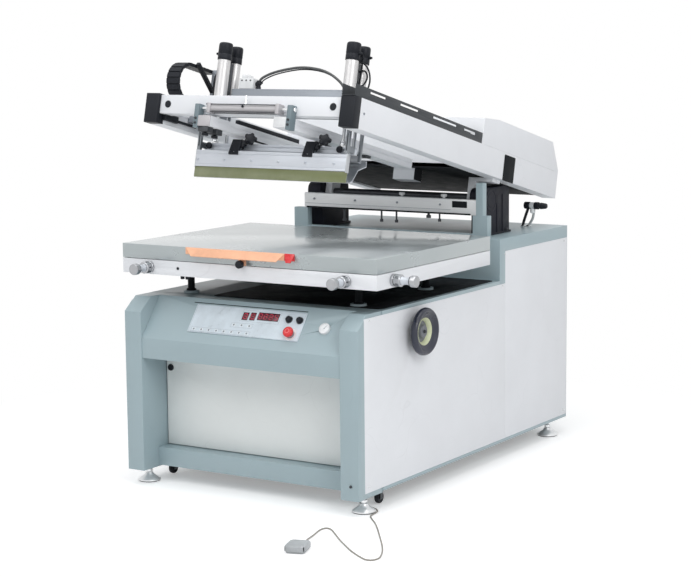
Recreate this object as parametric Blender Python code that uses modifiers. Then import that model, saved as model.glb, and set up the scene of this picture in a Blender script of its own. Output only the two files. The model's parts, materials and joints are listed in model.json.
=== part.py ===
"""A floor-standing flatbed screen press with a tilting two-arm head, modelled piece by piece."""
import math

import bmesh
import bpy
from mathutils import Matrix, Vector

# Overall sizes, metres
CABINET_WIDTH = 0.960
CABINET_DEPTH = 1.561
CABINET_CLEARANCE = 0.060
LOW_DECK_HEIGHT = 0.668
REAR_DECK_RISE = 0.1535
REAR_DECK_HEIGHT = LOW_DECK_HEIGHT + REAR_DECK_RISE
REAR_BOX_START = 0.993
BED_RISE = 0.184
BED_HEIGHT = LOW_DECK_HEIGHT + BED_RISE
BED_WIDTH = 1.047
BED_DEPTH = 0.782
BED_SETBACK = 0.052
HEAD_OPEN_ANGLE = 13.3
PIVOT_SETBACK = 1.100
PIVOT_RISE = 0.108
PIVOT_HEIGHT = BED_HEIGHT + PIVOT_RISE

# Sheet metal and clearances
SHEET = 0.002
GAP = 0.0003
OVERRUN = 0.010
WELD = 0.00001

# Front posts
POST_WIDTH = 0.070
POST_DEPTH = 0.155
POST_BOTTOM = 0.054
POST_FACET_RUN = 0.060
POST_FACET_DROP = 0.048

# Side panels and the visible grey strips round them
PANEL_START = 0.040
SILL_STRIP = 0.012
DECK_FLANGE = 0.013
REAR_FLANGE = 0.0465
CORNER_STRIP = 0.043

# Welded frame
RAIL = 0.040
KICK_SETBACK = 0.085
KICK_HEIGHT = 0.065
GLAND_OFFSET = 0.398
GLAND_SETBACK = 0.132
GLAND_RADIUS = 0.008
GLAND_DROP = 0.010

# Sloped console
CONSOLE_BOTTOM = 0.458
CONSOLE_LIP_TOP = 0.530
CONSOLE_LIP_SETBACK = 0.004
CONSOLE_CREST_SETBACK = 0.110
PLATE_WIDTH = 0.457
PLATE_LOW = 0.040
PLATE_HIGH = 0.149
PLATE_THICKNESS = 0.003
BUTTON_RADIUS = 0.013
BUTTON_RISE = 0.009
BUTTON_PLACES = {"start_button": 0.166, "stop_button": 0.209}
BUTTON_UP = 0.118
STOP_RADIUS = 0.0185
STOP_RISE = 0.022
STOP_ACROSS = 0.1915
STOP_UP = 0.064
STEM_RADIUS = 0.006
STEM_DEPTH = 0.017
GAUGE_ACROSS = 0.316
GAUGE_UP = 0.096
GAUGE_RADIUS = 0.020
GAUGE_RISE = 0.010

# Kick door and lock
DOOR_HEIGHT = 0.3230
DOOR_CLEARANCE = 0.003
DOOR_FOLD = 0.015
HINGE_INSET = 0.007
HINGE_SETBACK = 0.005
HINGE_PIN_RADIUS = 0.003
HINGE_PIN_REACH = 0.010
LOCK_RADIUS = 0.012
LOCK_INSET = 0.018
LOCK_DROP = 0.046
LOCK_RISE = 0.006
LOCK_TONGUE = 0.030
LOCK_TONGUE_WIDTH = 0.012

# Levelling feet
FOOT_OFFSET = 0.450
FRONT_FOOT_SETBACK = 0.080
REAR_FOOT_INSET = 0.105
REAR_FOOT_SETBACK = CABINET_DEPTH - REAR_FOOT_INSET
FOOT_RADIUS = 0.040
FOOT_NECK = 0.012
FOOT_CUP_HEIGHT = 0.028
FOOT_RIM = 0.004
FOOT_STEM_RADIUS = 0.006
FOOT_STEM_REACH = 0.036

# Castors
CASTOR_OFFSET = 0.435
CASTOR_SETBACK = 0.187
CASTOR_RADIUS = 0.021
CASTOR_WIDTH = 0.016
CASTOR_TRAIL = 0.014
CASTOR_LIFT = 0.002
CASTOR_CHEEK = 0.0025
CASTOR_CHEEK_LENGTH = 0.018
CASTOR_PLATE = 0.004
CASTOR_STEM_RADIUS = 0.008
CASTOR_STEM = 0.020
CASTOR_AXLE_RADIUS = 0.003

# Handwheel
WHEEL_SETBACK = 0.375
WHEEL_DROP = 0.097
WHEEL_HEIGHT = LOW_DECK_HEIGHT - WHEEL_DROP
WHEEL_RADIUS = 0.082
WHEEL_RIM = 0.016
WHEEL_STANDOFF = 0.020
WHEEL_DEPTH = 0.050
WHEEL_WEB = 0.008
WHEEL_RING_RADIUS = 0.040
WHEEL_HUB_RADIUS = 0.020
WHEEL_SHAFT_RADIUS = 0.010
WHEEL_SHAFT_REACH = 0.060

# Bed
BED_SKIRT = 0.050
BED_TOP = 0.006
BED_WALL = 0.003
BED_LINE = 0.002
SUBFRAME_HEIGHT = 0.051
SUBFRAME_TOP = 0.004
COLUMN_RADIUS = 0.0125
COLUMN_OFFSET = 0.350
COLUMN_FRONT = 0.166
COLUMN_REAR = 0.620
COLUMN_LENGTH = 0.220
COLUMN_FLANGE_RADIUS = 0.028
COLUMN_FLANGE_HEIGHT = 0.008
SLIDE_WIDTH = 0.600
SLIDE_DEPTH = 0.480
SLIDE_WALL = 0.005

# Registration knobs
KNOB_INSET = 0.1185
KNOB_OFFSET = BED_WIDTH / 2 - KNOB_INSET
KNOB_DROP = 0.026
KNOB_RADIUS = 0.0195
KNOB_GRIP = 0.022
KNOB_BARREL_RADIUS = 0.0150
KNOB_BARREL = 0.070
KNOB_BODY_RADIUS = 0.021
KNOB_BODY = 0.036
KNOB_SHAFT_RADIUS = 0.006
KNOB_SHAFT = 0.030
SIDE_KNOB_SETBACK = 0.100

# Lay strip
LAY_WIDTH = 0.450
LAY_SHIFT = -0.020
LAY_STANDOFF = 0.0265
LAY_FALL = 0.026
LAY_LEG = 0.024
LAY_THICKNESS = 0.0025
LAY_TONGUE = 0.030
LAY_TONGUE_DROP = 0.050
LAY_KNOB_SHIFT = 0.012
LAY_KNOB_DROP = 0.045
LAY_KNOB_RADIUS = 0.0135
LAY_KNOB_LENGTH = 0.025
LAY_COLLAR = 0.003
LAY_COLLAR_RADIUS = 0.0055
LAY_SCREW_RADIUS = 0.003
LAY_SCREW = 0.016

# Bridge behind the bed
BRIDGE_FOOT_IN = 0.364
BRIDGE_FOOT_OUT = 0.426
BRIDGE_SETBACK = 0.997
BRIDGE_DEPTH = 0.030
BRIDGE_FOOT_HEIGHT = 0.0822
BRIDGE_SILL = 0.014
REAR_RAIL_HALF = 0.378
REAR_RAIL_HEIGHT = 0.057
REAR_RAIL_WALL = 0.003
UPRIGHT_WIDTH = 0.028
UPRIGHT_HEIGHT = 0.121
RAIL_GROOVE_RADIUS = 0.004

# Pivot blocks
BLOCK_IN = 0.330
BLOCK_OUT = 0.388
BLOCK_FRONT = 0.050
BLOCK_NOSE = 0.064
BLOCK_NOSE_HEIGHT = 0.090
BLOCK_REAR = 0.145
BLOCK_TOP = 0.040
BLOCK_CORNER = 0.030
PIVOT_RADIUS = 0.015

# Air regulator on the rear deck
REGULATOR_OFFSET = 0.345
PIVOT_BACK = PIVOT_SETBACK + BLOCK_REAR
REGULATOR_ROOM = CABINET_DEPTH - PIVOT_BACK
REGULATOR_BACK_SHARE = 207 / 316
REGULATOR_SETBACK = PIVOT_BACK + REGULATOR_BACK_SHARE * REGULATOR_ROOM
REGULATOR_RISE = 0.075
REGULATOR_LEFT = 0.012
REGULATOR_END_RADIUS = 0.0155
REGULATOR_RADIUS = 0.0125
REGULATOR_BANDS = (0.032, 0.056, 0.072)
REGULATOR_NECK_RADIUS = 0.006
REGULATOR_KNOB = (0.080, 0.118)
REGULATOR_KNOB_RADII = (0.010, 0.006)
REGULATOR_BOWL_RADIUS = 0.010
REGULATOR_BOWL_AT = 0.044
REGULATOR_BOWL_DROP = 0.026
REGULATOR_TUBE_RADIUS = 0.006
REGULATOR_TUBE_LEAN = 0.018
REGULATOR_FLANGE_RADIUS = 0.014
REGULATOR_FLANGE = 0.006

# Head arms, in the head's own level frame with its origin on the pivot
ARM_IN = 0.3715
ARM_OUT = 0.4275
ARM_BOTTOM = 0.0715
ARM_TOP = 0.174
ARM_FRONT = -1.083
ARM_REAR = 0.455
ARM_WALL = 0.003
LUG_IN = 0.300
LUG_OUT = 0.328
LUG_HALF = 0.030
LUG_TAB = 0.012
LUG_TAB_OUT = 0.400
TRACK_WIDTH = 0.006
TRACK_LOW = 0.118
TRACK_HEIGHT = 0.012
TRACK_FRONT = -1.000
TRACK_REAR = -0.235

# Front beam
BEAM_FACE = -1.070
BEAM_DEPTH = 0.050
BEAM_LOW = 0.105
BEAM_HEIGHT = 0.065
BEAM_WALL = 0.003

# Rear hood
HOOD_FRONT = -0.192
HOOD_BROW = 0.269
HOOD_TOP = 0.283
HOOD_TOP_FRONT = -0.074
HOOD_TOP_REAR = 0.384
HOOD_REAR_LOW = 0.183
HOOD_LIP = 0.097
HOOD_SHEET = 0.003

# Drive motor and the plate under the hood
DECK_PLATE = 0.006
DECK_PLATE_LOW = 0.0785
DECK_PLATE_FRONT = -0.186
DECK_PLATE_REAR = 0.440
MOTOR_RADIUS = 0.055
MOTOR_LENGTH = 0.240
MOTOR_SETBACK = 0.130
GEARBOX_ACROSS = 0.105
GEARBOX_WIDTH = 0.090
GEARBOX_FRONT = -0.180
GEARBOX_DEPTH = 0.060
GEARBOX_DROP = 0.045

# Cable tray on the right arm
TRAY_INSET = 0.002
TRAY_HEIGHT = 0.039
TRAY_WALL = 0.002
TRAY_SLOT_HEIGHT = 0.010
TRAY_SLOT_UP = 0.020
TRAY_SLOT_CENTRE_SHARES = (0.160, 0.395, 0.680, 0.890)
TRAY_SLOT_WIDTH_SHARES = (0.110, 0.135, 0.190, 0.095)

# Screen clamp cylinder and the two frame arms it moves
CLAMP_RADIUS = 0.017
CLAMP_HALF = 0.147
CLAMP_UP = 0.122
CLAMP_ROD_RADIUS = 0.005
CLAMP_ROD_REACH = 0.070
BRACKET_IN = 0.180
BRACKET_OUT = 0.198
BRACKET_LOW = 0.056
BRACKET_HIGH = 0.136
BRACKET_DEPTH = 0.030
FRAME_ARM_IN = 0.130
FRAME_ARM_OUT = 0.190
FRAME_ARM_LOW = 0.060
FRAME_ARM_HEIGHT = 0.036
FRAME_ARM_REAR = -0.270
FRAME_ARM_WALL = 0.003

# Carriage
CARRIAGE_HALF = 0.3708
CARRIAGE_FRONT = -0.905
CARRIAGE_REAR = -0.755
CARRIAGE_PLATE_LOW = 0.150
CARRIAGE_PLATE = 0.013
BRIDGE_BEAM_HALF = 0.236
BRIDGE_BEAM_MIDDLE = -0.830
BRIDGE_BEAM_DEPTH = 0.040
BRIDGE_BEAM_TOP = 0.237
RUNNER_IN = 0.312
RUNNER_LOW = 0.104
CHAIN_POST_IN = 0.348
CHAIN_POST_OUT = 0.366
CHAIN_POST_FRONT = -0.802
CHAIN_POST_REAR = -0.772

# Air cylinders
CYLINDER_OFFSET = 0.266
SQUEEGEE_ROD_SETBACK = -0.873
FLOOD_ROD_SETBACK = -0.803
CYLINDER_TOP = 0.3955
CYLINDER_RADII = {"squeegee": 0.0225, "flood": 0.0185}
CAP_OVERHANG = 0.0025
CAP_HEIGHT = 0.062
LIFT_ROD_RADIUS = 0.006
LIFT_ROD_TOP = 0.330
LIFT_STROKE = 0.015

# Squeegee
SQUEEGEE_LEFT = -0.300
SQUEEGEE_RIGHT = 0.324
SQUEEGEE_FACE = -0.928
SQUEEGEE_THICKNESS = 0.018
SQUEEGEE_LOW = -0.053
SQUEEGEE_HIGH = 0.0044
YOKE_LOW = 0.012
YOKE_SIDE = 0.024
YOKE_HALF = 0.296
HOLDER_WIDTH = 0.034
HOLDER_PLACES = (-0.140, 0.165)
HOLDER_THICKNESS = 0.014
GUIDE_WIDTH = 0.012
GUIDE_DEPTH = 0.030
GUIDE_HIGH = 0.088
BLADE_TIP = -0.0905
BLADE_THICKNESS = 0.008
BLADE_SEAT = 0.015
BLADE_BEVEL = 0.004

# Flood bar
FLOOD_HALF = 0.318
FLOOD_YOKE_LOW = -0.006
FLOOD_SHEET = 0.003
FLOOD_SCOOP = ((0.010, 0.004), (0.013, -0.017), (-0.038, -0.038), (-0.066, -0.080), (-0.082, -0.087))

# Energy chain over the left arm
CHAIN_OUT = 0.420
CHAIN_THICKNESS = 0.012
CHAIN_LOOP_RADIUS = 0.0627
CHAIN_LOOP_CENTRE = -0.924
CHAIN_LOWER_END = -0.740
CHAIN_UPPER_END = -0.775
CHAIN_STEPS = 12

# Air hose between the cylinder groups
HOSE_LEFT = -0.140
HOSE_RIGHT = 0.222
HOSE_RISE = 0.078
HOSE_RADIUS = 0.0045
HOSE_STEPS = 30
HOSE_SHAPE_POWER = 2.3

# Pedal on the floor
PEDAL_ACROSS = 0.518
PEDAL_SETBACK = -0.420
PEDAL_YAW = 18.0
PEDAL_LENGTH = 0.085
PEDAL_WIDTH = 0.066
PEDAL_BASE_HEIGHT = 0.009
PEDAL_COVER_HEIGHT = 0.015
PEDAL_WALL = 0.0025
PEDAL_PIN_RADIUS = 0.002
PEDAL_PIN_INSET = 0.010
PEDAL_TOE = 0.008
PEDAL_COVER_TILT = 4.0
PEDAL_INLET_RADIUS = 0.004
PEDAL_INLET = 0.014

# Pedal cord: its route's own points, x across, y back from the cabinet's front, z above the floor
CORD_RADIUS = 0.0025
CORD_ROUTE = (
    (0.398, 0.132, 0.0497),
    (0.3985, 0.1325, 0.034),
    (0.402, 0.1335, 0.014),
    (0.412, 0.136, 0.0045),
    (0.430, 0.138, 0.0028),
    (0.452, 0.133, 0.0028),
    (0.473, 0.1215, 0.0028),
    (0.4900, 0.101, 0.0028),
    (0.4965, 0.070, 0.0028),
    (0.502, 0.036, 0.0028),
    (0.527, 0.005, 0.0028),
    (0.5604, -0.0312, 0.0028),
    (0.613, -0.100, 0.0028),
    (0.665, -0.173, 0.0028),
    (0.716, -0.245, 0.0028),
    (0.752, -0.303, 0.0028),
    (0.776, -0.352, 0.0028),
    (0.784, -0.382, 0.0028),
    (0.776, -0.404, 0.0028),
    (0.758, -0.409, 0.0028),
    (0.738, -0.399, 0.0028),
    (0.700, -0.374, 0.0028),
    (0.660, -0.343, 0.0028),
    (0.616, -0.303, 0.0028),
    (0.572, -0.262, 0.0028),
    (0.530, -0.219, 0.0028),
    (0.495, -0.183, 0.0028),
    (0.475, -0.166, 0.0028),
    (0.459, -0.163, 0.0028),
    (0.452, -0.175, 0.0028),
    (0.453, -0.197, 0.0028),
    (0.460, -0.224, 0.0030),
    (0.4705, -0.262, 0.0032),
    (0.4800, -0.3030, 0.0040),
    (0.4905, -0.3355, 0.0045),
    (0.5004, -0.3660, 0.0045),
)
CORD_POINTS = 72

# Round work
ROD_SIDES = 20
FINE_SIDES = 32
SMOOTH_ANGLE = math.radians(40)
FLAT_ANGLE = math.radians(0.5)
BORE_CLEARANCE = GAP

HALF_WIDTH = CABINET_WIDTH / 2
BODY_HALF = HALF_WIDTH - SHEET - GAP
POST_INNER = HALF_WIDTH - POST_WIDTH
BED_CENTRE = BED_SETBACK + BED_DEPTH / 2
BED_UNDERSIDE = BED_HEIGHT - BED_SKIRT
SUBFRAME_DECK = BED_UNDERSIDE - BED_LINE
SUBFRAME_LOW = SUBFRAME_DECK - SUBFRAME_HEIGHT

PAINT = {
    "grey_paint": ((0.40, 0.48, 0.50), 0.45, 0.0),
    "white_paint": ((0.80, 0.81, 0.82), 0.40, 0.0),
    "cream_paint": ((0.76, 0.76, 0.71), 0.45, 0.0),
    "bed_steel": ((0.45, 0.49, 0.50), 0.35, 0.4),
    "aluminium": ((0.72, 0.73, 0.74), 0.32, 1.0),
    "bright_steel": ((0.66, 0.67, 0.68), 0.22, 1.0),
    "black_plastic": ((0.03, 0.03, 0.035), 0.50, 0.0),
    "black_casting": ((0.05, 0.05, 0.06), 0.55, 0.2),
    "grey_steel": ((0.38, 0.42, 0.44), 0.40, 0.6),
    "plate_print": ((0.72, 0.75, 0.78), 0.35, 0.0),
    "red_plastic": ((0.70, 0.04, 0.05), 0.35, 0.0),
    "peach_plastic": ((0.92, 0.52, 0.34), 0.45, 0.0),
    "blade_rubber": ((0.36, 0.37, 0.16), 0.35, 0.0),
    "pedal_plastic": ((0.52, 0.54, 0.57), 0.50, 0.0),
    "dial_white": ((0.88, 0.89, 0.90), 0.30, 0.0),
}

tools_of = {}


def clear_scene():
    for thing in list(bpy.data.objects):
        bpy.data.objects.remove(thing, do_unlink=True)


def new_collection(name):
    group = bpy.data.collections.new(name)
    bpy.context.scene.collection.children.link(group)
    return group


def new_empty(name, location, parent=None, turn=(0.0, 0.0, 0.0)):
    empty = bpy.data.objects.new(name, None)
    PART.objects.link(empty)
    empty.location = location
    empty.rotation_euler = turn
    empty.parent = parent
    return empty


def paint(name):
    """One Principled material for each finish, shared by the pieces that wear it."""
    material = bpy.data.materials.get(name)
    if material:
        return material
    colour, roughness, metallic = PAINT[name]
    material = bpy.data.materials.new(name)
    material.use_nodes = True
    shader = material.node_tree.nodes["Principled BSDF"]
    shader.inputs["Base Color"].default_value = (*colour, 1.0)
    shader.inputs["Roughness"].default_value = roughness
    shader.inputs["Metallic"].default_value = metallic
    return material


def mesh_piece(name, bm):
    mesh = bpy.data.meshes.new(name)
    bm.to_mesh(mesh)
    bm.free()
    piece = bpy.data.objects.new(name, mesh)
    PART.objects.link(piece)
    return piece


def add_box(bm, low, high):
    low, high = Vector(low), Vector(high)
    size = high - low
    matrix = Matrix.Translation((low + high) / 2) @ Matrix.Diagonal((*size, 1.0))
    bmesh.ops.create_cube(bm, size=1.0, matrix=matrix)


def box(name, low, high):
    bm = bmesh.new()
    add_box(bm, low, high)
    return mesh_piece(name, bm)


def add_rod(bm, start, end, radius, sides=ROD_SIDES, end_radius=None):
    start, end = Vector(start), Vector(end)
    run = end - start
    matrix = Matrix.Translation((start + end) / 2) @ run.to_track_quat("Z", "Y").to_matrix().to_4x4()
    bmesh.ops.create_cone(
        bm, cap_ends=True, segments=sides, radius1=radius,
        radius2=radius if end_radius is None else end_radius, depth=run.length, matrix=matrix)


def rod(name, start, end, radius, sides=ROD_SIDES, end_radius=None):
    bm = bmesh.new()
    add_rod(bm, start, end, radius, sides, end_radius)
    return mesh_piece(name, bm)


def across(side, low, high):
    """A box's corners on one side of the centre plane, for side 1 or -1."""
    ends = sorted((side * low[0], side * high[0]))
    return (ends[0], *low[1:]), (ends[1], *high[1:])


def prism(name, outline, axis, start, end):
    """A flat outline as a filled curve, given its thickness and turned so that it runs along an axis."""
    flat = bpy.data.curves.new(name, "CURVE")
    flat.dimensions = "2D"
    flat.fill_mode = "BOTH"
    flat.extrude = (end - start) / 2
    spline = flat.splines.new("POLY")
    spline.points.add(len(outline) - 1)
    for point, place in zip(spline.points, outline):
        point.co = (*place, 0.0, 1.0)
    spline.use_cyclic_u = True
    guide = bpy.data.objects.new(name + "_outline", flat)
    PART.objects.link(guide)
    graph = bpy.context.evaluated_depsgraph_get()
    mesh = bpy.data.meshes.new_from_object(guide.evaluated_get(graph))
    bpy.data.objects.remove(guide, do_unlink=True)
    bm = bmesh.new()
    bm.from_mesh(mesh)
    bmesh.ops.remove_doubles(bm, verts=bm.verts, dist=WELD)
    bmesh.ops.dissolve_limit(bm, angle_limit=FLAT_ANGLE, verts=bm.verts, edges=bm.edges)
    middle = (start + end) / 2
    turns = {
        "X": Matrix(((0, 0, 1, middle), (1, 0, 0, 0), (0, 1, 0, 0), (0, 0, 0, 1))),
        "Y": Matrix(((1, 0, 0, 0), (0, 0, -1, middle), (0, 1, 0, 0), (0, 0, 0, 1))),
        "Z": Matrix.Translation((0, 0, middle)),
    }
    bmesh.ops.transform(bm, matrix=turns[axis], verts=bm.verts)
    bmesh.ops.recalc_face_normals(bm, faces=bm.faces)
    return mesh_piece(name, bm)


def folded_sheet(name, outline, axis, start, end, thickness, outward, closed=False):
    """Sheet metal folded along an outline: an open surface swept along an axis, with its wall inside."""
    seats = {"X": lambda u, v, w: (w, u, v), "Y": lambda u, v, w: (u, w, v)}
    bm = bmesh.new()
    near = [bm.verts.new(seats[axis](u, v, start)) for u, v in outline]
    far = [bm.verts.new(seats[axis](u, v, end)) for u, v in outline]
    folds = list(zip(near, far))
    if closed:
        folds.append(folds[0])
    for (near_a, far_a), (near_b, far_b) in zip(folds, folds[1:]):
        bm.faces.new((near_a, near_b, far_b, far_a))
    bm.normal_update()
    bm.faces.ensure_lookup_table()
    if bm.faces[0].normal.dot(Vector(outward)) < 0:
        bmesh.ops.reverse_faces(bm, faces=bm.faces)
    piece = mesh_piece(name, bm)
    give_wall(piece, thickness)
    return piece


def give_wall(piece, thickness):
    wall = piece.modifiers.new("wall", "SOLIDIFY")
    wall.thickness = thickness
    wall.offset = -1.0
    wall.use_even_offset = True
    wall.use_quality_normals = True


def open_shell(piece, directions, thickness):
    """Takes away the outermost face along each direction and gives the rest a wall inside."""
    bm = bmesh.new()
    bm.from_mesh(piece.data)
    for direction in directions:
        ahead = Vector(direction)
        facing = [face for face in bm.faces if face.normal.dot(ahead) > 0.999]
        reach = max(face.calc_center_median().dot(ahead) for face in facing)
        outer = [face for face in facing if face.calc_center_median().dot(ahead) > reach - WELD]
        bmesh.ops.delete(bm, geom=outer, context="FACES")
    bm.to_mesh(piece.data)
    bm.free()
    give_wall(piece, thickness)
    return piece


def trim(piece, point, normal):
    """Cuts away what lies on the normal's side of a plane and closes the cut."""
    bm = bmesh.new()
    bm.from_mesh(piece.data)
    whole = bm.verts[:] + bm.edges[:] + bm.faces[:]
    bmesh.ops.bisect_plane(bm, geom=whole, plane_co=point, plane_no=normal, clear_outer=True)
    rim = [edge for edge in bm.edges if edge.is_boundary]
    bmesh.ops.holes_fill(bm, edges=rim)
    bmesh.ops.recalc_face_normals(bm, faces=bm.faces)
    bm.to_mesh(piece.data)
    bm.free()


def combine(piece, operation, tools):
    for tool in tools:
        step = piece.modifiers.new(tool.name, "BOOLEAN")
        step.operation = operation
        step.solver = "EXACT"
        step.object = tool
        PART.objects.unlink(tool)
        CUTTERS.objects.link(tool)
        tool.hide_render = True
        tool.display_type = "WIRE"
        tools_of.setdefault(piece.name, []).append(tool)


def fuse(piece, *tools):
    combine(piece, "UNION", tools)


def carve(piece, *tools):
    combine(piece, "DIFFERENCE", tools)


def finish(piece, parent, colour, origin=None, edge=0.0, smooth=False):
    """Parents a piece with its tools, puts its origin on its joint's axis and gives it its paint."""
    piece.parent = parent
    for tool in tools_of.get(piece.name, []):
        tool.parent = parent
    if origin:
        piece.data.transform(Matrix.Translation(-Vector(origin)))
        piece.location = origin
    if edge:
        bevel = piece.modifiers.new("edge", "BEVEL")
        bevel.width = edge
        bevel.segments = 1
        bevel.limit_method = "ANGLE"
        bevel.angle_limit = SMOOTH_ANGLE
    if smooth:
        piece.data.shade_smooth()
        piece.data.set_sharp_from_angle(angle=SMOOTH_ANGLE)
    piece.data.materials.append(paint(colour))
    return piece


def turned(name, profile, sides=FINE_SIDES):
    """A turned solid about Z from its outer side's radii and heights, given from the top down."""
    bm = bmesh.new()
    rim = [bm.verts.new((radius, 0.0, height)) for radius, height in profile]
    for upper, lower in zip(rim, rim[1:]):
        bm.edges.new((upper, lower))
    piece = mesh_piece(name, bm)
    screw = piece.modifiers.new("turning", "SCREW")
    screw.steps = sides
    screw.render_steps = sides
    screw.use_merge_vertices = True
    screw.merge_threshold = WELD
    screw.use_smooth_shade = True
    return piece


def settle(piece, location=(0.0, 0.0, 0.0), turn=(0.0, 0.0, 0.0)):
    """Makes a turned piece a plain mesh in its parent's frame, so that it can be cut or joined."""
    graph = bpy.context.evaluated_depsgraph_get()
    mesh = bpy.data.meshes.new_from_object(piece.evaluated_get(graph))
    name = piece.name
    bpy.data.objects.remove(piece, do_unlink=True)
    spin = Matrix.Rotation(turn[2], 4, "Z") @ Matrix.Rotation(turn[1], 4, "Y")
    mesh.transform(Matrix.Translation(location) @ spin @ Matrix.Rotation(turn[0], 4, "X"))
    bm = bmesh.new()
    bm.from_mesh(mesh)
    bmesh.ops.remove_doubles(bm, verts=bm.verts, dist=WELD)
    return mesh_piece(name, bm)


def smooth_route(points, count):
    """A smooth curve through the route's own points, read at even steps of each stretch."""
    ends = [points[0], *points, points[-1]]
    stretches = len(points) - 1
    route = []
    for step in range(count):
        at = step * stretches / (count - 1)
        index = min(int(at), stretches - 1)
        t = at - index
        a, b, c, d = (Vector(ends[index + offset]) for offset in range(4))
        bend = (2 * a - 5 * b + 4 * c - d) * t * t + (3 * b - a - 3 * c + d) * t * t * t
        route.append((2 * b + (c - a) * t + bend) / 2)
    return route


def tube(name, points, radius):
    """A round tube along a route, as a curve with a bevel and filled ends."""
    line = bpy.data.curves.new(name, "CURVE")
    line.dimensions = "3D"
    line.bevel_depth = radius
    line.bevel_resolution = 2
    line.use_fill_caps = True
    spline = line.splines.new("POLY")
    spline.points.add(len(points) - 1)
    for point, place in zip(spline.points, points):
        point.co = (*place, 1.0)
    piece = bpy.data.objects.new(name, line)
    PART.objects.link(piece)
    return piece


# Cabinet

def front_post(name, side):
    outline = [(POST_INNER, 0), (HALF_WIDTH, 0), (HALF_WIDTH, PANEL_START), (BODY_HALF, PANEL_START),
               (BODY_HALF, POST_DEPTH), (POST_INNER, POST_DEPTH)]
    post = prism(name, [(side * x, y) for x, y in outline], "Z", POST_BOTTOM, LOW_DECK_HEIGHT)
    trim(post, (0, 0, LOW_DECK_HEIGHT - POST_FACET_DROP), (0, -POST_FACET_DROP, POST_FACET_RUN))
    open_shell(post, [(0, 1, 0)], SHEET)
    foot = (side * FOOT_OFFSET, FRONT_FOOT_SETBACK)
    carve(post, rod(name + "_foot_hole", (*foot, POST_BOTTOM - OVERRUN), (*foot, POST_BOTTOM + OVERRUN),
                    FOOT_STEM_RADIUS + BORE_CLEARANCE))
    finish(post, cabinet, "grey_paint")


def cabinet_frame():
    """Base ring, kick crossbar, corner verticals and the rails under both decks, welded into one."""
    start = POST_DEPTH + GAP
    back = CABINET_DEPTH - SHEET - GAP
    step = REAR_BOX_START + SHEET + GAP
    low_top = LOW_DECK_HEIGHT - SHEET - GAP
    high_top = REAR_DECK_HEIGHT - SHEET - GAP
    inner = BODY_HALF - RAIL
    base_top = CABINET_CLEARANCE + RAIL
    frame = box("cabinet_frame", (-POST_INNER + GAP, KICK_SETBACK, CABINET_CLEARANCE),
                (POST_INNER - GAP, start + RAIL, CABINET_CLEARANCE + KICK_HEIGHT))
    bm = bmesh.new()
    for side in (1, -1):
        for low, high in (
                ((inner, start, CABINET_CLEARANCE), (BODY_HALF, back, base_top)),
                ((inner, start, CABINET_CLEARANCE), (HALF_WIDTH, back, CABINET_CLEARANCE + SILL_STRIP)),
                ((inner, start, CABINET_CLEARANCE), (BODY_HALF, start + RAIL, low_top)),
                ((inner, step, CABINET_CLEARANCE), (BODY_HALF, step + RAIL, high_top)),
                ((inner, back - RAIL, CABINET_CLEARANCE), (BODY_HALF, back, high_top)),
                ((inner, start, low_top - RAIL), (BODY_HALF, step + RAIL, low_top)),
                ((inner, step, high_top - RAIL), (BODY_HALF, back, high_top))):
            add_box(bm, *across(side, low, high))
        add_box(bm, *across(side, (FOOT_OFFSET - RAIL, REAR_FOOT_SETBACK - RAIL, CABINET_CLEARANCE),
                            (BODY_HALF, REAR_FOOT_SETBACK + RAIL, CABINET_CLEARANCE + SILL_STRIP)))
        add_box(bm, *across(side, (CASTOR_OFFSET - RAIL, start, CABINET_CLEARANCE),
                            (BODY_HALF, CASTOR_SETBACK + RAIL, CABINET_CLEARANCE + SILL_STRIP)))
    add_box(bm, (-BODY_HALF, start, CABINET_CLEARANCE), (BODY_HALF, start + RAIL, base_top))
    for height, near in ((base_top, step), (base_top, back - RAIL), (low_top, start), (low_top, step),
                         (high_top, step), (high_top, back - RAIL)):
        add_box(bm, (-BODY_HALF, near, height - RAIL), (BODY_HALF, near + RAIL, height))
    rails = mesh_piece("cabinet_frame_rails", bm)
    fuse(frame, rails)
    frame.modifiers[-1].use_self = True
    gland = (GLAND_OFFSET, GLAND_SETBACK)
    fuse(frame, rod("cabinet_frame_gland", (*gland, CABINET_CLEARANCE - GLAND_DROP),
                    (*gland, CABINET_CLEARANCE + GLAND_DROP), GLAND_RADIUS))
    bores = bmesh.new()
    for side in (1, -1):
        foot = (side * FOOT_OFFSET, REAR_FOOT_SETBACK)
        castor = (side * CASTOR_OFFSET, CASTOR_SETBACK)
        for place, radius, reach in ((foot, FOOT_STEM_RADIUS, FOOT_STEM_REACH + RAIL),
                                     (castor, CASTOR_STEM_RADIUS, CASTOR_STEM + GAP)):
            add_rod(bores, (*place, CABINET_CLEARANCE - OVERRUN), (*place, CABINET_CLEARANCE + reach),
                    radius + BORE_CLEARANCE)
    crossbar_top = CABINET_CLEARANCE + KICK_HEIGHT
    add_rod(bores, (*hinge_place(), crossbar_top - HINGE_PIN_REACH - GAP), (*hinge_place(), crossbar_top + OVERRUN),
            HINGE_PIN_RADIUS + BORE_CLEARANCE)
    carve(frame, mesh_piece("cabinet_frame_bores", bores))
    finish(frame, cabinet, "grey_paint")


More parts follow.
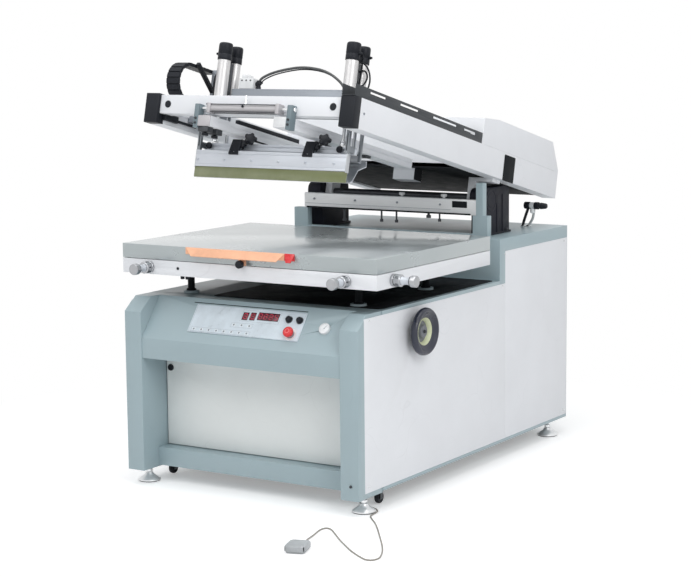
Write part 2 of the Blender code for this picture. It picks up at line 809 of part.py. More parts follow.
def low_deck():
    bottom = LOW_DECK_HEIGHT - DECK_FLANGE
    outline = [(-HALF_WIDTH, bottom), (-HALF_WIDTH, LOW_DECK_HEIGHT), (HALF_WIDTH, LOW_DECK_HEIGHT),
               (HALF_WIDTH, bottom)]
    deck = folded_sheet("low_deck", outline, "Y", POST_DEPTH + GAP, REAR_BOX_START - GAP, SHEET, (-1, 0, 0))
    flanges, bores = bmesh.new(), bmesh.new()
    for place in column_places():
        add_rod(flanges, (*place, LOW_DECK_HEIGHT - SHEET), (*place, LOW_DECK_HEIGHT + COLUMN_FLANGE_HEIGHT),
                COLUMN_FLANGE_RADIUS)
        add_rod(bores, (*place, LOW_DECK_HEIGHT - OVERRUN),
                (*place, LOW_DECK_HEIGHT + COLUMN_FLANGE_HEIGHT + OVERRUN), COLUMN_RADIUS + BORE_CLEARANCE)
    fuse(deck, mesh_piece("low_deck_flanges", flanges))
    carve(deck, mesh_piece("low_deck_bores", bores))
    finish(deck, cabinet, "grey_paint")


def rear_cover():
    """Riser, rear deck and back as one folded cover, open below and cut out for the side panels."""
    shell = box("rear_cover", (-HALF_WIDTH, REAR_BOX_START, CABINET_CLEARANCE),
                (HALF_WIDTH, CABINET_DEPTH, REAR_DECK_HEIGHT))
    open_shell(shell, [(0, 0, -1)], SHEET)
    reach = HALF_WIDTH + OVERRUN
    floor = CABINET_CLEARANCE - OVERRUN
    window = box("rear_cover_window", (-reach, REAR_BOX_START + CORNER_STRIP, floor),
                 (reach, CABINET_DEPTH - SHEET, REAR_DECK_HEIGHT - REAR_FLANGE))
    corner = box("rear_cover_corner", (-reach, REAR_BOX_START - OVERRUN, floor),
                 (reach, REAR_BOX_START + CORNER_STRIP + OVERRUN, LOW_DECK_HEIGHT - DECK_FLANGE))
    riser = box("rear_cover_riser", (-BODY_HALF - GAP, REAR_BOX_START - OVERRUN, floor),
                (BODY_HALF + GAP, REAR_BOX_START + SHEET + GAP, LOW_DECK_HEIGHT + GAP))
    carve(shell, window, corner, riser)
    finish(shell, cabinet, "grey_paint")


def side_panel(name, side):
    low = CABINET_CLEARANCE + SILL_STRIP + GAP
    low_top = LOW_DECK_HEIGHT - DECK_FLANGE - GAP
    high_top = REAR_DECK_HEIGHT - REAR_FLANGE - GAP
    front = PANEL_START + GAP
    back = CABINET_DEPTH - SHEET - GAP
    step = REAR_BOX_START + CORNER_STRIP + GAP
    outline = [(front, low), (back, low), (back, high_top), (step, high_top), (step, low_top), (front, low_top)]
    start, end = sorted((side * (HALF_WIDTH - SHEET), side * HALF_WIDTH))
    panel = prism(name, outline, "X", start, end)
    if side > 0:
        hub = (WHEEL_SETBACK, WHEEL_HEIGHT)
        carve(panel, rod(name + "_shaft_hole", (HALF_WIDTH - OVERRUN, *hub), (HALF_WIDTH + OVERRUN, *hub),
                         WHEEL_SHAFT_RADIUS + BORE_CLEARANCE))
    finish(panel, cabinet, "white_paint")


def console_housing():
    half = POST_INNER - GAP
    back = POST_DEPTH
    outline = [(CONSOLE_LIP_SETBACK, CONSOLE_BOTTOM), (CONSOLE_LIP_SETBACK, CONSOLE_LIP_TOP),
               (CONSOLE_CREST_SETBACK, LOW_DECK_HEIGHT), (back, LOW_DECK_HEIGHT), (back, CONSOLE_BOTTOM)]
    housing = folded_sheet("console_housing", outline, "X", -half, half, SHEET, (0, -1, 0), closed=True)
    hinge_hole = rod("console_housing_hinge_hole", (*hinge_place(), CONSOLE_BOTTOM - OVERRUN),
                     (*hinge_place(), CONSOLE_BOTTOM + OVERRUN), HINGE_PIN_RADIUS + BORE_CLEARANCE)
    carve(housing, console_bores("console_housing_bores"), hinge_hole)
    finish(housing, cabinet, "grey_paint")


def console_slope():
    rise = LOW_DECK_HEIGHT - CONSOLE_LIP_TOP
    run = CONSOLE_CREST_SETBACK - CONSOLE_LIP_SETBACK
    return math.atan2(rise, run)


def on_slope(across_slope, up, out=0.0):
    """A point of the sloped console face: distance across, up the slope and out of it."""
    angle = console_slope()
    return (across_slope, CONSOLE_LIP_SETBACK + up * math.cos(angle) - out * math.sin(angle),
            CONSOLE_LIP_TOP + up * math.sin(angle) + out * math.cos(angle))


def console_bores(name):
    bm = bmesh.new()
    places = [(place, BUTTON_UP) for place in BUTTON_PLACES.values()]
    places += [(STOP_ACROSS, STOP_UP), (GAUGE_ACROSS, GAUGE_UP)]
    for place in places:
        add_rod(bm, on_slope(*place, -OVERRUN), on_slope(*place, OVERRUN), STEM_RADIUS + BORE_CLEARANCE)
    return mesh_piece(name, bm)


def control_plate():
    half = PLATE_WIDTH / 2
    corners = [on_slope(0, PLATE_LOW, GAP), on_slope(0, PLATE_HIGH, GAP),
               on_slope(0, PLATE_HIGH, GAP + PLATE_THICKNESS), on_slope(0, PLATE_LOW, GAP + PLATE_THICKNESS)]
    plate = prism("control_plate", [corner[1:] for corner in corners], "X", -half, half)
    carve(plate, console_bores("control_plate_bores"))
    finish(plate, cabinet, "plate_print")


def push_button(name, place, up, radius, rise, colour, stroke):
    """A button whose rest height leaves room for its stroke above the plate."""
    face = PLATE_THICKNESS + GAP + stroke + GAP
    shank = turned(name, [(0, rise), (radius * 0.86, rise), (radius, rise * 0.8), (radius, 0), (STEM_RADIUS, 0),
                          (STEM_RADIUS, -face - STEM_DEPTH), (0, -face - STEM_DEPTH)], ROD_SIDES)
    shank.location = on_slope(place, up, face)
    shank.rotation_euler = (console_slope(), 0, 0)
    finish(shank, cabinet, colour)


def pressure_gauge():
    gauge = turned("pressure_gauge", [(0, GAUGE_RISE - SHEET), (GAUGE_RADIUS - SHEET, GAUGE_RISE - SHEET),
                                      (GAUGE_RADIUS - SHEET, GAUGE_RISE), (GAUGE_RADIUS, GAUGE_RISE),
                                      (GAUGE_RADIUS, 0), (STEM_RADIUS, 0), (STEM_RADIUS, -STEM_DEPTH),
                                      (0, -STEM_DEPTH)])
    gauge.location = on_slope(GAUGE_ACROSS, GAUGE_UP, GAP)
    gauge.rotation_euler = (console_slope(), 0, 0)
    finish(gauge, cabinet, "dial_white")


def hinge_place():
    """The door pins' place: inside its right edge, just behind its face."""
    return (POST_INNER - DOOR_CLEARANCE - HINGE_INSET, POST_DEPTH - GAP - DOOR_FOLD + HINGE_SETBACK)


def kick_door():
    low = CABINET_CLEARANCE + KICK_HEIGHT + DOOR_CLEARANCE
    high = low + DOOR_HEIGHT
    half = POST_INNER - DOOR_CLEARANCE
    back = POST_DEPTH - GAP
    door = box("kick_door", (-half, back - DOOR_FOLD, low), (half, back, high))
    open_shell(door, [(0, 1, 0)], SHEET)
    lock = (-half + LOCK_INSET, high - LOCK_DROP)
    carve(door, rod("kick_door_lock_hole", (lock[0], back - DOOR_FOLD - OVERRUN, lock[1]),
                    (lock[0], back - OVERRUN, lock[1]), STEM_RADIUS + BORE_CLEARANCE))
    face = back - DOOR_FOLD
    hinge = hinge_place()
    pins = bmesh.new()
    add_rod(pins, (*hinge, low - DOOR_CLEARANCE - HINGE_PIN_REACH), (*hinge, low + SHEET / 2), HINGE_PIN_RADIUS)
    add_rod(pins, (*hinge, high - SHEET / 2), (*hinge, CONSOLE_BOTTOM + SHEET * 2), HINGE_PIN_RADIUS)
    fuse(door, mesh_piece("kick_door_pins", pins))
    finish(door, cabinet, "cream_paint", origin=(*hinge, low))
    tongue = POST_DEPTH + GAP
    depth = tongue + SHEET - face
    knob = turned("door_lock", [(0, LOCK_RISE), (LOCK_RADIUS * 0.8, LOCK_RISE), (LOCK_RADIUS, LOCK_RISE / 2),
                                (LOCK_RADIUS, 0), (STEM_RADIUS, 0), (STEM_RADIUS, -depth), (0, -depth)],
                  ROD_SIDES)
    knob = settle(knob, (lock[0], face - GAP, lock[1]), (math.radians(90), 0, 0))
    fuse(knob, box("door_lock_tongue", (lock[0] - LOCK_TONGUE_WIDTH / 2, tongue,
                                        lock[1] - LOCK_TONGUE_WIDTH / 2),
                   (lock[0] + LOCK_TONGUE_WIDTH / 2, tongue + SHEET, lock[1] + LOCK_TONGUE)))
    finish(knob, cabinet, "black_plastic", origin=(lock[0], face, lock[1]))


def levelling_foot(name, side, setback, seat):
    """A cup, neck and threaded stem; the stem runs up through the plate above."""
    nut = FOOT_CUP_HEIGHT + FOOT_NECK / 2
    profile = [(0, seat + FOOT_STEM_REACH), (FOOT_STEM_RADIUS, seat + FOOT_STEM_REACH),
               (FOOT_STEM_RADIUS, seat - GAP), (FOOT_NECK, seat - GAP), (FOOT_NECK, nut),
               (FOOT_NECK * 0.8, FOOT_CUP_HEIGHT), (FOOT_RADIUS, FOOT_RIM), (FOOT_RADIUS, 0), (0, 0)]
    foot = turned(name, profile)
    foot.location = (side * FOOT_OFFSET, setback, 0)
    finish(foot, cabinet, "bright_steel")


def castor(side, prefix):
    axle = CASTOR_RADIUS + CASTOR_LIFT
    top = CABINET_CLEARANCE - GAP
    x = side * CASTOR_OFFSET
    cheek = CASTOR_WIDTH / 2 + GAP * 2
    wheel_y = CASTOR_SETBACK + CASTOR_TRAIL
    reach = CASTOR_CHEEK_LENGTH
    fork = box(prefix + "_castor_fork", (x - cheek - CASTOR_CHEEK, CASTOR_SETBACK - reach, top - CASTOR_PLATE),
               (x + cheek + CASTOR_CHEEK, CASTOR_SETBACK + reach, top))
    bm = bmesh.new()
    for hand in (1, -1):
        ends = sorted((hand * cheek, hand * (cheek + CASTOR_CHEEK)))
        add_box(bm, (x + ends[0], wheel_y - reach / 2, axle - CASTOR_AXLE_RADIUS * 2),
                (x + ends[1], wheel_y + reach / 2, top - SHEET))
    fuse(fork, mesh_piece(fork.name + "_cheeks", bm))
    fuse(fork, rod(fork.name + "_axle", (x - cheek - CASTOR_CHEEK / 2, wheel_y, axle),
                   (x + cheek + CASTOR_CHEEK / 2, wheel_y, axle), CASTOR_AXLE_RADIUS))
    fuse(fork, rod(fork.name + "_stem", (x, CASTOR_SETBACK, top - SHEET), (x, CASTOR_SETBACK, top + CASTOR_STEM),
                   CASTOR_STEM_RADIUS))
    finish(fork, cabinet, "grey_steel", origin=(x, CASTOR_SETBACK, top))
    half = CASTOR_WIDTH / 2
    crown = CASTOR_WIDTH / 8
    wheel = settle(turned(prefix + "_castor_wheel", [
        (0, half), (CASTOR_RADIUS - crown, half), (CASTOR_RADIUS, half - crown), (CASTOR_RADIUS, crown - half),
        (CASTOR_RADIUS - crown, -half), (0, -half)]))
    carve(wheel, rod(wheel.name + "_bore", (0, 0, -CASTOR_WIDTH), (0, 0, CASTOR_WIDTH),
                     CASTOR_AXLE_RADIUS + BORE_CLEARANCE))
    hub = new_empty(prefix + "_castor_axle", (x, wheel_y, axle), cabinet, (0, math.radians(90), 0))
    finish(wheel, hub, "black_plastic", smooth=True)


def handwheel():
    rim = WHEEL_RADIUS - WHEEL_RIM
    face = WHEEL_DEPTH
    web = WHEEL_STANDOFF + WHEEL_WEB
    profile = [(0, face), (WHEEL_HUB_RADIUS, face), (WHEEL_HUB_RADIUS, web), (WHEEL_RING_RADIUS, web),
               (WHEEL_RING_RADIUS, face - WHEEL_WEB), (rim, face - WHEEL_WEB), (rim + WHEEL_WEB / 2, face),
               (WHEEL_RADIUS - WHEEL_WEB / 2, face), (WHEEL_RADIUS, face - WHEEL_WEB / 2),
               (WHEEL_RADIUS, WHEEL_STANDOFF), (WHEEL_HUB_RADIUS, WHEEL_STANDOFF), (WHEEL_HUB_RADIUS, GAP),
               (WHEEL_SHAFT_RADIUS, GAP), (WHEEL_SHAFT_RADIUS, -WHEEL_SHAFT_REACH), (0, -WHEEL_SHAFT_REACH)]
    wheel = turned("handwheel", profile, FINE_SIDES)
    wheel.location = (HALF_WIDTH, WHEEL_SETBACK, WHEEL_HEIGHT)
    wheel.rotation_euler = (0, math.radians(90), 0)
    finish(wheel, cabinet, "black_plastic")


def cabinet_group():
    cabinet_frame()
    low_deck()
    rear_cover()
    console_housing()
    control_plate()
    for name, place in BUTTON_PLACES.items():
        push_button(name, place, BUTTON_UP, BUTTON_RADIUS, BUTTON_RISE, "black_plastic", BUTTON_STROKE)
    push_button("emergency_stop", STOP_ACROSS, STOP_UP, STOP_RADIUS, STOP_RISE, "red_plastic", STOP_STROKE)
    pressure_gauge()
    kick_door()
    for side, prefix in ((-1, "left"), (1, "right")):
        front_post(prefix + "_front_post", side)
        side_panel(prefix + "_side_panel", side)
        castor(side, prefix)
        levelling_foot(prefix + "_front_foot", side, FRONT_FOOT_SETBACK, POST_BOTTOM)
        levelling_foot(prefix + "_rear_foot", side, REAR_FOOT_SETBACK, CABINET_CLEARANCE)
    handwheel()


# Bed

def column_places():
    rows = (BED_SETBACK + COLUMN_FRONT, BED_SETBACK + COLUMN_REAR)
    return [(side * COLUMN_OFFSET, row) for side in (1, -1) for row in rows]


def bed_subframe():
    half = BED_WIDTH / 2
    back = BED_SETBACK + BED_DEPTH
    pan = box("bed_subframe", (-half, BED_SETBACK, SUBFRAME_LOW), (half, back, SUBFRAME_DECK))
    open_shell(pan, [(0, 0, -1)], SUBFRAME_TOP)
    columns = bmesh.new()
    for place in column_places():
        add_rod(columns, (*place, SUBFRAME_DECK - COLUMN_LENGTH), (*place, SUBFRAME_DECK - SUBFRAME_TOP / 2),
                COLUMN_RADIUS)
    fuse(pan, mesh_piece("bed_subframe_columns", columns))
    bores = bmesh.new()
    for side in (1, -1):
        place = (side * KNOB_OFFSET, SUBFRAME_DECK - KNOB_DROP)
        add_rod(bores, (place[0], BED_SETBACK - OVERRUN, place[1]), (place[0], BED_SETBACK + OVERRUN, place[1]),
                KNOB_SHAFT_RADIUS + BORE_CLEARANCE)
    side_place = (BED_SETBACK + SIDE_KNOB_SETBACK, SUBFRAME_DECK - KNOB_DROP)
    add_rod(bores, (half - OVERRUN, *side_place), (half + OVERRUN, *side_place),
            KNOB_SHAFT_RADIUS + BORE_CLEARANCE)
    carve(pan, mesh_piece("bed_subframe_bores", bores))
    finish(pan, cabinet, "white_paint")


def slide_plate():
    """Hollow plate between the subframe and the slab; it moves front to back, the slab moves across it."""
    low = SUBFRAME_DECK + GAP
    high = BED_HEIGHT - BED_TOP - GAP
    near = BED_CENTRE - SLIDE_DEPTH / 2
    far = BED_CENTRE + SLIDE_DEPTH / 2
    outline = [(near, low), (near, high), (far, high), (far, low)]
    plate = folded_sheet("slide_plate", outline, "X", -SLIDE_WIDTH / 2, SLIDE_WIDTH / 2, SLIDE_WALL, (0, -1, 0),
                         closed=True)
    finish(plate, cabinet, "aluminium")


def bed_slab():
    half = BED_WIDTH / 2
    slab = box("bed_slab", (-half, BED_SETBACK, BED_UNDERSIDE), (half, BED_SETBACK + BED_DEPTH, BED_HEIGHT))
    open_shell(slab, [(0, 0, -1)], BED_TOP)
    screw = (LAY_SHIFT + LAY_KNOB_SHIFT, BED_HEIGHT - LAY_KNOB_DROP)
    carve(slab, rod("bed_slab_screw_hole", (screw[0], BED_SETBACK - OVERRUN, screw[1]),
                    (screw[0], BED_SETBACK + OVERRUN, screw[1]), LAY_SCREW_RADIUS + BORE_CLEARANCE))
    finish(slab, cabinet, "bed_steel")


def registration_knob(name, location, turn):
    """Grip, bright barrel, body and shaft; the axis points out of the rail that the shaft enters."""
    reach = KNOB_BARREL + KNOB_GRIP
    profile = [(0, reach), (KNOB_RADIUS * 0.9, reach), (KNOB_RADIUS, reach - SHEET), (KNOB_RADIUS, KNOB_BARREL),
               (KNOB_BARREL_RADIUS, KNOB_BARREL), (KNOB_BARREL_RADIUS, KNOB_BODY), (KNOB_BODY_RADIUS, KNOB_BODY),
               (KNOB_BODY_RADIUS, 0), (KNOB_SHAFT_RADIUS, 0), (KNOB_SHAFT_RADIUS, -KNOB_SHAFT),
               (0, -KNOB_SHAFT)]
    knob = turned(name, profile, ROD_SIDES)
    knob.location = location
    knob.rotation_euler = turn
    finish(knob, cabinet, "bright_steel")


def lay_strip():
    """Sloped strip along the slab's front edge, on a leg with a tongue for its clamp screw."""
    left = LAY_SHIFT - LAY_WIDTH / 2
    right = LAY_SHIFT + LAY_WIDTH / 2
    seat = BED_SETBACK - GAP
    outline = [(seat, BED_HEIGHT - LAY_LEG), (seat, BED_HEIGHT), (seat - LAY_STANDOFF, BED_HEIGHT - LAY_FALL)]
    strip = folded_sheet("lay_strip", outline, "X", left, right, LAY_THICKNESS, (0, 1, 0))
    screw = (LAY_SHIFT + LAY_KNOB_SHIFT, BED_HEIGHT - LAY_KNOB_DROP)
    tongue = box("lay_strip_tongue", (screw[0] - LAY_TONGUE / 2, seat - LAY_THICKNESS,
                                      BED_HEIGHT - LAY_TONGUE_DROP),
                 (screw[0] + LAY_TONGUE / 2, seat, BED_HEIGHT - LAY_LEG / 2))
    fuse(strip, tongue)
    carve(strip, rod("lay_strip_screw_hole", (screw[0], seat - OVERRUN, screw[1]),
                     (screw[0], seat + OVERRUN, screw[1]), LAY_SCREW_RADIUS + BORE_CLEARANCE))
    finish(strip, cabinet, "peach_plastic")
    knob = turned("lay_knob", [(0, LAY_KNOB_LENGTH), (LAY_KNOB_RADIUS * 0.85, LAY_KNOB_LENGTH),
                               (LAY_KNOB_RADIUS, LAY_KNOB_LENGTH * 0.8), (LAY_KNOB_RADIUS, LAY_COLLAR),
                               (LAY_COLLAR_RADIUS, LAY_COLLAR), (LAY_COLLAR_RADIUS, 0), (LAY_SCREW_RADIUS, 0),
                               (LAY_SCREW_RADIUS, -LAY_SCREW), (0, -LAY_SCREW)], ROD_SIDES)
    knob.location = (screw[0], seat - LAY_THICKNESS - GAP, screw[1])
    knob.rotation_euler = (math.radians(90), 0, 0)
    finish(knob, cabinet, "black_plastic")


def bed_group():
    bed_subframe()
    slide_plate()
    bed_slab()
    drop = SUBFRAME_DECK - KNOB_DROP
    for side, name in ((-1, "left_front_knob"), (1, "right_front_knob")):
        registration_knob(name, (side * KNOB_OFFSET, BED_SETBACK - GAP, drop), (math.radians(90), 0, 0))
    registration_knob("side_knob", (BED_WIDTH / 2 + GAP, BED_SETBACK + SIDE_KNOB_SETBACK, drop),
                      (0, math.radians(90), 0))
    lay_strip()


# Head support on the rear deck

def rear_bridge():
    deck = REAR_DECK_HEIGHT + GAP
    near, far = BRIDGE_SETBACK, BRIDGE_SETBACK + BRIDGE_DEPTH
    foot_top = deck + BRIDGE_FOOT_HEIGHT
    bridge = box("rear_bridge", (-BRIDGE_FOOT_OUT, near, deck), (BRIDGE_FOOT_OUT, far, deck + BRIDGE_SILL))
    bm = bmesh.new()
    for side in (1, -1):
        add_box(bm, *across(side, (BRIDGE_FOOT_IN, near, deck), (BRIDGE_FOOT_OUT, far, foot_top)))
    upright = REAR_RAIL_HALF + GAP
    add_box(bm, (upright, near, foot_top - BRIDGE_SILL), (upright + UPRIGHT_WIDTH, far, foot_top + UPRIGHT_HEIGHT))
    fuse(bridge, mesh_piece("rear_bridge_feet", bm))
    bridge.modifiers[-1].use_self = True
    finish(bridge, cabinet, "grey_paint")


def rear_rail():
    low = REAR_DECK_HEIGHT + GAP + BRIDGE_FOOT_HEIGHT + GAP
    near, far = BRIDGE_SETBACK, BRIDGE_SETBACK + BRIDGE_DEPTH
    high = low + REAR_RAIL_HEIGHT
    outline = [(near, low), (near, high), (far, high), (far, low)]
    rail = folded_sheet("rear_rail", outline, "X", -REAR_RAIL_HALF, REAR_RAIL_HALF, REAR_RAIL_WALL, (0, -1, 0),
                        closed=True)
    finish(rail, cabinet, "aluminium")


def quarter_arc(centre, radius, start_angle, steps):
    turns = [math.radians(start_angle - 90 * step / steps) for step in range(steps + 1)]
    return [(centre[0] + radius * math.cos(turn), centre[1] + radius * math.sin(turn)) for turn in turns]


def pivot_block(name, side):
    """Bearing block with a nose to the front and round upper corners; its bore carries the pivot shaft."""
    deck = REAR_DECK_HEIGHT + GAP
    front = PIVOT_SETBACK - BLOCK_FRONT
    nose = PIVOT_SETBACK - BLOCK_NOSE
    rear = PIVOT_SETBACK + BLOCK_REAR
    top = PIVOT_HEIGHT + BLOCK_TOP
    shelf = deck + BLOCK_NOSE_HEIGHT
    outline = [(rear, deck), (front, deck), (front, shelf), (nose, shelf)]
    outline += quarter_arc((nose + BLOCK_CORNER, top - BLOCK_CORNER), BLOCK_CORNER, 180, 5)
    outline += quarter_arc((rear - BLOCK_CORNER, top - BLOCK_CORNER), BLOCK_CORNER, 90, 5)
    start, end = sorted((side * BLOCK_IN, side * BLOCK_OUT))
    block = prism(name, outline, "X", start, end)
    pivot = (PIVOT_SETBACK, PIVOT_HEIGHT)
    carve(block, rod(name + "_bore", (start - OVERRUN, *pivot), (end + OVERRUN, *pivot),
                     PIVOT_RADIUS + BORE_CLEARANCE))
    finish(block, cabinet, "black_casting")


def air_regulator():
    """A turned body lying across the deck, its bowl under it, on a leaning riser tube."""
    deck = REAR_DECK_HEIGHT + GAP
    axis = deck + REGULATOR_RISE
    x, y = REGULATOR_OFFSET, REGULATOR_SETBACK
    end, body, neck = REGULATOR_END_RADIUS, REGULATOR_RADIUS, REGULATOR_NECK_RADIUS
    cap, band, ring = REGULATOR_BANDS
    base, tip = REGULATOR_KNOB
    wide, narrow = REGULATOR_KNOB_RADII
    profile = [(0, tip), (narrow, tip), (wide, base), (neck, base), (neck, ring), (end, ring), (end, band),
               (body, band), (body, cap), (end, cap), (end, 0), (0, 0)]
    regulator = settle(turned("air_regulator", profile, ROD_SIDES), (x - REGULATOR_LEFT, y, axis),
                       (0, math.radians(90), 0))
    bowl_x = x - REGULATOR_LEFT + REGULATOR_BOWL_AT
    fuse(regulator, rod("air_regulator_bowl", (bowl_x, y, axis - REGULATOR_BOWL_DROP), (bowl_x, y, axis),
                        REGULATOR_BOWL_RADIUS))
    root = x - REGULATOR_TUBE_LEAN
    fuse(regulator,
         rod("air_regulator_tube", (root, y, deck + REGULATOR_FLANGE / 2), (x, y, axis), REGULATOR_TUBE_RADIUS),
         rod("air_regulator_flange", (root, y, deck), (root, y, deck + REGULATOR_FLANGE),
             REGULATOR_FLANGE_RADIUS))
    finish(regulator, cabinet, "black_plastic")


def support_group():
    rear_bridge()
    rear_rail()
    air_regulator()
    for side, prefix in ((-1, "left"), (1, "right")):
        pivot_block(prefix + "_pivot_block", side)


# Head

def head_arm(name, side):
    """Box-section arm with its pivot lug under it and the carriage track on its inner wall."""
    ends = sorted((side * ARM_IN, side * ARM_OUT))
    outline = [(ends[0], ARM_BOTTOM), (ends[0], ARM_TOP), (ends[1], ARM_TOP), (ends[1], ARM_BOTTOM)]
    arm = folded_sheet(name, outline, "Y", ARM_FRONT, ARM_REAR, ARM_WALL, (-1, 0, 0), closed=True)
    root = ARM_BOTTOM + ARM_WALL / 2
    tab = ARM_BOTTOM - LUG_TAB
    lug = [(LUG_IN, -LUG_HALF), (LUG_OUT, -LUG_HALF), (LUG_OUT, tab), (LUG_TAB_OUT, tab), (LUG_TAB_OUT, root),
           (LUG_IN, root)]
    lug = prism(name + "_lug", [(side * x, z) for x, z in lug], "Y", -LUG_HALF, LUG_HALF)
    track = box(name + "_track", *across(side, (ARM_IN - TRACK_WIDTH, TRACK_FRONT, TRACK_LOW),
                                         (ARM_IN + ARM_WALL / 2, TRACK_REAR, TRACK_LOW + TRACK_HEIGHT)))
    fuse(arm, lug, track)
    start, end = sorted((side * (LUG_IN - OVERRUN), side * (LUG_OUT + OVERRUN)))
    carve(arm, rod(name + "_bore", (start, 0, 0), (end, 0, 0), PIVOT_RADIUS + BORE_CLEARANCE))
    finish(arm, head, "white_paint")


def pivot_shaft():
    reach = BLOCK_OUT - SHEET
    finish(rod("pivot_shaft", (-reach, 0, 0), (reach, 0, 0), PIVOT_RADIUS), head, "bright_steel", smooth=True)


def front_beam():
    half = ARM_IN - GAP
    low, high = BEAM_LOW, BEAM_LOW + BEAM_HEIGHT
    back = BEAM_FACE + BEAM_DEPTH
    outline = [(BEAM_FACE, low), (BEAM_FACE, high), (back, high), (back, low)]
    beam = folded_sheet("front_beam", outline, "X", -half, half, BEAM_WALL, (0, -1, 0), closed=True)
    finish(beam, head, "white_paint")


def rear_hood():
    """Cover over the drive: open below, standing on the arms, with a front apron between them."""
    seat = ARM_TOP + GAP
    outline = [(HOOD_FRONT, seat), (HOOD_FRONT, HOOD_BROW), (HOOD_TOP_FRONT, HOOD_TOP),
               (HOOD_TOP_REAR, HOOD_TOP), (ARM_REAR, HOOD_REAR_LOW), (ARM_REAR, seat)]
    hood = prism("rear_hood", outline, "X", -ARM_OUT, ARM_OUT)
    open_shell(hood, [(0, 0, -1)], HOOD_SHEET)
    half = ARM_IN - GAP
    plate_top = DECK_PLATE_LOW + DECK_PLATE + GAP
    bm = bmesh.new()
    add_box(bm, (-half, HOOD_FRONT, HOOD_LIP), (half, HOOD_FRONT + HOOD_SHEET, seat + OVERRUN))
    add_box(bm, (-half, ARM_REAR - HOOD_SHEET * 2, plate_top), (half, ARM_REAR - HOOD_SHEET, seat + HOOD_SHEET))
    fuse(hood, mesh_piece("rear_hood_aprons", bm))
    finish(hood, head, "white_paint")


def drive_motor():
    half = ARM_IN - GAP
    low = DECK_PLATE_LOW
    top = low + DECK_PLATE
    plate = box("drive_motor", (-half, DECK_PLATE_FRONT, low), (half, DECK_PLATE_REAR, top))
    lift = top + MOTOR_RADIUS * 0.9
    motor = rod("drive_motor_body", (-MOTOR_LENGTH / 2, MOTOR_SETBACK, lift),
                (MOTOR_LENGTH / 2, MOTOR_SETBACK, lift), MOTOR_RADIUS)
    gearbox = box("drive_motor_gearbox", (GEARBOX_ACROSS - GEARBOX_WIDTH / 2, GEARBOX_FRONT, low - GEARBOX_DROP),
                  (GEARBOX_ACROSS + GEARBOX_WIDTH / 2, GEARBOX_FRONT + GEARBOX_DEPTH, low + DECK_PLATE / 2))
    fuse(plate, motor, gearbox)
    finish(plate, head, "black_casting")


def cable_tray():
    """Open tray along the right arm with long slots through both its walls."""
    left, right = ARM_IN + TRAY_INSET, ARM_OUT - TRAY_INSET
    low = ARM_TOP + GAP
    high = low + TRAY_HEIGHT
    start, end = ARM_FRONT, HOOD_FRONT - GAP
    outline = [(left, high), (left, low), (right, low), (right, high)]
    tray = folded_sheet("cable_tray", outline, "Y", start, end, TRAY_WALL, (-1, 0, 0))
    slots = bmesh.new()
    for centre, width in zip(TRAY_SLOT_CENTRE_SHARES, TRAY_SLOT_WIDTH_SHARES):
        middle = start + (end - start) * centre
        half = (end - start) * width / 2
        add_box(slots, (left - OVERRUN, middle - half, low + TRAY_SLOT_UP),
                (right + OVERRUN, middle + half, low + TRAY_SLOT_UP + TRAY_SLOT_HEIGHT))
    carve(tray, mesh_piece("cable_tray_slots", slots))
    finish(tray, head, "black_plastic")


def clamp_cylinder():
    y = BEAM_FACE - CLAMP_RADIUS - GAP
    body = rod("clamp_cylinder", (-CLAMP_HALF, y, CLAMP_UP), (CLAMP_HALF, y, CLAMP_UP), CLAMP_RADIUS)
    bores = bmesh.new()
    inner = BRACKET_IN - CLAMP_ROD_REACH - GAP
    for side in (1, -1):
        add_rod(bores, (side * inner, y, CLAMP_UP), (side * (CLAMP_HALF + OVERRUN), y, CLAMP_UP),
                CLAMP_ROD_RADIUS + BORE_CLEARANCE)
    carve(body, mesh_piece("clamp_cylinder_bores", bores))
    finish(body, head, "aluminium", smooth=True)


def frame_arm(name, side):
    """Bracket and long hollow bar that grip one side of the printing frame, with the cylinder's rod."""
    face = BEAM_FACE - GAP
    y = BEAM_FACE - CLAMP_RADIUS - GAP
    low, high = FRAME_ARM_LOW, FRAME_ARM_LOW + FRAME_ARM_HEIGHT
    ends = sorted((side * FRAME_ARM_IN, side * FRAME_ARM_OUT))
    outline = [(ends[0], low), (ends[0], high), (ends[1], high), (ends[1], low)]
    arm = folded_sheet(name, outline, "Y", face - BRACKET_DEPTH, FRAME_ARM_REAR, FRAME_ARM_WALL, (-1, 0, 0),
                       closed=True)
    bracket = box(name + "_bracket", *across(side, (BRACKET_IN, face - BRACKET_DEPTH, BRACKET_LOW),
                                             (BRACKET_OUT, face, BRACKET_HIGH)))
    ram = rod(name + "_rod", (side * (BRACKET_IN - CLAMP_ROD_REACH), y, CLAMP_UP),
              (side * (BRACKET_IN + BRACKET_OUT) / 2, y, CLAMP_UP), CLAMP_ROD_RADIUS)
    fuse(arm, bracket, ram)
    finish(arm, head, "white_paint", origin=(side * BRACKET_IN, y, CLAMP_UP))


def head_group():
    pivot_shaft()
    front_beam()
    rear_hood()
    drive_motor()
    cable_tray()
    clamp_cylinder()
    for side, prefix in ((-1, "left"), (1, "right")):
        head_arm(prefix + "_arm", side)
        frame_arm(prefix + "_frame_arm", side)


# Carriage

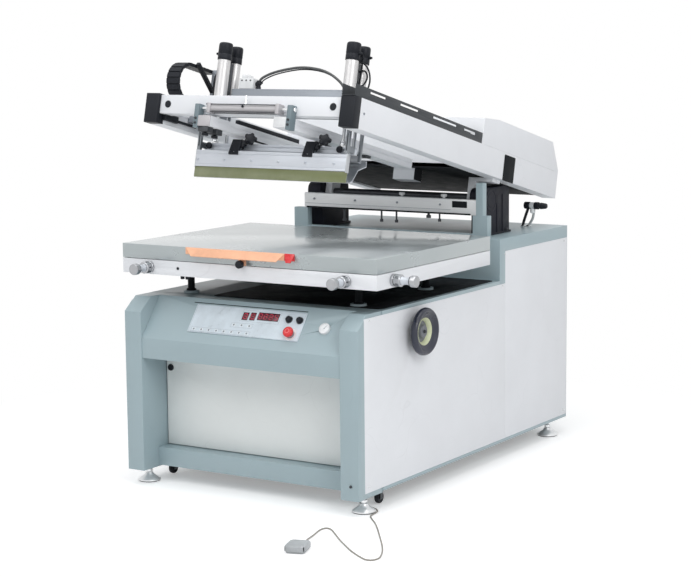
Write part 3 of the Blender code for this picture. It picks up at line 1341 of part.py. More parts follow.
def carriage_beam():
    plate_top = CARRIAGE_PLATE_LOW + CARRIAGE_PLATE
    beam = box("carriage_beam", (-CARRIAGE_HALF, CARRIAGE_FRONT, CARRIAGE_PLATE_LOW),
               (CARRIAGE_HALF, CARRIAGE_REAR, plate_top))
    bm = bmesh.new()
    half_depth = BRIDGE_BEAM_DEPTH / 2
    add_box(bm, (-BRIDGE_BEAM_HALF, BRIDGE_BEAM_MIDDLE - half_depth, CARRIAGE_PLATE_LOW + SHEET),
            (BRIDGE_BEAM_HALF, BRIDGE_BEAM_MIDDLE + half_depth, BRIDGE_BEAM_TOP))
    for side in (1, -1):
        add_box(bm, *across(side, (RUNNER_IN, CARRIAGE_FRONT, RUNNER_LOW),
                            (CARRIAGE_HALF, CARRIAGE_REAR, CARRIAGE_PLATE_LOW + SHEET)))
    post_top = chain_middle() + CHAIN_LOOP_RADIUS + CHAIN_THICKNESS / 2
    add_box(bm, (-CHAIN_POST_OUT, CHAIN_POST_FRONT, CARRIAGE_PLATE_LOW + SHEET),
            (-CHAIN_POST_IN, CHAIN_POST_REAR, post_top))
    fuse(beam, mesh_piece("carriage_beam_upper", bm))
    beam.modifiers[-1].use_self = True
    cuts = bmesh.new()
    for side in (1, -1):
        add_box(cuts, *across(side, (ARM_IN - TRACK_WIDTH - GAP, CARRIAGE_FRONT - OVERRUN, TRACK_LOW - GAP),
                              (CARRIAGE_HALF + OVERRUN, CARRIAGE_REAR + OVERRUN,
                               TRACK_LOW + TRACK_HEIGHT + GAP)))
        for setback in (SQUEEGEE_ROD_SETBACK, FLOOD_ROD_SETBACK):
            place = (side * CYLINDER_OFFSET, setback)
            add_rod(cuts, (*place, CARRIAGE_PLATE_LOW - OVERRUN), (*place, plate_top + OVERRUN),
                    LIFT_ROD_RADIUS + BORE_CLEARANCE)
    carve(beam, mesh_piece("carriage_beam_cuts", cuts))
    finish(beam, head, "grey_steel")


def lift_cylinder(name, side, setback, radius):
    """Upright air cylinder with a wider cap; its bore is open below for the rod."""
    cap_radius = radius + CAP_OVERHANG
    seat = CARRIAGE_PLATE_LOW + CARRIAGE_PLATE + GAP
    cap = CYLINDER_TOP - CAP_HEIGHT
    round_off = cap_radius / 8
    bore_top = LIFT_ROD_TOP + GAP - seat
    bore = LIFT_ROD_RADIUS + BORE_CLEARANCE
    top = CYLINDER_TOP - seat
    profile = [(0, top), (cap_radius - round_off, top), (cap_radius, top - round_off), (cap_radius, cap - seat),
               (radius, cap - seat), (radius, 0), (bore, 0), (bore, bore_top), (0, bore_top)]
    cylinder = turned(name, profile, ROD_SIDES)
    cylinder.location = (side * CYLINDER_OFFSET, setback, seat)
    finish(cylinder, head, "aluminium")


def lift_rods(setback, bottom):
    bm = bmesh.new()
    for side in (1, -1):
        place = (side * CYLINDER_OFFSET, setback)
        add_rod(bm, (*place, bottom), (*place, LIFT_ROD_TOP), LIFT_ROD_RADIUS)
    return bm


def squeegee_bar():
    """Two rods, the yoke between them, two angled holders and the blade's grooved profile."""
    yoke_near = SQUEEGEE_ROD_SETBACK - YOKE_SIDE / 2
    yoke_far = SQUEEGEE_ROD_SETBACK + YOKE_SIDE / 2
    yoke_top = YOKE_LOW + YOKE_SIDE
    bar = box("squeegee_bar", (-YOKE_HALF, yoke_near, YOKE_LOW), (YOKE_HALF, yoke_far, yoke_top))
    rods = mesh_piece("squeegee_bar_rods", lift_rods(SQUEEGEE_ROD_SETBACK, YOKE_LOW + YOKE_SIDE / 4))
    back = SQUEEGEE_FACE + SQUEEGEE_THICKNESS
    profile = box("squeegee_bar_profile", (SQUEEGEE_LEFT, SQUEEGEE_FACE, SQUEEGEE_LOW),
                  (SQUEEGEE_RIGHT, back, SQUEEGEE_HIGH))
    fuse(bar, rods, profile)
    for index, place in enumerate(HOLDER_PLACES):
        outline = [(yoke_far - GAP, yoke_top - GAP), (yoke_near + GAP, yoke_top + HOLDER_THICKNESS),
                   (yoke_near - HOLDER_THICKNESS, yoke_top), (SQUEEGEE_FACE - HOLDER_THICKNESS / 2, SQUEEGEE_HIGH),
                   (SQUEEGEE_FACE - HOLDER_THICKNESS / 2, SQUEEGEE_HIGH - HOLDER_THICKNESS),
                   (back - GAP, SQUEEGEE_HIGH - HOLDER_THICKNESS), (yoke_near + HOLDER_THICKNESS, YOKE_LOW + GAP)]
        fuse(bar, prism(f"squeegee_bar_holder_{index}", outline, "X", place - HOLDER_WIDTH / 2,
                        place + HOLDER_WIDTH / 2))
    guides = bmesh.new()
    for start in (SQUEEGEE_LEFT, SQUEEGEE_RIGHT - GUIDE_WIDTH):
        add_box(guides, (start + GAP, SQUEEGEE_FACE + GAP, SQUEEGEE_HIGH - GUIDE_WIDTH),
                (start + GUIDE_WIDTH - GAP, SQUEEGEE_FACE + GUIDE_DEPTH, GUIDE_HIGH))
    fuse(bar, mesh_piece("squeegee_bar_guides", guides))
    middle = SQUEEGEE_FACE + SQUEEGEE_THICKNESS / 2
    slot = BLADE_THICKNESS / 2 + GAP
    carve(bar, box("squeegee_bar_groove", (SQUEEGEE_LEFT - OVERRUN, middle - slot, SQUEEGEE_LOW - OVERRUN),
                   (SQUEEGEE_RIGHT + OVERRUN, middle + slot, SQUEEGEE_LOW + BLADE_SEAT + GAP)))
    finish(bar, head, "aluminium")


def squeegee_blade():
    middle = SQUEEGEE_FACE + SQUEEGEE_THICKNESS / 2
    half = BLADE_THICKNESS / 2
    top = SQUEEGEE_LOW + BLADE_SEAT
    outline = [(middle - half, top), (middle - half, BLADE_TIP + BLADE_BEVEL), (middle, BLADE_TIP),
               (middle + half, BLADE_TIP + BLADE_BEVEL), (middle + half, top)]
    finish(prism("squeegee_blade", outline, "X", SQUEEGEE_LEFT, SQUEEGEE_RIGHT), head, "blade_rubber")


def flood_bar():
    """Two rods, their yoke and the bent scoop that spreads the ink."""
    half = YOKE_SIDE / 2
    top = FLOOD_YOKE_LOW + YOKE_SIDE
    near, far = FLOOD_ROD_SETBACK - half, FLOOD_ROD_SETBACK + half
    bar = box("flood_bar", (-YOKE_HALF, near, FLOOD_YOKE_LOW), (YOKE_HALF, far, top))
    rods = mesh_piece("flood_bar_rods", lift_rods(FLOOD_ROD_SETBACK, FLOOD_YOKE_LOW + half / 2))
    outline = [(FLOOD_ROD_SETBACK + run, height) for run, height in FLOOD_SCOOP]
    scoop = folded_sheet("flood_bar_scoop", outline, "X", -FLOOD_HALF, FLOOD_HALF, FLOOD_SHEET, (0, 1, 0))
    fuse(bar, rods, scoop)
    finish(bar, head, "aluminium")


def chain_middle():
    return ARM_TOP + FLOOD_SHEET / 3 + CHAIN_THICKNESS / 2 + CHAIN_LOOP_RADIUS


def energy_chain():
    """Flat loop of cable chain standing on the left arm, its upper run held by the carriage's post."""
    middle = chain_middle()
    outer = CHAIN_LOOP_RADIUS + CHAIN_THICKNESS / 2
    outline = [(CHAIN_LOWER_END, middle - outer)]
    for step in range(CHAIN_STEPS + 1):
        turn = math.radians(-90 - 180 * step / CHAIN_STEPS)
        outline.append((CHAIN_LOOP_CENTRE + outer * math.cos(turn), middle + outer * math.sin(turn)))
    outline.append((CHAIN_UPPER_END, middle + outer))
    chain = folded_sheet("energy_chain", outline, "X", -CHAIN_OUT, -CHAIN_POST_OUT - GAP, CHAIN_THICKNESS,
                         (0, 0, -1))
    finish(chain, head, "black_plastic")


def air_hose():
    middle = (HOSE_LEFT + HOSE_RIGHT) / 2
    half = (HOSE_RIGHT - HOSE_LEFT) / 2
    points = []
    for step in range(HOSE_STEPS + 1):
        turn = math.pi * step / HOSE_STEPS
        share = -math.cos(turn)
        lift = HOSE_RISE * (1 - abs(share) ** HOSE_SHAPE_POWER)
        points.append((middle + half * share, BRIDGE_BEAM_MIDDLE, BRIDGE_BEAM_TOP + HOSE_RADIUS * 2 + lift))
    foot = BRIDGE_BEAM_TOP + GAP
    points = [(HOSE_LEFT, BRIDGE_BEAM_MIDDLE, foot), *points, (HOSE_RIGHT, BRIDGE_BEAM_MIDDLE, foot)]
    finish_curve(tube("air_hose", points, HOSE_RADIUS), head, "black_plastic")


def finish_curve(piece, parent, colour):
    piece.parent = parent
    piece.data.materials.append(paint(colour))


def carriage_group():
    carriage_beam()
    for setback, kind in ((SQUEEGEE_ROD_SETBACK, "squeegee"), (FLOOD_ROD_SETBACK, "flood")):
        for side, prefix in ((-1, "left"), (1, "right")):
            lift_cylinder(f"{prefix}_{kind}_cylinder", side, setback, CYLINDER_RADII[kind])
    squeegee_bar()
    squeegee_blade()
    flood_bar()
    energy_chain()
    air_hose()


# Pedal

def pedal_group():
    """Base plate with rear pin ears and a hinged hollow cover, in the pedal's own turned frame."""
    half_length, half_width = PEDAL_LENGTH / 2, PEDAL_WIDTH / 2
    base_top = PEDAL_BASE_HEIGHT
    base = box("pedal_base", (-half_width, -half_length, 0), (half_width, half_length, base_top))
    pin_y = half_length - PEDAL_PIN_INSET
    ear = half_width - PEDAL_WALL - GAP * 2
    pin_z = base_top + PEDAL_PIN_RADIUS * 3
    bm = bmesh.new()
    for side in (1, -1):
        add_box(bm, *across(side, (ear - PEDAL_WALL, pin_y - PEDAL_PIN_RADIUS * 2, base_top - SHEET),
                            (ear, pin_y + PEDAL_PIN_RADIUS * 2, pin_z + PEDAL_PIN_RADIUS * 2)))
    fuse(base, mesh_piece("pedal_base_ears", bm))
    rear_face = half_length
    inlet_z = PEDAL_BASE_HEIGHT / 2
    fuse(base, rod("pedal_base_inlet", (0, rear_face - PEDAL_INLET, inlet_z),
                   (0, rear_face + PEDAL_INLET, inlet_z), PEDAL_INLET_RADIUS))
    lift = base_top + PEDAL_COVER_HEIGHT
    slope = math.radians(PEDAL_COVER_TILT)
    rear = half_length - SHEET
    low = base_top + PEDAL_PIN_RADIUS / 2
    outline = [(rear, low), (rear, lift - SHEET), (rear - SHEET, lift), (PEDAL_TOE - half_length, lift),
               (-half_length, lift - PEDAL_TOE / 2),
               (-half_length, low + math.tan(slope) * (pin_y + half_length)), (pin_y, low)]
    cover = prism("pedal_cover", outline, "X", -half_width, half_width)
    open_shell(cover, [(0, 0, -1), (0, -math.sin(slope), -math.cos(slope))], PEDAL_WALL)
    pins, bores = bmesh.new(), bmesh.new()
    for side in (1, -1):
        ends = sorted((side * (ear - PEDAL_WALL), side * (half_width - PEDAL_WALL / 2)))
        add_rod(pins, (ends[0], pin_y, pin_z), (ends[1], pin_y, pin_z), PEDAL_PIN_RADIUS)
        add_rod(bores, (ends[0] - OVERRUN, pin_y, pin_z), (ends[1] + OVERRUN, pin_y, pin_z),
                PEDAL_PIN_RADIUS + BORE_CLEARANCE)
    carve(base, mesh_piece("pedal_base_bores", bores))
    fuse(cover, mesh_piece("pedal_cover_pins", pins))
    finish(base, pedal, "pedal_plastic")
    finish(cover, pedal, "pedal_plastic", origin=(0, pin_y, pin_z))


def pedal_cord():
    finish_curve(tube("pedal_cord", smooth_route(CORD_ROUTE, CORD_POINTS), CORD_RADIUS), cabinet, "pedal_plastic")


BUTTON_STROKE = 0.003
STOP_STROKE = 0.004

clear_scene()
PART = new_collection("screen_press")
CUTTERS = new_collection("cutters")
cabinet = new_empty("cabinet_datum", (0, -BED_CENTRE, -BED_HEIGHT))
head = new_empty("head_datum", (0, PIVOT_SETBACK, PIVOT_HEIGHT), cabinet,
                 (-math.radians(HEAD_OPEN_ANGLE), 0, 0))
pedal = new_empty("pedal_datum", (PEDAL_ACROSS, PEDAL_SETBACK, 0), cabinet, (0, 0, math.radians(PEDAL_YAW)))
cabinet_group()
bed_group()
support_group()
head_group()
carriage_group()
pedal_group()
pedal_cord()
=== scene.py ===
import json
import math

import bpy
from bpy.props import FloatProperty, FloatVectorProperty, IntProperty, PointerProperty
from mathutils import Matrix, Vector

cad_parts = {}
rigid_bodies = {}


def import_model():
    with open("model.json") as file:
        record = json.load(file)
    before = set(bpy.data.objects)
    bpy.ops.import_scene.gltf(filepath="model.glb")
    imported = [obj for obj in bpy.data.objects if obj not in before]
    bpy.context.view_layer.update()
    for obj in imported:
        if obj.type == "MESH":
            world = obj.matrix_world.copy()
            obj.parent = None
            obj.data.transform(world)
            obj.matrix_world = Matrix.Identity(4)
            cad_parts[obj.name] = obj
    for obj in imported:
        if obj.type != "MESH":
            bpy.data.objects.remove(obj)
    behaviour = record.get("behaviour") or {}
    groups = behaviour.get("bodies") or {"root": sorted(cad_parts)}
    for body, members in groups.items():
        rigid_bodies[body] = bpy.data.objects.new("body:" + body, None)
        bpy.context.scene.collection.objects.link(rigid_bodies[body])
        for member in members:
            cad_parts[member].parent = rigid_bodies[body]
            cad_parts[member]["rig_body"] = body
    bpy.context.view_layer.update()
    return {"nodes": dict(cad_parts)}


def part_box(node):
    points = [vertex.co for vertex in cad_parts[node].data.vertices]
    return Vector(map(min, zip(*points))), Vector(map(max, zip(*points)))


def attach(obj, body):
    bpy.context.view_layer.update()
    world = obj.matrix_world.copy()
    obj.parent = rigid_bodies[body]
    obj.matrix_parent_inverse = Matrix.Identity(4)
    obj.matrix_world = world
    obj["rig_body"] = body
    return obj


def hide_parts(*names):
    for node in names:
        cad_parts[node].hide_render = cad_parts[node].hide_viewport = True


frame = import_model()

bl_info = {
    "name": "Screen Press Dresser",
    "version": (1, 0, 0),
    "blender": (4, 5, 0),
    "location": "View3D > Sidebar > Press",
    "description": "Dresses a packed flatbed screen press with detailed pieces, finishes and lights",
    "category": "Object",
}

# The photograph's camera, fitted to the machine's own edges
CAMERA_PLACE = (3.6632, -5.5564, 0.7423)
CAMERA_AZIMUTH = math.radians(32.2569)
CAMERA_DROP = math.radians(7.8664)
CAMERA_ROLL = math.radians(-0.5399)
CAMERA_LENS = 98.23
SENSOR_WIDTH = 36.0

# Where the machine's own frames stand in the row's frame
BED_CENTRE = 0.443
BED_HEIGHT = 0.852
FLOOR = -BED_HEIGHT
DECK_HEIGHT = 0.668
BED_DATUM = Vector((0.0, -BED_CENTRE, -BED_HEIGHT))
PIVOT = Vector((0.0, 0.657, 0.108))
HEAD_OPEN = math.radians(13.3)
HEAD_FRAME = Matrix.Translation(PIVOT) @ Matrix.Rotation(-HEAD_OPEN, 4, "X")
PEDAL_FRAME = Matrix.Translation((0.518, -0.863, FLOOR)) @ Matrix.Rotation(math.radians(18), 4, "Z")

SHEET = 0.002
CREASE = math.radians(35)
ROUND_CREASE = math.radians(50)
FLAT = math.radians(1)
MERGE = 0.00001


# Settings that a user would change

class PressPaints(bpy.types.PropertyGroup):
    """Colours of the machine's finishes, as linear values."""
    grey: FloatVectorProperty(
        name="Cabinet grey", description="Enamel of the posts, console, decks and frame",
        subtype="COLOR", size=3, min=0, max=1, default=(0.355, 0.452, 0.486))
    white: FloatVectorProperty(
        name="Panel white", description="Enamel of the side panels, arms, beam and hood",
        subtype="COLOR", size=3, min=0, max=1, default=(0.800, 0.815, 0.845))
    cream: FloatVectorProperty(
        name="Door cream", description="Enamel of the kick door",
        subtype="COLOR", size=3, min=0, max=1, default=(0.800, 0.825, 0.815))
    bed: FloatVectorProperty(
        name="Bed", description="Ground and lacquered plate of the printing bed",
        subtype="COLOR", size=3, min=0, max=1, default=(0.430, 0.475, 0.485))
    aluminium: FloatVectorProperty(
        name="Aluminium", description="Profiles, cylinder barrels and the rear rail",
        subtype="COLOR", size=3, min=0, max=1, default=(0.720, 0.730, 0.740))
    black: FloatVectorProperty(
        name="Black plastic", description="Caps, tray, chain and grips",
        subtype="COLOR", size=3, min=0, max=1, default=(0.016, 0.018, 0.023))
    blade: FloatVectorProperty(
        name="Blade", description="Olive polyurethane of the squeegee blade",
        subtype="COLOR", size=3, min=0, max=1, default=(0.150, 0.175, 0.048))
    strip: FloatVectorProperty(
        name="Lay strip", description="Peach plastic of the front lay strip",
        subtype="COLOR", size=3, min=0, max=1, default=(0.900, 0.480, 0.300))
    stop: FloatVectorProperty(
        name="Stop red", description="Emergency stop and the strip's end",
        subtype="COLOR", size=3, min=0, max=1, default=(0.680, 0.030, 0.035))


class PressSizes(bpy.types.PropertyGroup):
    """Sizes of the details that the frame leaves open."""
    fold: FloatProperty(
        name="Fold radius", description="Outer radius of the cabinet's folded sheet",
        unit="LENGTH", min=0.0005, max=0.008, default=0.0035)
    edge: FloatProperty(
        name="Edge radius", description="Broken edge on machined and cut parts",
        unit="LENGTH", min=0.0001, max=0.003, default=0.0007)
    screw: FloatProperty(
        name="Panel screw", description="Radius of a panel screw's head",
        unit="LENGTH", min=0.001, max=0.01, default=0.0042)
    chain_pitch: FloatProperty(
        name="Chain pitch", description="Length of one link of the energy chain",
        unit="LENGTH", min=0.008, max=0.05, default=0.020)
    hose: FloatProperty(
        name="Air hose", description="Radius of the small air hoses",
        unit="LENGTH", min=0.001, max=0.008, default=0.0030)
    facets: IntProperty(
        name="Round facets", description="Sides of a turned part", min=12, max=96, default=40)


class PressStage(bpy.types.PropertyGroup):
    """Light and floor of the studio."""
    key: FloatProperty(
        name="Key light", description="Power of the large soft light at the right front",
        unit="POWER", min=0, max=2000, default=80)
    fill: FloatProperty(
        name="Fill light", description="Power of the soft light at the left front",
        unit="POWER", min=0, max=2000, default=66)
    top: FloatProperty(
        name="Top light", description="Power of the soft light above",
        unit="POWER", min=0, max=2000, default=102)
    ambient: FloatProperty(
        name="Ambient", description="Strength of the even light from all round",
        min=0, max=2, default=0.51)
    floor: FloatVectorProperty(
        name="Floor", description="Colour of the pale floor",
        subtype="COLOR", size=3, min=0, max=1, default=(0.90, 0.90, 0.90))


def paints():
    return bpy.context.scene.press_paints


def sizes():
    return bpy.context.scene.press_sizes


# Shader groups shared by the finishes

def shader_group(name, inputs, outputs):
    group = bpy.data.node_groups.new(name, "ShaderNodeTree")
    for label, kind, default in inputs:
        socket = group.interface.new_socket(name=label, in_out="INPUT", socket_type=kind)
        if default is not None:
            socket.default_value = default
    for label, kind in outputs:
        group.interface.new_socket(name=label, in_out="OUTPUT", socket_type=kind)
    return group, group.nodes.new("NodeGroupInput"), group.nodes.new("NodeGroupOutput")


def noise(tree, vector, scale, detail=2.0, roughness=0.5):
    node = tree.nodes.new("ShaderNodeTexNoise")
    node.inputs["Detail"].default_value = detail
    node.inputs["Roughness"].default_value = roughness
    tree.links.new(vector, node.inputs["Vector"])
    if isinstance(scale, (int, float)):
        node.inputs["Scale"].default_value = scale
    else:
        tree.links.new(scale, node.inputs["Scale"])
    return node.outputs["Fac"]


def spread(tree, value, low, high, to_low=0.0, to_high=1.0):
    node = tree.nodes.new("ShaderNodeMapRange")
    tree.links.new(value, node.inputs["Value"])
    for label, number in (("From Min", low), ("From Max", high), ("To Min", to_low), ("To Max", to_high)):
        if isinstance(number, (int, float)):
            node.inputs[label].default_value = number
        else:
            tree.links.new(number, node.inputs[label])
    return node.outputs["Result"]


def computed(tree, operation, first, second):
    """A Math node on two values, each a socket or a number."""
    node = tree.nodes.new("ShaderNodeMath")
    node.operation = operation
    for socket, value in zip(node.inputs, (first, second)):
        if isinstance(value, (int, float)):
            socket.default_value = value
        else:
            tree.links.new(value, socket)
    return node.outputs["Value"]


def build_skin_group():
    """Orange peel of sprayed enamel or moulded plastic, and slow clouds of handling on it."""
    group, start, end = shader_group(
        "press skin",
        [("Vector", "NodeSocketVector", None), ("Peel scale", "NodeSocketFloat", 500.0),
         ("Cloud scale", "NodeSocketFloat", 5.0)],
        [("Peel", "NodeSocketFloat"), ("Cloud", "NodeSocketFloat")])
    peel = noise(group, start.outputs["Vector"], start.outputs["Peel scale"], 1.0)
    cloud = noise(group, start.outputs["Vector"], start.outputs["Cloud scale"], 5.0, 0.62)
    group.links.new(peel, end.inputs["Peel"])
    group.links.new(spread(group, cloud, 0.32, 0.68), end.inputs["Cloud"])
    return group


def build_grain_group():
    """Fine parallel lines of drawn, ground or brushed metal; Stretch says which way they run."""
    group, start, end = shader_group(
        "press grain",
        [("Vector", "NodeSocketVector", None), ("Stretch", "NodeSocketVector", (1.0, 60.0, 60.0)),
         ("Scale", "NodeSocketFloat", 20.0)],
        [("Lines", "NodeSocketFloat"), ("Bands", "NodeSocketFloat")])
    pull = group.nodes.new("ShaderNodeVectorMath")
    pull.operation = "MULTIPLY"
    group.links.new(start.outputs["Vector"], pull.inputs[0])
    group.links.new(start.outputs["Stretch"], pull.inputs[1])
    lines = noise(group, pull.outputs["Vector"], start.outputs["Scale"], 3.0, 0.6)
    slow = computed(group, "MULTIPLY", start.outputs["Scale"], 0.12)
    bands = noise(group, pull.outputs["Vector"], slow, 2.0)
    group.links.new(lines, end.inputs["Lines"])
    group.links.new(spread(group, bands, 0.35, 0.65), end.inputs["Bands"])
    return group


def build_scuff_group():
    """Sparse thin scratches and rubbed spots, as a mask."""
    group, start, end = shader_group(
        "press scuffs",
        [("Vector", "NodeSocketVector", None), ("Scale", "NodeSocketFloat", 9.0),
         ("Amount", "NodeSocketFloat", 0.5)],
        [("Mask", "NodeSocketFloat")])
    warp = group.nodes.new("ShaderNodeTexNoise")
    warp.inputs["Scale"].default_value = 3.0
    group.links.new(start.outputs["Vector"], warp.inputs["Vector"])
    shift = group.nodes.new("ShaderNodeVectorMath")
    shift.operation = "MULTIPLY_ADD"
    shift.inputs[1].default_value = (0.35, 0.35, 0.35)
    group.links.new(warp.outputs["Color"], shift.inputs[0])
    group.links.new(start.outputs["Vector"], shift.inputs[2])
    cells = group.nodes.new("ShaderNodeTexVoronoi")
    cells.feature = "DISTANCE_TO_EDGE"
    group.links.new(shift.outputs["Vector"], cells.inputs["Vector"])
    group.links.new(start.outputs["Scale"], cells.inputs["Scale"])
    thin = spread(group, cells.outputs["Distance"], 0.0, 0.012, 1.0, 0.0)
    patches = noise(group, start.outputs["Vector"], 6.0, 3.0)
    share = computed(group, "MULTIPLY", thin, spread(group, patches, 0.50, 0.62))
    group.links.new(computed(group, "MULTIPLY", share, start.outputs["Amount"]), end.inputs["Mask"])
    return group


def group_named(name):
    builders = {"press skin": build_skin_group, "press grain": build_grain_group,
                "press scuffs": build_scuff_group}
    return bpy.data.node_groups.get(name) or builders[name]()


# Finishes

def new_finish(name):
    material = bpy.data.materials.new(name)
    material.use_nodes = True
    tree = material.node_tree
    shader = tree.nodes["Principled BSDF"]
    place = tree.nodes.new("ShaderNodeTexCoord").outputs["Object"]
    return material, tree, shader, place


def use_group(tree, name, vector, **values):
    node = tree.nodes.new("ShaderNodeGroup")
    node.node_tree = group_named(name)
    tree.links.new(vector, node.inputs["Vector"])
    for label, value in values.items():
        node.inputs[label.replace("_", " ").capitalize()].default_value = value
    return node


def tinted(tree, mask, first, second, factor=1.0):
    """A colour that runs from first to second with the mask."""
    mix = tree.nodes.new("ShaderNodeMix")
    mix.data_type = "RGBA"
    tree.links.new(spread(tree, mask, 0.0, 1.0, 0.0, factor), mix.inputs["Factor"])
    for socket, colour in ((mix.inputs["A"], first), (mix.inputs["B"], second)):
        if hasattr(colour, "is_linked"):
            tree.links.new(colour, socket)
        else:
            socket.default_value = (*colour, 1.0)
    return mix.outputs["Result"]


def bumped(tree, shader, height, strength, distance):
    bump = tree.nodes.new("ShaderNodeBump")
    bump.inputs["Strength"].default_value = strength
    bump.inputs["Distance"].default_value = distance
    tree.links.new(height, bump.inputs["Height"])
    tree.links.new(bump.outputs["Normal"], shader.inputs["Normal"])


def coloured(tree, shader, colour):
    tree.links.new(colour, shader.inputs["Base Color"])


def glossed(tree, shader, mask, low, high):
    """Roughness that runs from low to high with the mask."""
    tree.links.new(spread(tree, mask, 0.0, 1.0, low, high), shader.inputs["Roughness"])


def shade_of(colour, share):
    return tuple(min(1.0, channel * share) for channel in colour)


def enamel(name, colour, roughness=0.38, peel=420.0, scuffed=0.25):
    """Sprayed enamel: orange peel, slow clouds in tone and gloss, and a few faint scuffs."""
    material, tree, shader, place = new_finish(name)
    skin = use_group(tree, "press skin", place, peel_scale=peel, cloud_scale=4.0)
    scuffs = use_group(tree, "press scuffs", place, scale=7.0, amount=scuffed)
    body = tinted(tree, skin.outputs["Cloud"], shade_of(colour, 0.975), shade_of(colour, 1.025))
    coloured(tree, shader, tinted(tree, scuffs.outputs["Mask"], body, shade_of(colour, 0.80)))
    glossed(tree, shader, skin.outputs["Cloud"], roughness - 0.05, roughness + 0.06)
    shader.inputs["Coat Weight"].default_value = 0.08
    shader.inputs["Coat Roughness"].default_value = 0.30
    bumped(tree, shader, skin.outputs["Peel"], 0.10, 0.0004)
    return material


def moulded(name, colour, roughness=0.45, grain=1400.0, depth=0.25, gloss=0.5):
    """Moulded plastic or rubber with a fine spark-eroded texture."""
    material, tree, shader, place = new_finish(name)
    shader.inputs["Specular IOR Level"].default_value = gloss
    skin = use_group(tree, "press skin", place, peel_scale=grain, cloud_scale=14.0)
    coloured(tree, shader, tinted(tree, skin.outputs["Cloud"], shade_of(colour, 0.90),
                                  shade_of(colour, 1.12)))
    glossed(tree, shader, skin.outputs["Cloud"], roughness - 0.06, roughness + 0.08)
    bumped(tree, shader, skin.outputs["Peel"], depth, 0.0003)
    return material


def drawn_metal(name, colour, roughness=0.30, stretch=(1.0, 60.0, 60.0), scale=22.0, depth=0.12,
                metallic=1.0):
    """Drawn, ground or brushed metal: fine lines in tone and gloss, with slower bands among them."""
    material, tree, shader, place = new_finish(name)
    grain = use_group(tree, "press grain", place, stretch=stretch, scale=scale)
    skin = use_group(tree, "press skin", place, peel_scale=900.0, cloud_scale=9.0)
    lines = tinted(tree, grain.outputs["Lines"], shade_of(colour, 0.86), shade_of(colour, 1.10))
    coloured(tree, shader, tinted(tree, skin.outputs["Cloud"], lines, shade_of(colour, 0.90), 0.35))
    glossed(tree, shader, grain.outputs["Bands"], roughness - 0.06, roughness + 0.08)
    shader.inputs["Metallic"].default_value = metallic
    bumped(tree, shader, grain.outputs["Lines"], depth, 0.0002)
    return material


def plated(name, colour, roughness=0.12):
    """Bright plating with faint clouding and finger marks."""
    material, tree, shader, place = new_finish(name)
    skin = use_group(tree, "press skin", place, peel_scale=260.0, cloud_scale=30.0)
    coloured(tree, shader, tinted(tree, skin.outputs["Cloud"], colour, shade_of(colour, 0.88)))
    glossed(tree, shader, skin.outputs["Cloud"], roughness, roughness + 0.12)
    shader.inputs["Metallic"].default_value = 1.0
    bumped(tree, shader, skin.outputs["Peel"], 0.03, 0.0002)
    return material


def casting(name, colour, roughness=0.55):
    """Painted sand casting: a coarse skin under the paint, with rubbed high spots."""
    material, tree, shader, place = new_finish(name)
    skin = use_group(tree, "press skin", place, peel_scale=170.0, cloud_scale=24.0)
    coloured(tree, shader, tinted(tree, skin.outputs["Cloud"], shade_of(colour, 0.8), shade_of(colour, 1.3)))
    glossed(tree, shader, skin.outputs["Cloud"], roughness - 0.10, roughness + 0.10)
    shader.inputs["Specular IOR Level"].default_value = 0.15
    bumped(tree, shader, skin.outputs["Peel"], 0.40, 0.0006)
    return material


def bed_lacquer(name, colour):
    """Ground bed plate under clear lacquer: faint grinding lines, wiped clouds and a glossy coat."""
    material, tree, shader, place = new_finish(name)
    grain = use_group(tree, "press grain", place, stretch=(1.0, 45.0, 45.0), scale=14.0)
    skin = use_group(tree, "press skin", place, peel_scale=300.0, cloud_scale=3.5)
    scuffs = use_group(tree, "press scuffs", place, scale=4.0, amount=0.12)
    body = tinted(tree, grain.outputs["Lines"], shade_of(colour, 0.97), shade_of(colour, 1.03))
    wiped = tinted(tree, skin.outputs["Cloud"], body, shade_of(colour, 0.95), 0.6)
    coloured(tree, shader, tinted(tree, scuffs.outputs["Mask"], wiped, shade_of(colour, 0.82), 0.4))
    glossed(tree, shader, skin.outputs["Cloud"], 0.25, 0.33)
    shader.inputs["Metallic"].default_value = 0.50
    shader.inputs["Coat Weight"].default_value = 0.60
    shader.inputs["Coat Roughness"].default_value = 0.12
    bumped(tree, shader, grain.outputs["Lines"], 0.015, 0.0001)
    return material


def cast_blade(name, colour):
    """Cast polyurethane: waxy, a little see-through along its edge, with flow streaks along it."""
    material, tree, shader, place = new_finish(name)
    grain = use_group(tree, "press grain", place, stretch=(1.0, 14.0, 14.0), scale=9.0)
    skin = use_group(tree, "press skin", place, peel_scale=500.0, cloud_scale=12.0)
    pale = (0.310, 0.335, 0.215)
    streaks = tinted(tree, grain.outputs["Bands"], colour, pale, 0.70)
    coloured(tree, shader, tinted(tree, skin.outputs["Cloud"], streaks, shade_of(colour, 0.75), 0.4))
    shader.inputs["Roughness"].default_value = 0.22
    shader.inputs["Subsurface Weight"].default_value = 0.15
    shader.inputs["Subsurface Radius"].default_value = (0.004, 0.004, 0.001)
    shader.inputs["Coat Weight"].default_value = 0.30
    bumped(tree, shader, skin.outputs["Peel"], 0.05, 0.0003)
    return material


def glowing(name, colour, strength):
    """A lit dark-red display behind its filter."""
    material, tree, shader, place = new_finish(name)
    cells = noise(tree, place, 160.0, 1.0)
    coloured(tree, shader, tinted(tree, spread(tree, cells, 0.42, 0.62), shade_of(colour, 0.25), colour))
    tree.links.new(tinted(tree, spread(tree, cells, 0.42, 0.62), shade_of(colour, 0.15), colour),
                   shader.inputs["Emission Color"])
    shader.inputs["Emission Strength"].default_value = strength
    shader.inputs["Roughness"].default_value = 0.12
    shader.inputs["Coat Weight"].default_value = 0.5
    return material


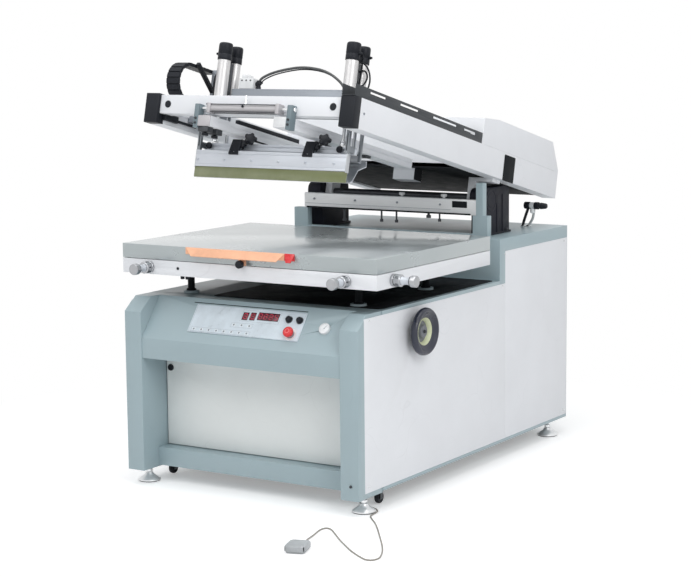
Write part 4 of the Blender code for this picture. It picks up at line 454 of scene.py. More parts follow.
def rubber(name, colour, *values):
    """Rubber, a little darker than the black plastic beside it."""
    return moulded(name, shade_of(colour, 0.8), *values)


def finish_row(slot, maker, colour, *values, **settings):
    """The record's slot, the maker, a paint's name or linear values, and the maker's own values."""
    return slot, maker, colour, values, settings


DRAWN_UP = (60.0, 60.0, 1.0)
BRUSHED_ACROSS = (1.0, 50.0, 50.0)
FINISHES = {
    "grey enamel": finish_row("grey_paint", enamel, "grey"),
    "white enamel": finish_row("white_paint", enamel, "white", 0.46),
    "cream enamel": finish_row("cream_paint", enamel, "cream", 0.42, scuffed=0.35),
    "bed lacquer": finish_row("bed_steel", bed_lacquer, "bed"),
    "drawn aluminium": finish_row("aluminium", drawn_metal, "aluminium"),
    "barrel aluminium": finish_row("aluminium", drawn_metal, (0.70, 0.69, 0.69), 0.36, DRAWN_UP, 18.0,
        0.04, 0.45),
    "brushed steel": finish_row("grey_steel", drawn_metal, (0.52, 0.54, 0.56), 0.34, BRUSHED_ACROSS),
    "bright plate": finish_row("bright_steel", plated, (0.82, 0.83, 0.84)),
    "black plastic": finish_row("black_plastic", moulded, "black", 0.44, gloss=0.18),
    "tray plastic": finish_row("black_plastic", moulded, (0.045, 0.050, 0.056), 0.46, gloss=0.30),
    "black rubber": finish_row("black_plastic", rubber, "black", 0.62, 700.0, 0.4, 0.25),
    "black casting": finish_row("black_casting", casting, (0.013, 0.014, 0.021), 0.50),
    "dark steel": finish_row("black_casting", drawn_metal, (0.075, 0.080, 0.088), 0.42, (40.0, 40.0,
        1.0), 18.0, 0.1, 0.7),
    # Near-black: painted shade under the bed, in recesses and on the drive under the hood, and also the black
    # of dark inserts and joints
    "dark cavity": finish_row("black_casting", casting, (0.010, 0.012, 0.014), 0.75),
    "gearbox grey": finish_row("grey_steel", enamel, (0.480, 0.500, 0.530), 0.40),
    "rail aluminium": finish_row("aluminium", drawn_metal, (0.780, 0.790, 0.795), 0.40, depth=0.03,
        metallic=0.30),
    "print film": finish_row("plate_print", moulded, (0.620, 0.700, 0.760), 0.30, 900.0, 0.08),
    "key film": finish_row("plate_print", moulded, (0.740, 0.790, 0.830), 0.28, 900.0, 0.08),
    "print line": finish_row("black_plastic", moulded, (0.300, 0.350, 0.400), 0.40, 900.0, 0.05),
    "key print": finish_row("black_plastic", moulded, (0.160, 0.200, 0.235), 0.40, 900.0, 0.05),
    "display filter": finish_row("black_plastic", moulded, (0.060, 0.004, 0.014), 0.12, 900.0, 0.02),
    "display glow": finish_row("red_plastic", glowing, (0.52, 0.015, 0.050), 0.30),
    "stop red": finish_row("red_plastic", moulded, "stop", 0.26, 900.0, 0.06),
    "stop centre": finish_row("red_plastic", moulded, (0.800, 0.160, 0.170), 0.30, 900.0, 0.06),
    "peach plastic": finish_row("peach_plastic", moulded, "strip", 0.42, 500.0, 0.10),
    "cast blade": finish_row("blade_rubber", cast_blade, "blade"),
    "grey plastic": finish_row("pedal_plastic", moulded, (0.330, 0.345, 0.380), 0.50),
    "pedal plastic": finish_row("pedal_plastic", moulded, (0.420, 0.440, 0.455), 0.50, 500.0, 0.5),
    "cord sheath": finish_row("pedal_plastic", moulded, (0.290, 0.270, 0.240), 0.50, 900.0, 0.1),
    "white plastic": finish_row("white_paint", moulded, (0.76, 0.77, 0.78), 0.40),
    "dial card": finish_row("dial_white", moulded, (0.86, 0.87, 0.88), 0.22, 900.0, 0.02),
    "pale green ring": finish_row("dial_white", moulded, (0.62, 0.66, 0.44), 0.35, 900.0, 0.05),
    "knob nickel": finish_row("bright_steel", plated, (0.50, 0.51, 0.53), 0.30),
    "foot chrome": finish_row("bright_steel", drawn_metal, (0.86, 0.87, 0.88), 0.34, (50.0, 50.0, 1.0),
        18.0, 0.04, 0.5),
    "wheel plastic": finish_row("black_plastic", moulded, (0.024, 0.028, 0.046), 0.30, gloss=0.55),
    "wheel hub": finish_row("black_plastic", moulded, (0.150, 0.160, 0.180), 0.36),
    "satin profile": finish_row("aluminium", drawn_metal, (0.66, 0.69, 0.74), 0.46, depth=0.05,
        metallic=0.35),
    "carriage grey": finish_row("grey_steel", drawn_metal, (0.30, 0.325, 0.360), 0.44, depth=0.08,
        metallic=0.4),
    "bracket grey": finish_row("grey_paint", enamel, (0.165, 0.215, 0.240), 0.42),
    "guide steel": finish_row("grey_steel", drawn_metal, (0.26, 0.28, 0.30), 0.38, DRAWN_UP, 18.0, 0.08,
        0.75),
    "tie grey": finish_row("grey_steel", drawn_metal, (0.50, 0.485, 0.50), 0.42, BRUSHED_ACROSS,
        depth=0.04, metallic=0.3),
    "hose clear": finish_row("pedal_plastic", moulded, (0.480, 0.500, 0.500), 0.24, 900.0, 0.05),
    "hose grey": finish_row("black_plastic", moulded, (0.070, 0.074, 0.076), 0.40, 900.0, 0.08),
}


def finish_named(name):
    """The machine's finishes, each made once."""
    made = bpy.data.materials.get(name)
    if made:
        return made
    maker, colour, values, settings = FINISHES[name][1:]
    if isinstance(colour, str):
        colour = getattr(paints(), colour)
    return maker(name, colour, *values, **settings)


# Modelling, each step as by hand

def deselect():
    if bpy.context.object and bpy.context.object.mode != "OBJECT":
        bpy.ops.object.mode_set(mode="OBJECT")
    bpy.ops.object.select_all(action="DESELECT")


def choose(*chosen):
    deselect()
    for piece in chosen:
        piece.select_set(True)
    bpy.context.view_layer.objects.active = chosen[0]


def named(name):
    piece = bpy.context.active_object
    piece.name = name
    piece.data.name = name
    bpy.ops.object.transform_apply(location=True, rotation=True, scale=True)
    return piece


def block(name, low, high):
    """A cube primitive at its size and place."""
    deselect()
    low, high = Vector(low), Vector(high)
    bpy.ops.mesh.primitive_cube_add(size=1.0, location=(low + high) / 2, scale=high - low)
    return named(name)


def rod(name, start, end, radius, sides=None):
    """A cylinder from one point to another."""
    deselect()
    start, end = Vector(start), Vector(end)
    run = end - start
    bpy.ops.mesh.primitive_cone_add(
        vertices=sides or sizes().facets, radius1=radius, radius2=radius,
        depth=run.length, location=(start + end) / 2, rotation=run.to_track_quat("Z", "Y").to_euler())
    return named(name)


def turned(name, profile, place=(0, 0, 0), axis=(0, 0, 1), sides=None):
    """A disc carried up a profile of radii and heights by extruding and scaling its face."""
    deselect()
    (radius, height), steps = profile[0], profile[1:]
    bpy.ops.mesh.primitive_circle_add(vertices=sides or sizes().facets, radius=radius, fill_type="NGON",
                                      location=(0, 0, height))
    piece = named(name)
    bpy.ops.object.mode_set(mode="EDIT")
    bpy.ops.mesh.select_mode(type="FACE")
    bpy.ops.mesh.select_all(action="SELECT")
    for new_radius, new_height in steps:
        bpy.ops.mesh.extrude_region_move(TRANSFORM_OT_translate={"value": (0, 0, new_height - height)})
        share = new_radius / radius
        bpy.ops.transform.resize(value=(share, share, 1), center_override=(0, 0, new_height))
        radius, height = new_radius, new_height
    bpy.ops.mesh.select_all(action="SELECT")
    bpy.ops.mesh.normals_make_consistent(inside=False)
    bpy.ops.object.mode_set(mode="OBJECT")
    return put(piece, Matrix.Translation(place) @ aimed(axis))


def aimed(axis):
    """Turns a piece drawn along Z to lie along another axis."""
    return Vector(axis).to_track_quat("Z", "Y").to_matrix().to_4x4()


def put(piece, matrix):
    """Moves a piece by a matrix and leaves its object at the origin."""
    choose(piece)
    piece.matrix_world = matrix
    bpy.ops.object.transform_apply(location=True, rotation=True, scale=True)
    return piece


def in_head(piece):
    """Carries a piece drawn in the head's own level frame to where the open head is."""
    return put(piece, HEAD_FRAME)


def head_part(piece, body, finish_name, width=None, replaces=()):
    """Breaks the edges of a piece drawn in the head's level frame, carries it there and finishes it."""
    return finish(in_head(break_edges(piece, width, 3)), body, finish_name, replaces)


def pick(piece, kind, test):
    """Selects a piece's faces or edges by their place and enters edit mode."""
    choose(piece)
    bpy.ops.object.mode_set(mode="EDIT")
    bpy.ops.mesh.select_mode(type=kind)
    bpy.ops.mesh.select_all(action="DESELECT")
    bpy.ops.object.mode_set(mode="OBJECT")
    mesh = piece.data
    found = 0
    if kind == "FACE":
        for face in mesh.polygons:
            face.select = test(face.center, face.normal)
            found += face.select
    else:
        for edge in mesh.edges:
            first, last = (mesh.vertices[index].co for index in edge.vertices)
            edge.select = test((first + last) / 2, (last - first).normalized())
            found += edge.select
    if not found:
        raise RuntimeError(f"nothing was picked on {piece.name}")
    bpy.ops.object.mode_set(mode="EDIT")


def runs_across(at, run):
    return abs(run.x) > 0.9


def runs_up(at, run):
    return abs(run.z) > 0.9


def done():
    bpy.ops.object.mode_set(mode="OBJECT")


def round_edges(piece, radius, test, segments=3):
    """Rounds the picked edges in edit mode."""
    pick(piece, "EDGE", test)
    bpy.ops.mesh.bevel(offset=radius, segments=segments, affect="EDGES", clamp_overlap=True)
    done()
    return piece


def break_edges(piece, width=None, segments=2, angle=CREASE):
    """Breaks all sharp edges with a bevel modifier and applies it."""
    choose(piece)
    bpy.ops.object.modifier_add(type="BEVEL")
    bevel = piece.modifiers[-1]
    bevel.width = width or sizes().edge
    bevel.segments = segments
    bevel.limit_method = "ANGLE"
    bevel.angle_limit = angle
    bpy.ops.object.modifier_apply(modifier=bevel.name)
    return piece


def smooth(piece, angle=CREASE):
    choose(piece)
    bpy.ops.object.shade_smooth_by_angle(angle=angle)
    return piece


def cut(piece, *tools):
    """Cuts the tools out of a piece and removes them."""
    for tool in tools:
        choose(piece)
        bpy.ops.object.modifier_add(type="BOOLEAN")
        step = piece.modifiers[-1]
        step.operation = "DIFFERENCE"
        step.solver = "EXACT"
        step.object = tool
        bpy.ops.object.modifier_apply(modifier=step.name)
        bpy.data.objects.remove(tool, do_unlink=True)
    return piece


def join(name, first, *others):
    """Joins separate pieces of one finish into one object."""
    if others:
        choose(first, *others)
        bpy.ops.object.join()
    first.name = name
    return first


def copy_of(piece, name, matrix):
    """A copy with its own mesh, moved by a matrix."""
    choose(piece)
    bpy.ops.object.duplicate(linked=False)
    twin = bpy.context.active_object
    twin.name = name
    return put(twin, matrix)


def finish(piece, body, finish_name, replaces=(), angle=CREASE):
    """Gives a finished piece its paint, its smooth shading and the body that carries it."""
    smooth(piece, angle)
    piece.data.materials.clear()
    piece.data.materials.append(finish_named(finish_name))
    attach(piece, body)
    if replaces:
        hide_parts(*([replaces] if isinstance(replaces, str) else replaces))
    return piece


def drawn_from(node, name):
    """A clean copy of a node's solid: doubles merged and its flat faces made whole."""
    piece = bpy.data.objects.new(name, frame["nodes"][node].data.copy())
    bpy.context.collection.objects.link(piece)
    choose(piece)
    bpy.ops.object.mode_set(mode="EDIT")
    bpy.ops.mesh.select_all(action="SELECT")
    bpy.ops.mesh.customdata_custom_splitnormals_clear()
    bpy.ops.mesh.remove_doubles(threshold=MERGE)
    bpy.ops.mesh.dissolve_limited(angle_limit=FLAT)
    bpy.ops.mesh.normals_make_consistent(inside=False)
    done()
    return piece


def body_of(node):
    return frame["nodes"][node]["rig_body"]


# Stage

FLOOR_CENTRE = (0.0, 0.2, FLOOR)
FLOOR_NEAR, FLOOR_FAR = 0.9, 1.9
FLOOR_GLOW = 0.30


def soft_light(name, place, target, size, power, colour=(1.0, 1.0, 1.0)):
    deselect()
    bpy.ops.object.light_add(type="AREA", location=place)
    light = bpy.context.active_object
    light.name = name
    light.data.shape = "SQUARE"
    light.data.size = size
    light.data.energy = power
    light.data.color = colour
    light.rotation_euler = (Vector(target) - Vector(place)).to_track_quat("-Z", "Y").to_euler()
    return light


def seen_directly(tree):
    """1 for rays that show the background itself: from the camera, by gloss or through glass."""
    path = tree.nodes.new("ShaderNodeLightPath")
    either = path.outputs["Is Camera Ray"]
    for label in ("Is Glossy Ray", "Is Transmission Ray"):
        either = computed(tree, "MAXIMUM", either, path.outputs[label])
    return either


def studio_world(ambient):
    world = bpy.data.worlds.new("press studio")
    bpy.context.scene.world = world
    world.use_nodes = True
    tree = world.node_tree
    even = tree.nodes["Background"]
    even.inputs["Color"].default_value = (0.97, 0.985, 1.0, 1.0)
    even.inputs["Strength"].default_value = ambient
    white = tree.nodes.new("ShaderNodeBackground")
    white.inputs["Color"].default_value = (1.0, 1.0, 1.0, 1.0)
    white.inputs["Strength"].default_value = 1.0
    mix = tree.nodes.new("ShaderNodeMixShader")
    tree.links.new(seen_directly(tree), mix.inputs["Fac"])
    tree.links.new(even.outputs["Background"], mix.inputs[1])
    tree.links.new(white.outputs["Background"], mix.inputs[2])
    tree.links.new(mix.outputs["Shader"], tree.nodes["World Output"].inputs["Surface"])


def floor_finish(colour):
    material, tree, shader, place = new_finish("studio floor")
    skin = use_group(tree, "press skin", place, peel_scale=40.0, cloud_scale=0.6)
    coloured(tree, shader, tinted(tree, skin.outputs["Cloud"], colour, shade_of(colour, 0.995)))
    shader.inputs["Roughness"].default_value = 0.75
    shader.inputs["Specular IOR Level"].default_value = 0.2
    glow = tree.nodes.new("ShaderNodeEmission")
    glow.inputs["Color"].default_value = (1.0, 1.0, 1.0, 1.0)
    tree.links.new(spread(tree, seen_directly(tree), 0.0, 1.0, 0.0, FLOOR_GLOW), glow.inputs["Strength"])
    both = tree.nodes.new("ShaderNodeAddShader")
    tree.links.new(shader.outputs["BSDF"], both.inputs[0])
    tree.links.new(glow.outputs["Emission"], both.inputs[1])
    white = tree.nodes.new("ShaderNodeEmission")
    white.inputs["Color"].default_value = (1.0, 1.0, 1.0, 1.0)
    reach = spread(tree, reach_from(tree, place, FLOOR_CENTRE), FLOOR_NEAR, FLOOR_FAR)
    far = computed(tree, "MULTIPLY", reach, seen_directly(tree))
    fade = tree.nodes.new("ShaderNodeMixShader")
    tree.links.new(far, fade.inputs["Fac"])
    tree.links.new(both.outputs["Shader"], fade.inputs[1])
    tree.links.new(white.outputs["Emission"], fade.inputs[2])
    tree.links.new(fade.outputs["Shader"], tree.nodes["Material Output"].inputs["Surface"])
    return material


def reach_from(tree, place, centre):
    """Distance over the floor from a point."""
    node = tree.nodes.new("ShaderNodeVectorMath")
    node.operation = "DISTANCE"
    tree.links.new(place, node.inputs[0])
    node.inputs[1].default_value = centre
    return node.outputs["Value"]


class PRESS_OT_stage(bpy.types.Operator):
    """Sets the camera at the photograph's viewing angle, the pale floor and soft studio lights"""
    bl_idname = "press.stage"
    bl_label = "Stage and camera"

    def execute(self, context):
        scene = context.scene
        stage = scene.press_stage
        scene.view_settings.view_transform = "Standard"
        deselect()
        bpy.ops.object.camera_add(location=CAMERA_PLACE)
        camera = context.active_object
        camera.name = "press camera"
        camera.data.lens = CAMERA_LENS
        camera.data.sensor_width = SENSOR_WIDTH
        camera.data.clip_end = 200.0
        look = (Matrix.Rotation(CAMERA_AZIMUTH, 4, "Z") @ Matrix.Rotation(math.pi / 2 - CAMERA_DROP, 4, "X")
                @ Matrix.Rotation(CAMERA_ROLL, 4, "Z"))
        camera.rotation_euler = look.to_euler()
        scene.camera = camera
        deselect()
        bpy.ops.mesh.primitive_grid_add(x_subdivisions=2, y_subdivisions=2, size=80.0, location=(0, 0, FLOOR))
        floor = named("studio_floor")
        floor.data.materials.append(floor_finish(stage.floor))
        middle = (0.0, 0.1, -0.15)
        soft_light("key light", (4.2, -2.6, 2.6), middle, 2.4, stage.key)
        soft_light("fill light", (-1.0, -4.6, 4.0), middle, 3.0, stage.fill)
        soft_light("top light", (0.2, -0.2, 4.2), middle, 3.6, stage.top)
        studio_world(stage.ambient)
        return {"FINISHED"}


# Pedal and its cord

CORD_RADIUS = 0.0025
CORD_ROUTE = (
    (0.398, 0.132, 0.0497), (0.3985, 0.1325, 0.034), (0.402, 0.1335, 0.014), (0.412, 0.136, 0.0045),
    (0.430, 0.138, 0.0028), (0.452, 0.133, 0.0028), (0.473, 0.1215, 0.0028), (0.4900, 0.101, 0.0028),
    (0.4965, 0.070, 0.0028), (0.502, 0.036, 0.0028), (0.527, 0.005, 0.0028), (0.5604, -0.0312, 0.0028),
    (0.613, -0.100, 0.0028), (0.665, -0.173, 0.0028), (0.716, -0.245, 0.0028), (0.752, -0.303, 0.0028),
    (0.776, -0.352, 0.0028), (0.784, -0.382, 0.0028), (0.776, -0.404, 0.0028), (0.758, -0.409, 0.0028),
    (0.738, -0.399, 0.0028), (0.700, -0.374, 0.0028), (0.660, -0.343, 0.0028), (0.616, -0.303, 0.0028),
    (0.572, -0.262, 0.0028), (0.530, -0.219, 0.0028), (0.495, -0.183, 0.0028), (0.475, -0.166, 0.0028),
    (0.459, -0.163, 0.0028), (0.452, -0.175, 0.0028), (0.453, -0.197, 0.0028), (0.460, -0.224, 0.0030),
    (0.4705, -0.262, 0.0032), (0.4800, -0.3030, 0.0040), (0.4905, -0.3355, 0.0045), (0.5004, -0.3660, 0.0045),
)
CORD_POINTS = 72


def smooth_route(points, count):
    """A smooth curve through the route's own points, read at even steps of each stretch."""
    ends = [points[0], *points, points[-1]]
    stretches = len(points) - 1
    route = []
    for step in range(count):
        at = step * stretches / (count - 1)
        index = min(int(at), stretches - 1)
        t = at - index
        a, b, c, d = (Vector(ends[index + offset]) for offset in range(4))
        bend = (2 * a - 5 * b + 4 * c - d) * t * t + (3 * b - a - 3 * c + d) * t * t * t
        route.append((2 * b + (c - a) * t + bend) / 2)
    return route


def hose_curve(name, points, radius):
    """A round hose or cord on a poly curve."""
    line = bpy.data.curves.new(name, "CURVE")
    line.dimensions = "3D"
    line.bevel_depth = radius
    line.bevel_resolution = 5
    line.use_fill_caps = True
    spline = line.splines.new("POLY")
    spline.points.add(len(points) - 1)
    for point, place in zip(spline.points, points):
        point.co = (*place, 1.0)
    spline.use_smooth = True
    piece = bpy.data.objects.new(name, line)
    bpy.context.collection.objects.link(piece)
    return piece


class PRESS_OT_pedal_cord(bpy.types.Operator):
    """Lays the pedal's cord from its gland behind the right foot to the pedal"""
    bl_idname = "press.pedal_cord"
    bl_label = "Pedal cord"

    def execute(self, context):
        route = [point + BED_DATUM for point in smooth_route(CORD_ROUTE, CORD_POINTS)]
        cord = hose_curve("pedal_cord_sheath", route, CORD_RADIUS)
        cord.data.materials.append(finish_named("cord sheath"))
        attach(cord, "cabinet")
        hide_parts("pedal_cord")
        gland = turned("pedal_cord_gland", [
            (0.0030, 0.0), (0.0042, 0.003), (0.0062, 0.012), (0.0078, 0.015), (0.0078, 0.018)],
            route[0] + Vector((0, 0, -0.008)), sides=24)
        finish(gland, "cabinet", "black rubber")
        return {"FINISHED"}


# Shared fittings and dressing

CONSOLE_LIP = Vector((0.0, 0.004 - BED_CENTRE, 0.530 - BED_HEIGHT))
CONSOLE_CREST = Vector((0.0, 0.110 - BED_CENTRE, DECK_HEIGHT - BED_HEIGHT))
CONSOLE_SLOPE = math.atan2(CONSOLE_CREST.z - CONSOLE_LIP.z, CONSOLE_CREST.y - CONSOLE_LIP.y)
CONSOLE_FRAME = Matrix.Translation(CONSOLE_LIP) @ Matrix.Rotation(CONSOLE_SLOPE, 4, "X")
# The control plate's top face over the slope
PLATE_FACE = 0.0033
SIDES = (("left", -1), ("right", 1))


def box_in(node, place=Matrix.Identity(4)):
    """A node's lowest and highest corners, measured in a frame such as the open head's."""
    back = place.inverted()
    points = [back @ vertex.co for vertex in frame["nodes"][node].data.vertices]
    return (Vector([min(point[axis] for point in points) for axis in range(3)]),
            Vector([max(point[axis] for point in points) for axis in range(3)]))


def dressed(node, finish_name, width=None, folds=None, name=None):
    """A node's own solid redrawn with rounded folds, broken edges and paint."""
    piece = drawn_from(node, name or f"{node}_dressed")
    if folds:
        round_edges(piece, sizes().fold, folds)
    break_edges(piece, width, 3)
    return finish(piece, body_of(node), finish_name, node)


def paint_faces(piece, finish_name, test):
    """Gives the faces that pass the test another finish."""
    piece.data.materials.append(finish_named(finish_name))
    for face in piece.data.polygons:
        if test(face.center, face.normal):
            face.material_index = len(piece.data.materials) - 1
    return piece


def cap_screw(name, place, axis, radius, body, finish_name="bright plate", driver="hex"):
    """A screw head on its seat, with a hex socket or a cross recess."""
    rise = radius * (1.1 if driver == "hex" else 0.6)
    head = turned(name, [
        (radius, 0), (radius, rise * 0.7), (radius * 0.88, rise * 0.92), (radius * 0.7, rise)], sides=20)
    if driver == "hex":
        cut(head, rod("socket", (0, 0, rise * 0.45), (0, 0, rise * 1.5), radius * 0.5, 6))
    else:
        for turn in (0, math.pi / 2):
            slot = block("slot", (-radius * 0.62, -radius * 0.12, rise * 0.45),
                         (radius * 0.62, radius * 0.12, rise * 1.5))
            cut(head, put(slot, Matrix.Rotation(turn, 4, "Z")))
    put(head, Matrix.Translation(place) @ aimed(axis))
    return finish(head, body, finish_name)


def hose(name, points, radius, body, finish_name, count=40, replaces=()):
    """A round hose through a few points, finished as a piece of its own."""
    piece = hose_curve(name, smooth_route(points, count), radius)
    piece.data.materials.append(finish_named(finish_name))
    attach(piece, body)
    if replaces:
        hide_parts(replaces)
    return piece


def vectors(corners):
    return [Vector(corner) for corner in corners]


def middle_of(low, high):
    return (low + high) / 2


# Cabinet

# Setback from the cabinet's front and height over the floor
PANEL_SCREWS = ((0.072, 0.646), (0.064, 0.092), (1.033, 0.764), (1.010, 0.648), (1.530, 0.764),
                (1.530, 0.092))
PANEL_SEAM = 1.036
SEAM_WIDTH = 0.0014
# Place across and height over the floor
BACK_SCREWS = ((-0.44, 0.10), (0.44, 0.10), (-0.44, 0.44), (0.44, 0.44), (-0.44, 0.79), (0.44, 0.79))
ACCESS_SCREWS = ((-0.365, 0.150), (0.365, 0.150), (-0.365, 0.702), (0.365, 0.702))


class PRESS_OT_cabinet(bpy.types.Operator):
    """Dresses the frame, posts, console, decks, side panels and kick door"""
    bl_idname = "press.cabinet"
    bl_label = "Cabinet"

    def execute(self, context):
        for node in ("cabinet_frame", "low_deck", "rear_cover", "rear_bridge"):
            dressed(node, "grey enamel")
        dressed("console_housing", "grey enamel", folds=lambda at, run: abs(run.x) > 0.9 and at.y < -0.30)
        dressed("left_front_post", "grey enamel")
        dressed("right_front_post", "grey enamel")
        dressed("kick_door", "cream enamel", 0.0012)
        for side, hand in SIDES:
            self.side_panel(side, hand)
        self.back_screws()
        self.back_fittings()
        cap_screw("right_post_screw", (0.450, -BED_CENTRE, 0.1023 - BED_HEIGHT), (0, -1, 0), 0.0048,
                  "cabinet", "dark steel")
        self.door_lock()
        return {"FINISHED"}

    def side_panel(self, side, hand):
        node = f"{side}_side_panel"
        low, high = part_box(node)
        outer = high[0] if hand > 0 else low[0]
        panel = drawn_from(node, f"{node}_dressed")
        seam = PANEL_SEAM - BED_CENTRE
        groove = block("seam", (outer - SHEET / 3, seam - SEAM_WIDTH / 2, FLOOR),
                       (outer + SHEET / 3, seam + SEAM_WIDTH / 2, 0.0))
        cut(panel, groove)
        break_edges(panel, sizes().edge * 0.8, 3)
        finish(panel, "cabinet", "white enamel", node)
        for number, (setback, height) in enumerate(PANEL_SCREWS):
            place = (outer, setback - BED_CENTRE, height - BED_HEIGHT)
            cap_screw(f"{side}_panel_screw_{number}", place, (hand, 0, 0), sizes().screw, "cabinet",
                      driver="cross")

    def back_screws(self):
        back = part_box("rear_cover")[1][1]
        for number, (across, height) in enumerate(BACK_SCREWS):
            cap_screw(f"rear_cover_screw_{number}", (across, back, height - BED_HEIGHT), (0, 1, 0),
                      sizes().screw, "cabinet", driver="cross")

    def back_fittings(self):
        """The rear access panel with its louvres, the mains gland and the air inlet."""
        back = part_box("rear_cover")[1][1]
        face = back + 0.0016
        panel = block("rear_access_panel", (-0.380, back + 0.0003, FLOOR + 0.128),
                      (0.380, face, FLOOR + 0.724))
        finish(break_edges(panel, 0.0005), "cabinet", "grey enamel")
        for number, (across, height) in enumerate(ACCESS_SCREWS):
            cap_screw(f"rear_access_screw_{number}", (across, face, FLOOR + height), (0, 1, 0), sizes().screw,
                      "cabinet", driver="cross")
        slats = []
        for across in (-0.190, 0.190):
            for row in range(9):
                slat = block("slat", (-0.078, -0.0004, -0.0012), (0.078, 0.0080, 0.0012))
                lean = Matrix.Rotation(math.radians(-40), 4, "X")
                spot = Matrix.Translation((across, face, FLOOR + 0.500 + 0.018 * row))
                slats.append(put(slat, spot @ lean))
        finish(break_edges(join("rear_louvres", *slats), 0.0006), "cabinet", "grey enamel")
        for number, across in enumerate((-0.190, 0.190)):
            # A near-black sheet behind each louvre bank: painted shade in the opening behind the slats
            recess = block(f"rear_louvre_recess_{number}", (across - 0.074, face - 0.0004, FLOOR + 0.496),
                           (across + 0.074, face + 0.0003, FLOOR + 0.648))
            finish(recess, "cabinet", "dark cavity")
            lock = turned(f"rear_access_lock_{number}", [
                (0.0120, 0.0), (0.0120, 0.0026), (0.0106, 0.0042), (0.0050, 0.0042)],
                (across * 1.75, face, FLOOR + 0.426), (0, 1, 0), 32)
            cut(lock, block("slot", (across * 1.75 - 0.0014, face + 0.0022, FLOOR + 0.418),
                            (across * 1.75 + 0.0014, face + 0.0100, FLOOR + 0.434)))
            finish(lock, "cabinet", "black plastic")
        gland = turned("mains_gland", [
            (0.0150, 0.0), (0.0150, 0.0060), (0.0120, 0.0070), (0.0120, 0.0150), (0.0085, 0.0180),
            (0.0070, 0.0185)], (-0.300, back + 0.0003, FLOOR + 0.098), (0, 1, 0), 24)
        finish(gland, "cabinet", "black plastic")
        inlet = turned("air_inlet", [
            (0.0110, 0.0), (0.0110, 0.0070), (0.0075, 0.0078), (0.0075, 0.0120), (0.0088, 0.0130),
            (0.0088, 0.0180), (0.0060, 0.0190)], (-0.235, back + 0.0003, FLOOR + 0.098), (0, 1, 0), 24)
        finish(inlet, "cabinet", "bright plate")

    def door_lock(self):
        low, high = vectors(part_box("door_lock"))
        radius = (high.x - low.x) / 2
        centre = Vector((middle_of(low, high).x, 0.1397 - BED_CENTRE, 0.405 - BED_HEIGHT))
        lock = turned("door_lock_head", [
            (radius, 0), (radius, 0.003), (radius * 0.9, 0.0052), (radius * 0.72, 0.006)], sides=32)
        slot = block("slot", (-radius * 0.12, -radius * 0.6, 0.003), (radius * 0.12, radius * 0.6, 0.01))
        cut(lock, slot)
        put(lock, Matrix.Translation(centre) @ Matrix.Rotation(math.radians(90), 4, "X"))
        finish(lock, "door_lock", "black plastic", "door_lock")


# Console

# Place across and up the slope, width, and number of digits
DISPLAYS = ((-0.013, 0.117, 0.024, 1), (0.017, 0.1185, 0.022, 1), (0.080, 0.1215, 0.086, 4))
DISPLAY_HEIGHT = 0.030
LOW_KEYS = tuple((-0.204 + 0.0316 * place, 0.052) for place in range(8))
HIGH_KEYS = tuple((-0.047 + 0.032 * place, 0.081) for place in range(3))
KEY_SIZE = (0.0130, 0.0100)
STOP_PLACE = (0.1915, 0.064)
STOP_RADIUS = 0.0185
STOP_WELL = STOP_RADIUS * 0.54
BUTTON_PLACES = (("start_button", 0.166), ("stop_button", 0.209))
BUTTON_UP = 0.118
BUTTON_RADIUS = 0.013
BUTTON_WELL = BUTTON_RADIUS * 0.83
GAUGE_PLACE = (0.316, 0.096)
GAUGE_RADIUS = 0.020
# Where each bar of a digit stands, and whether it lies flat
SEGMENTS = ((0, 1, True), (0, 0, True), (0, -1, True), (-1, 0.5, False), (1, 0.5, False), (-1, -0.5, False),
            (1, -0.5, False))


def on_console(piece):
    """Carries a piece drawn flat, with the slope's foot at the origin, to the console's slope."""
    return put(piece, CONSOLE_FRAME)


def well(across, up, radius):
    """The hole that a button sinks into, drawn flat as on_console takes it."""
    return rod("well", (across, up, -0.006), (across, up, 0.020), radius, 32)


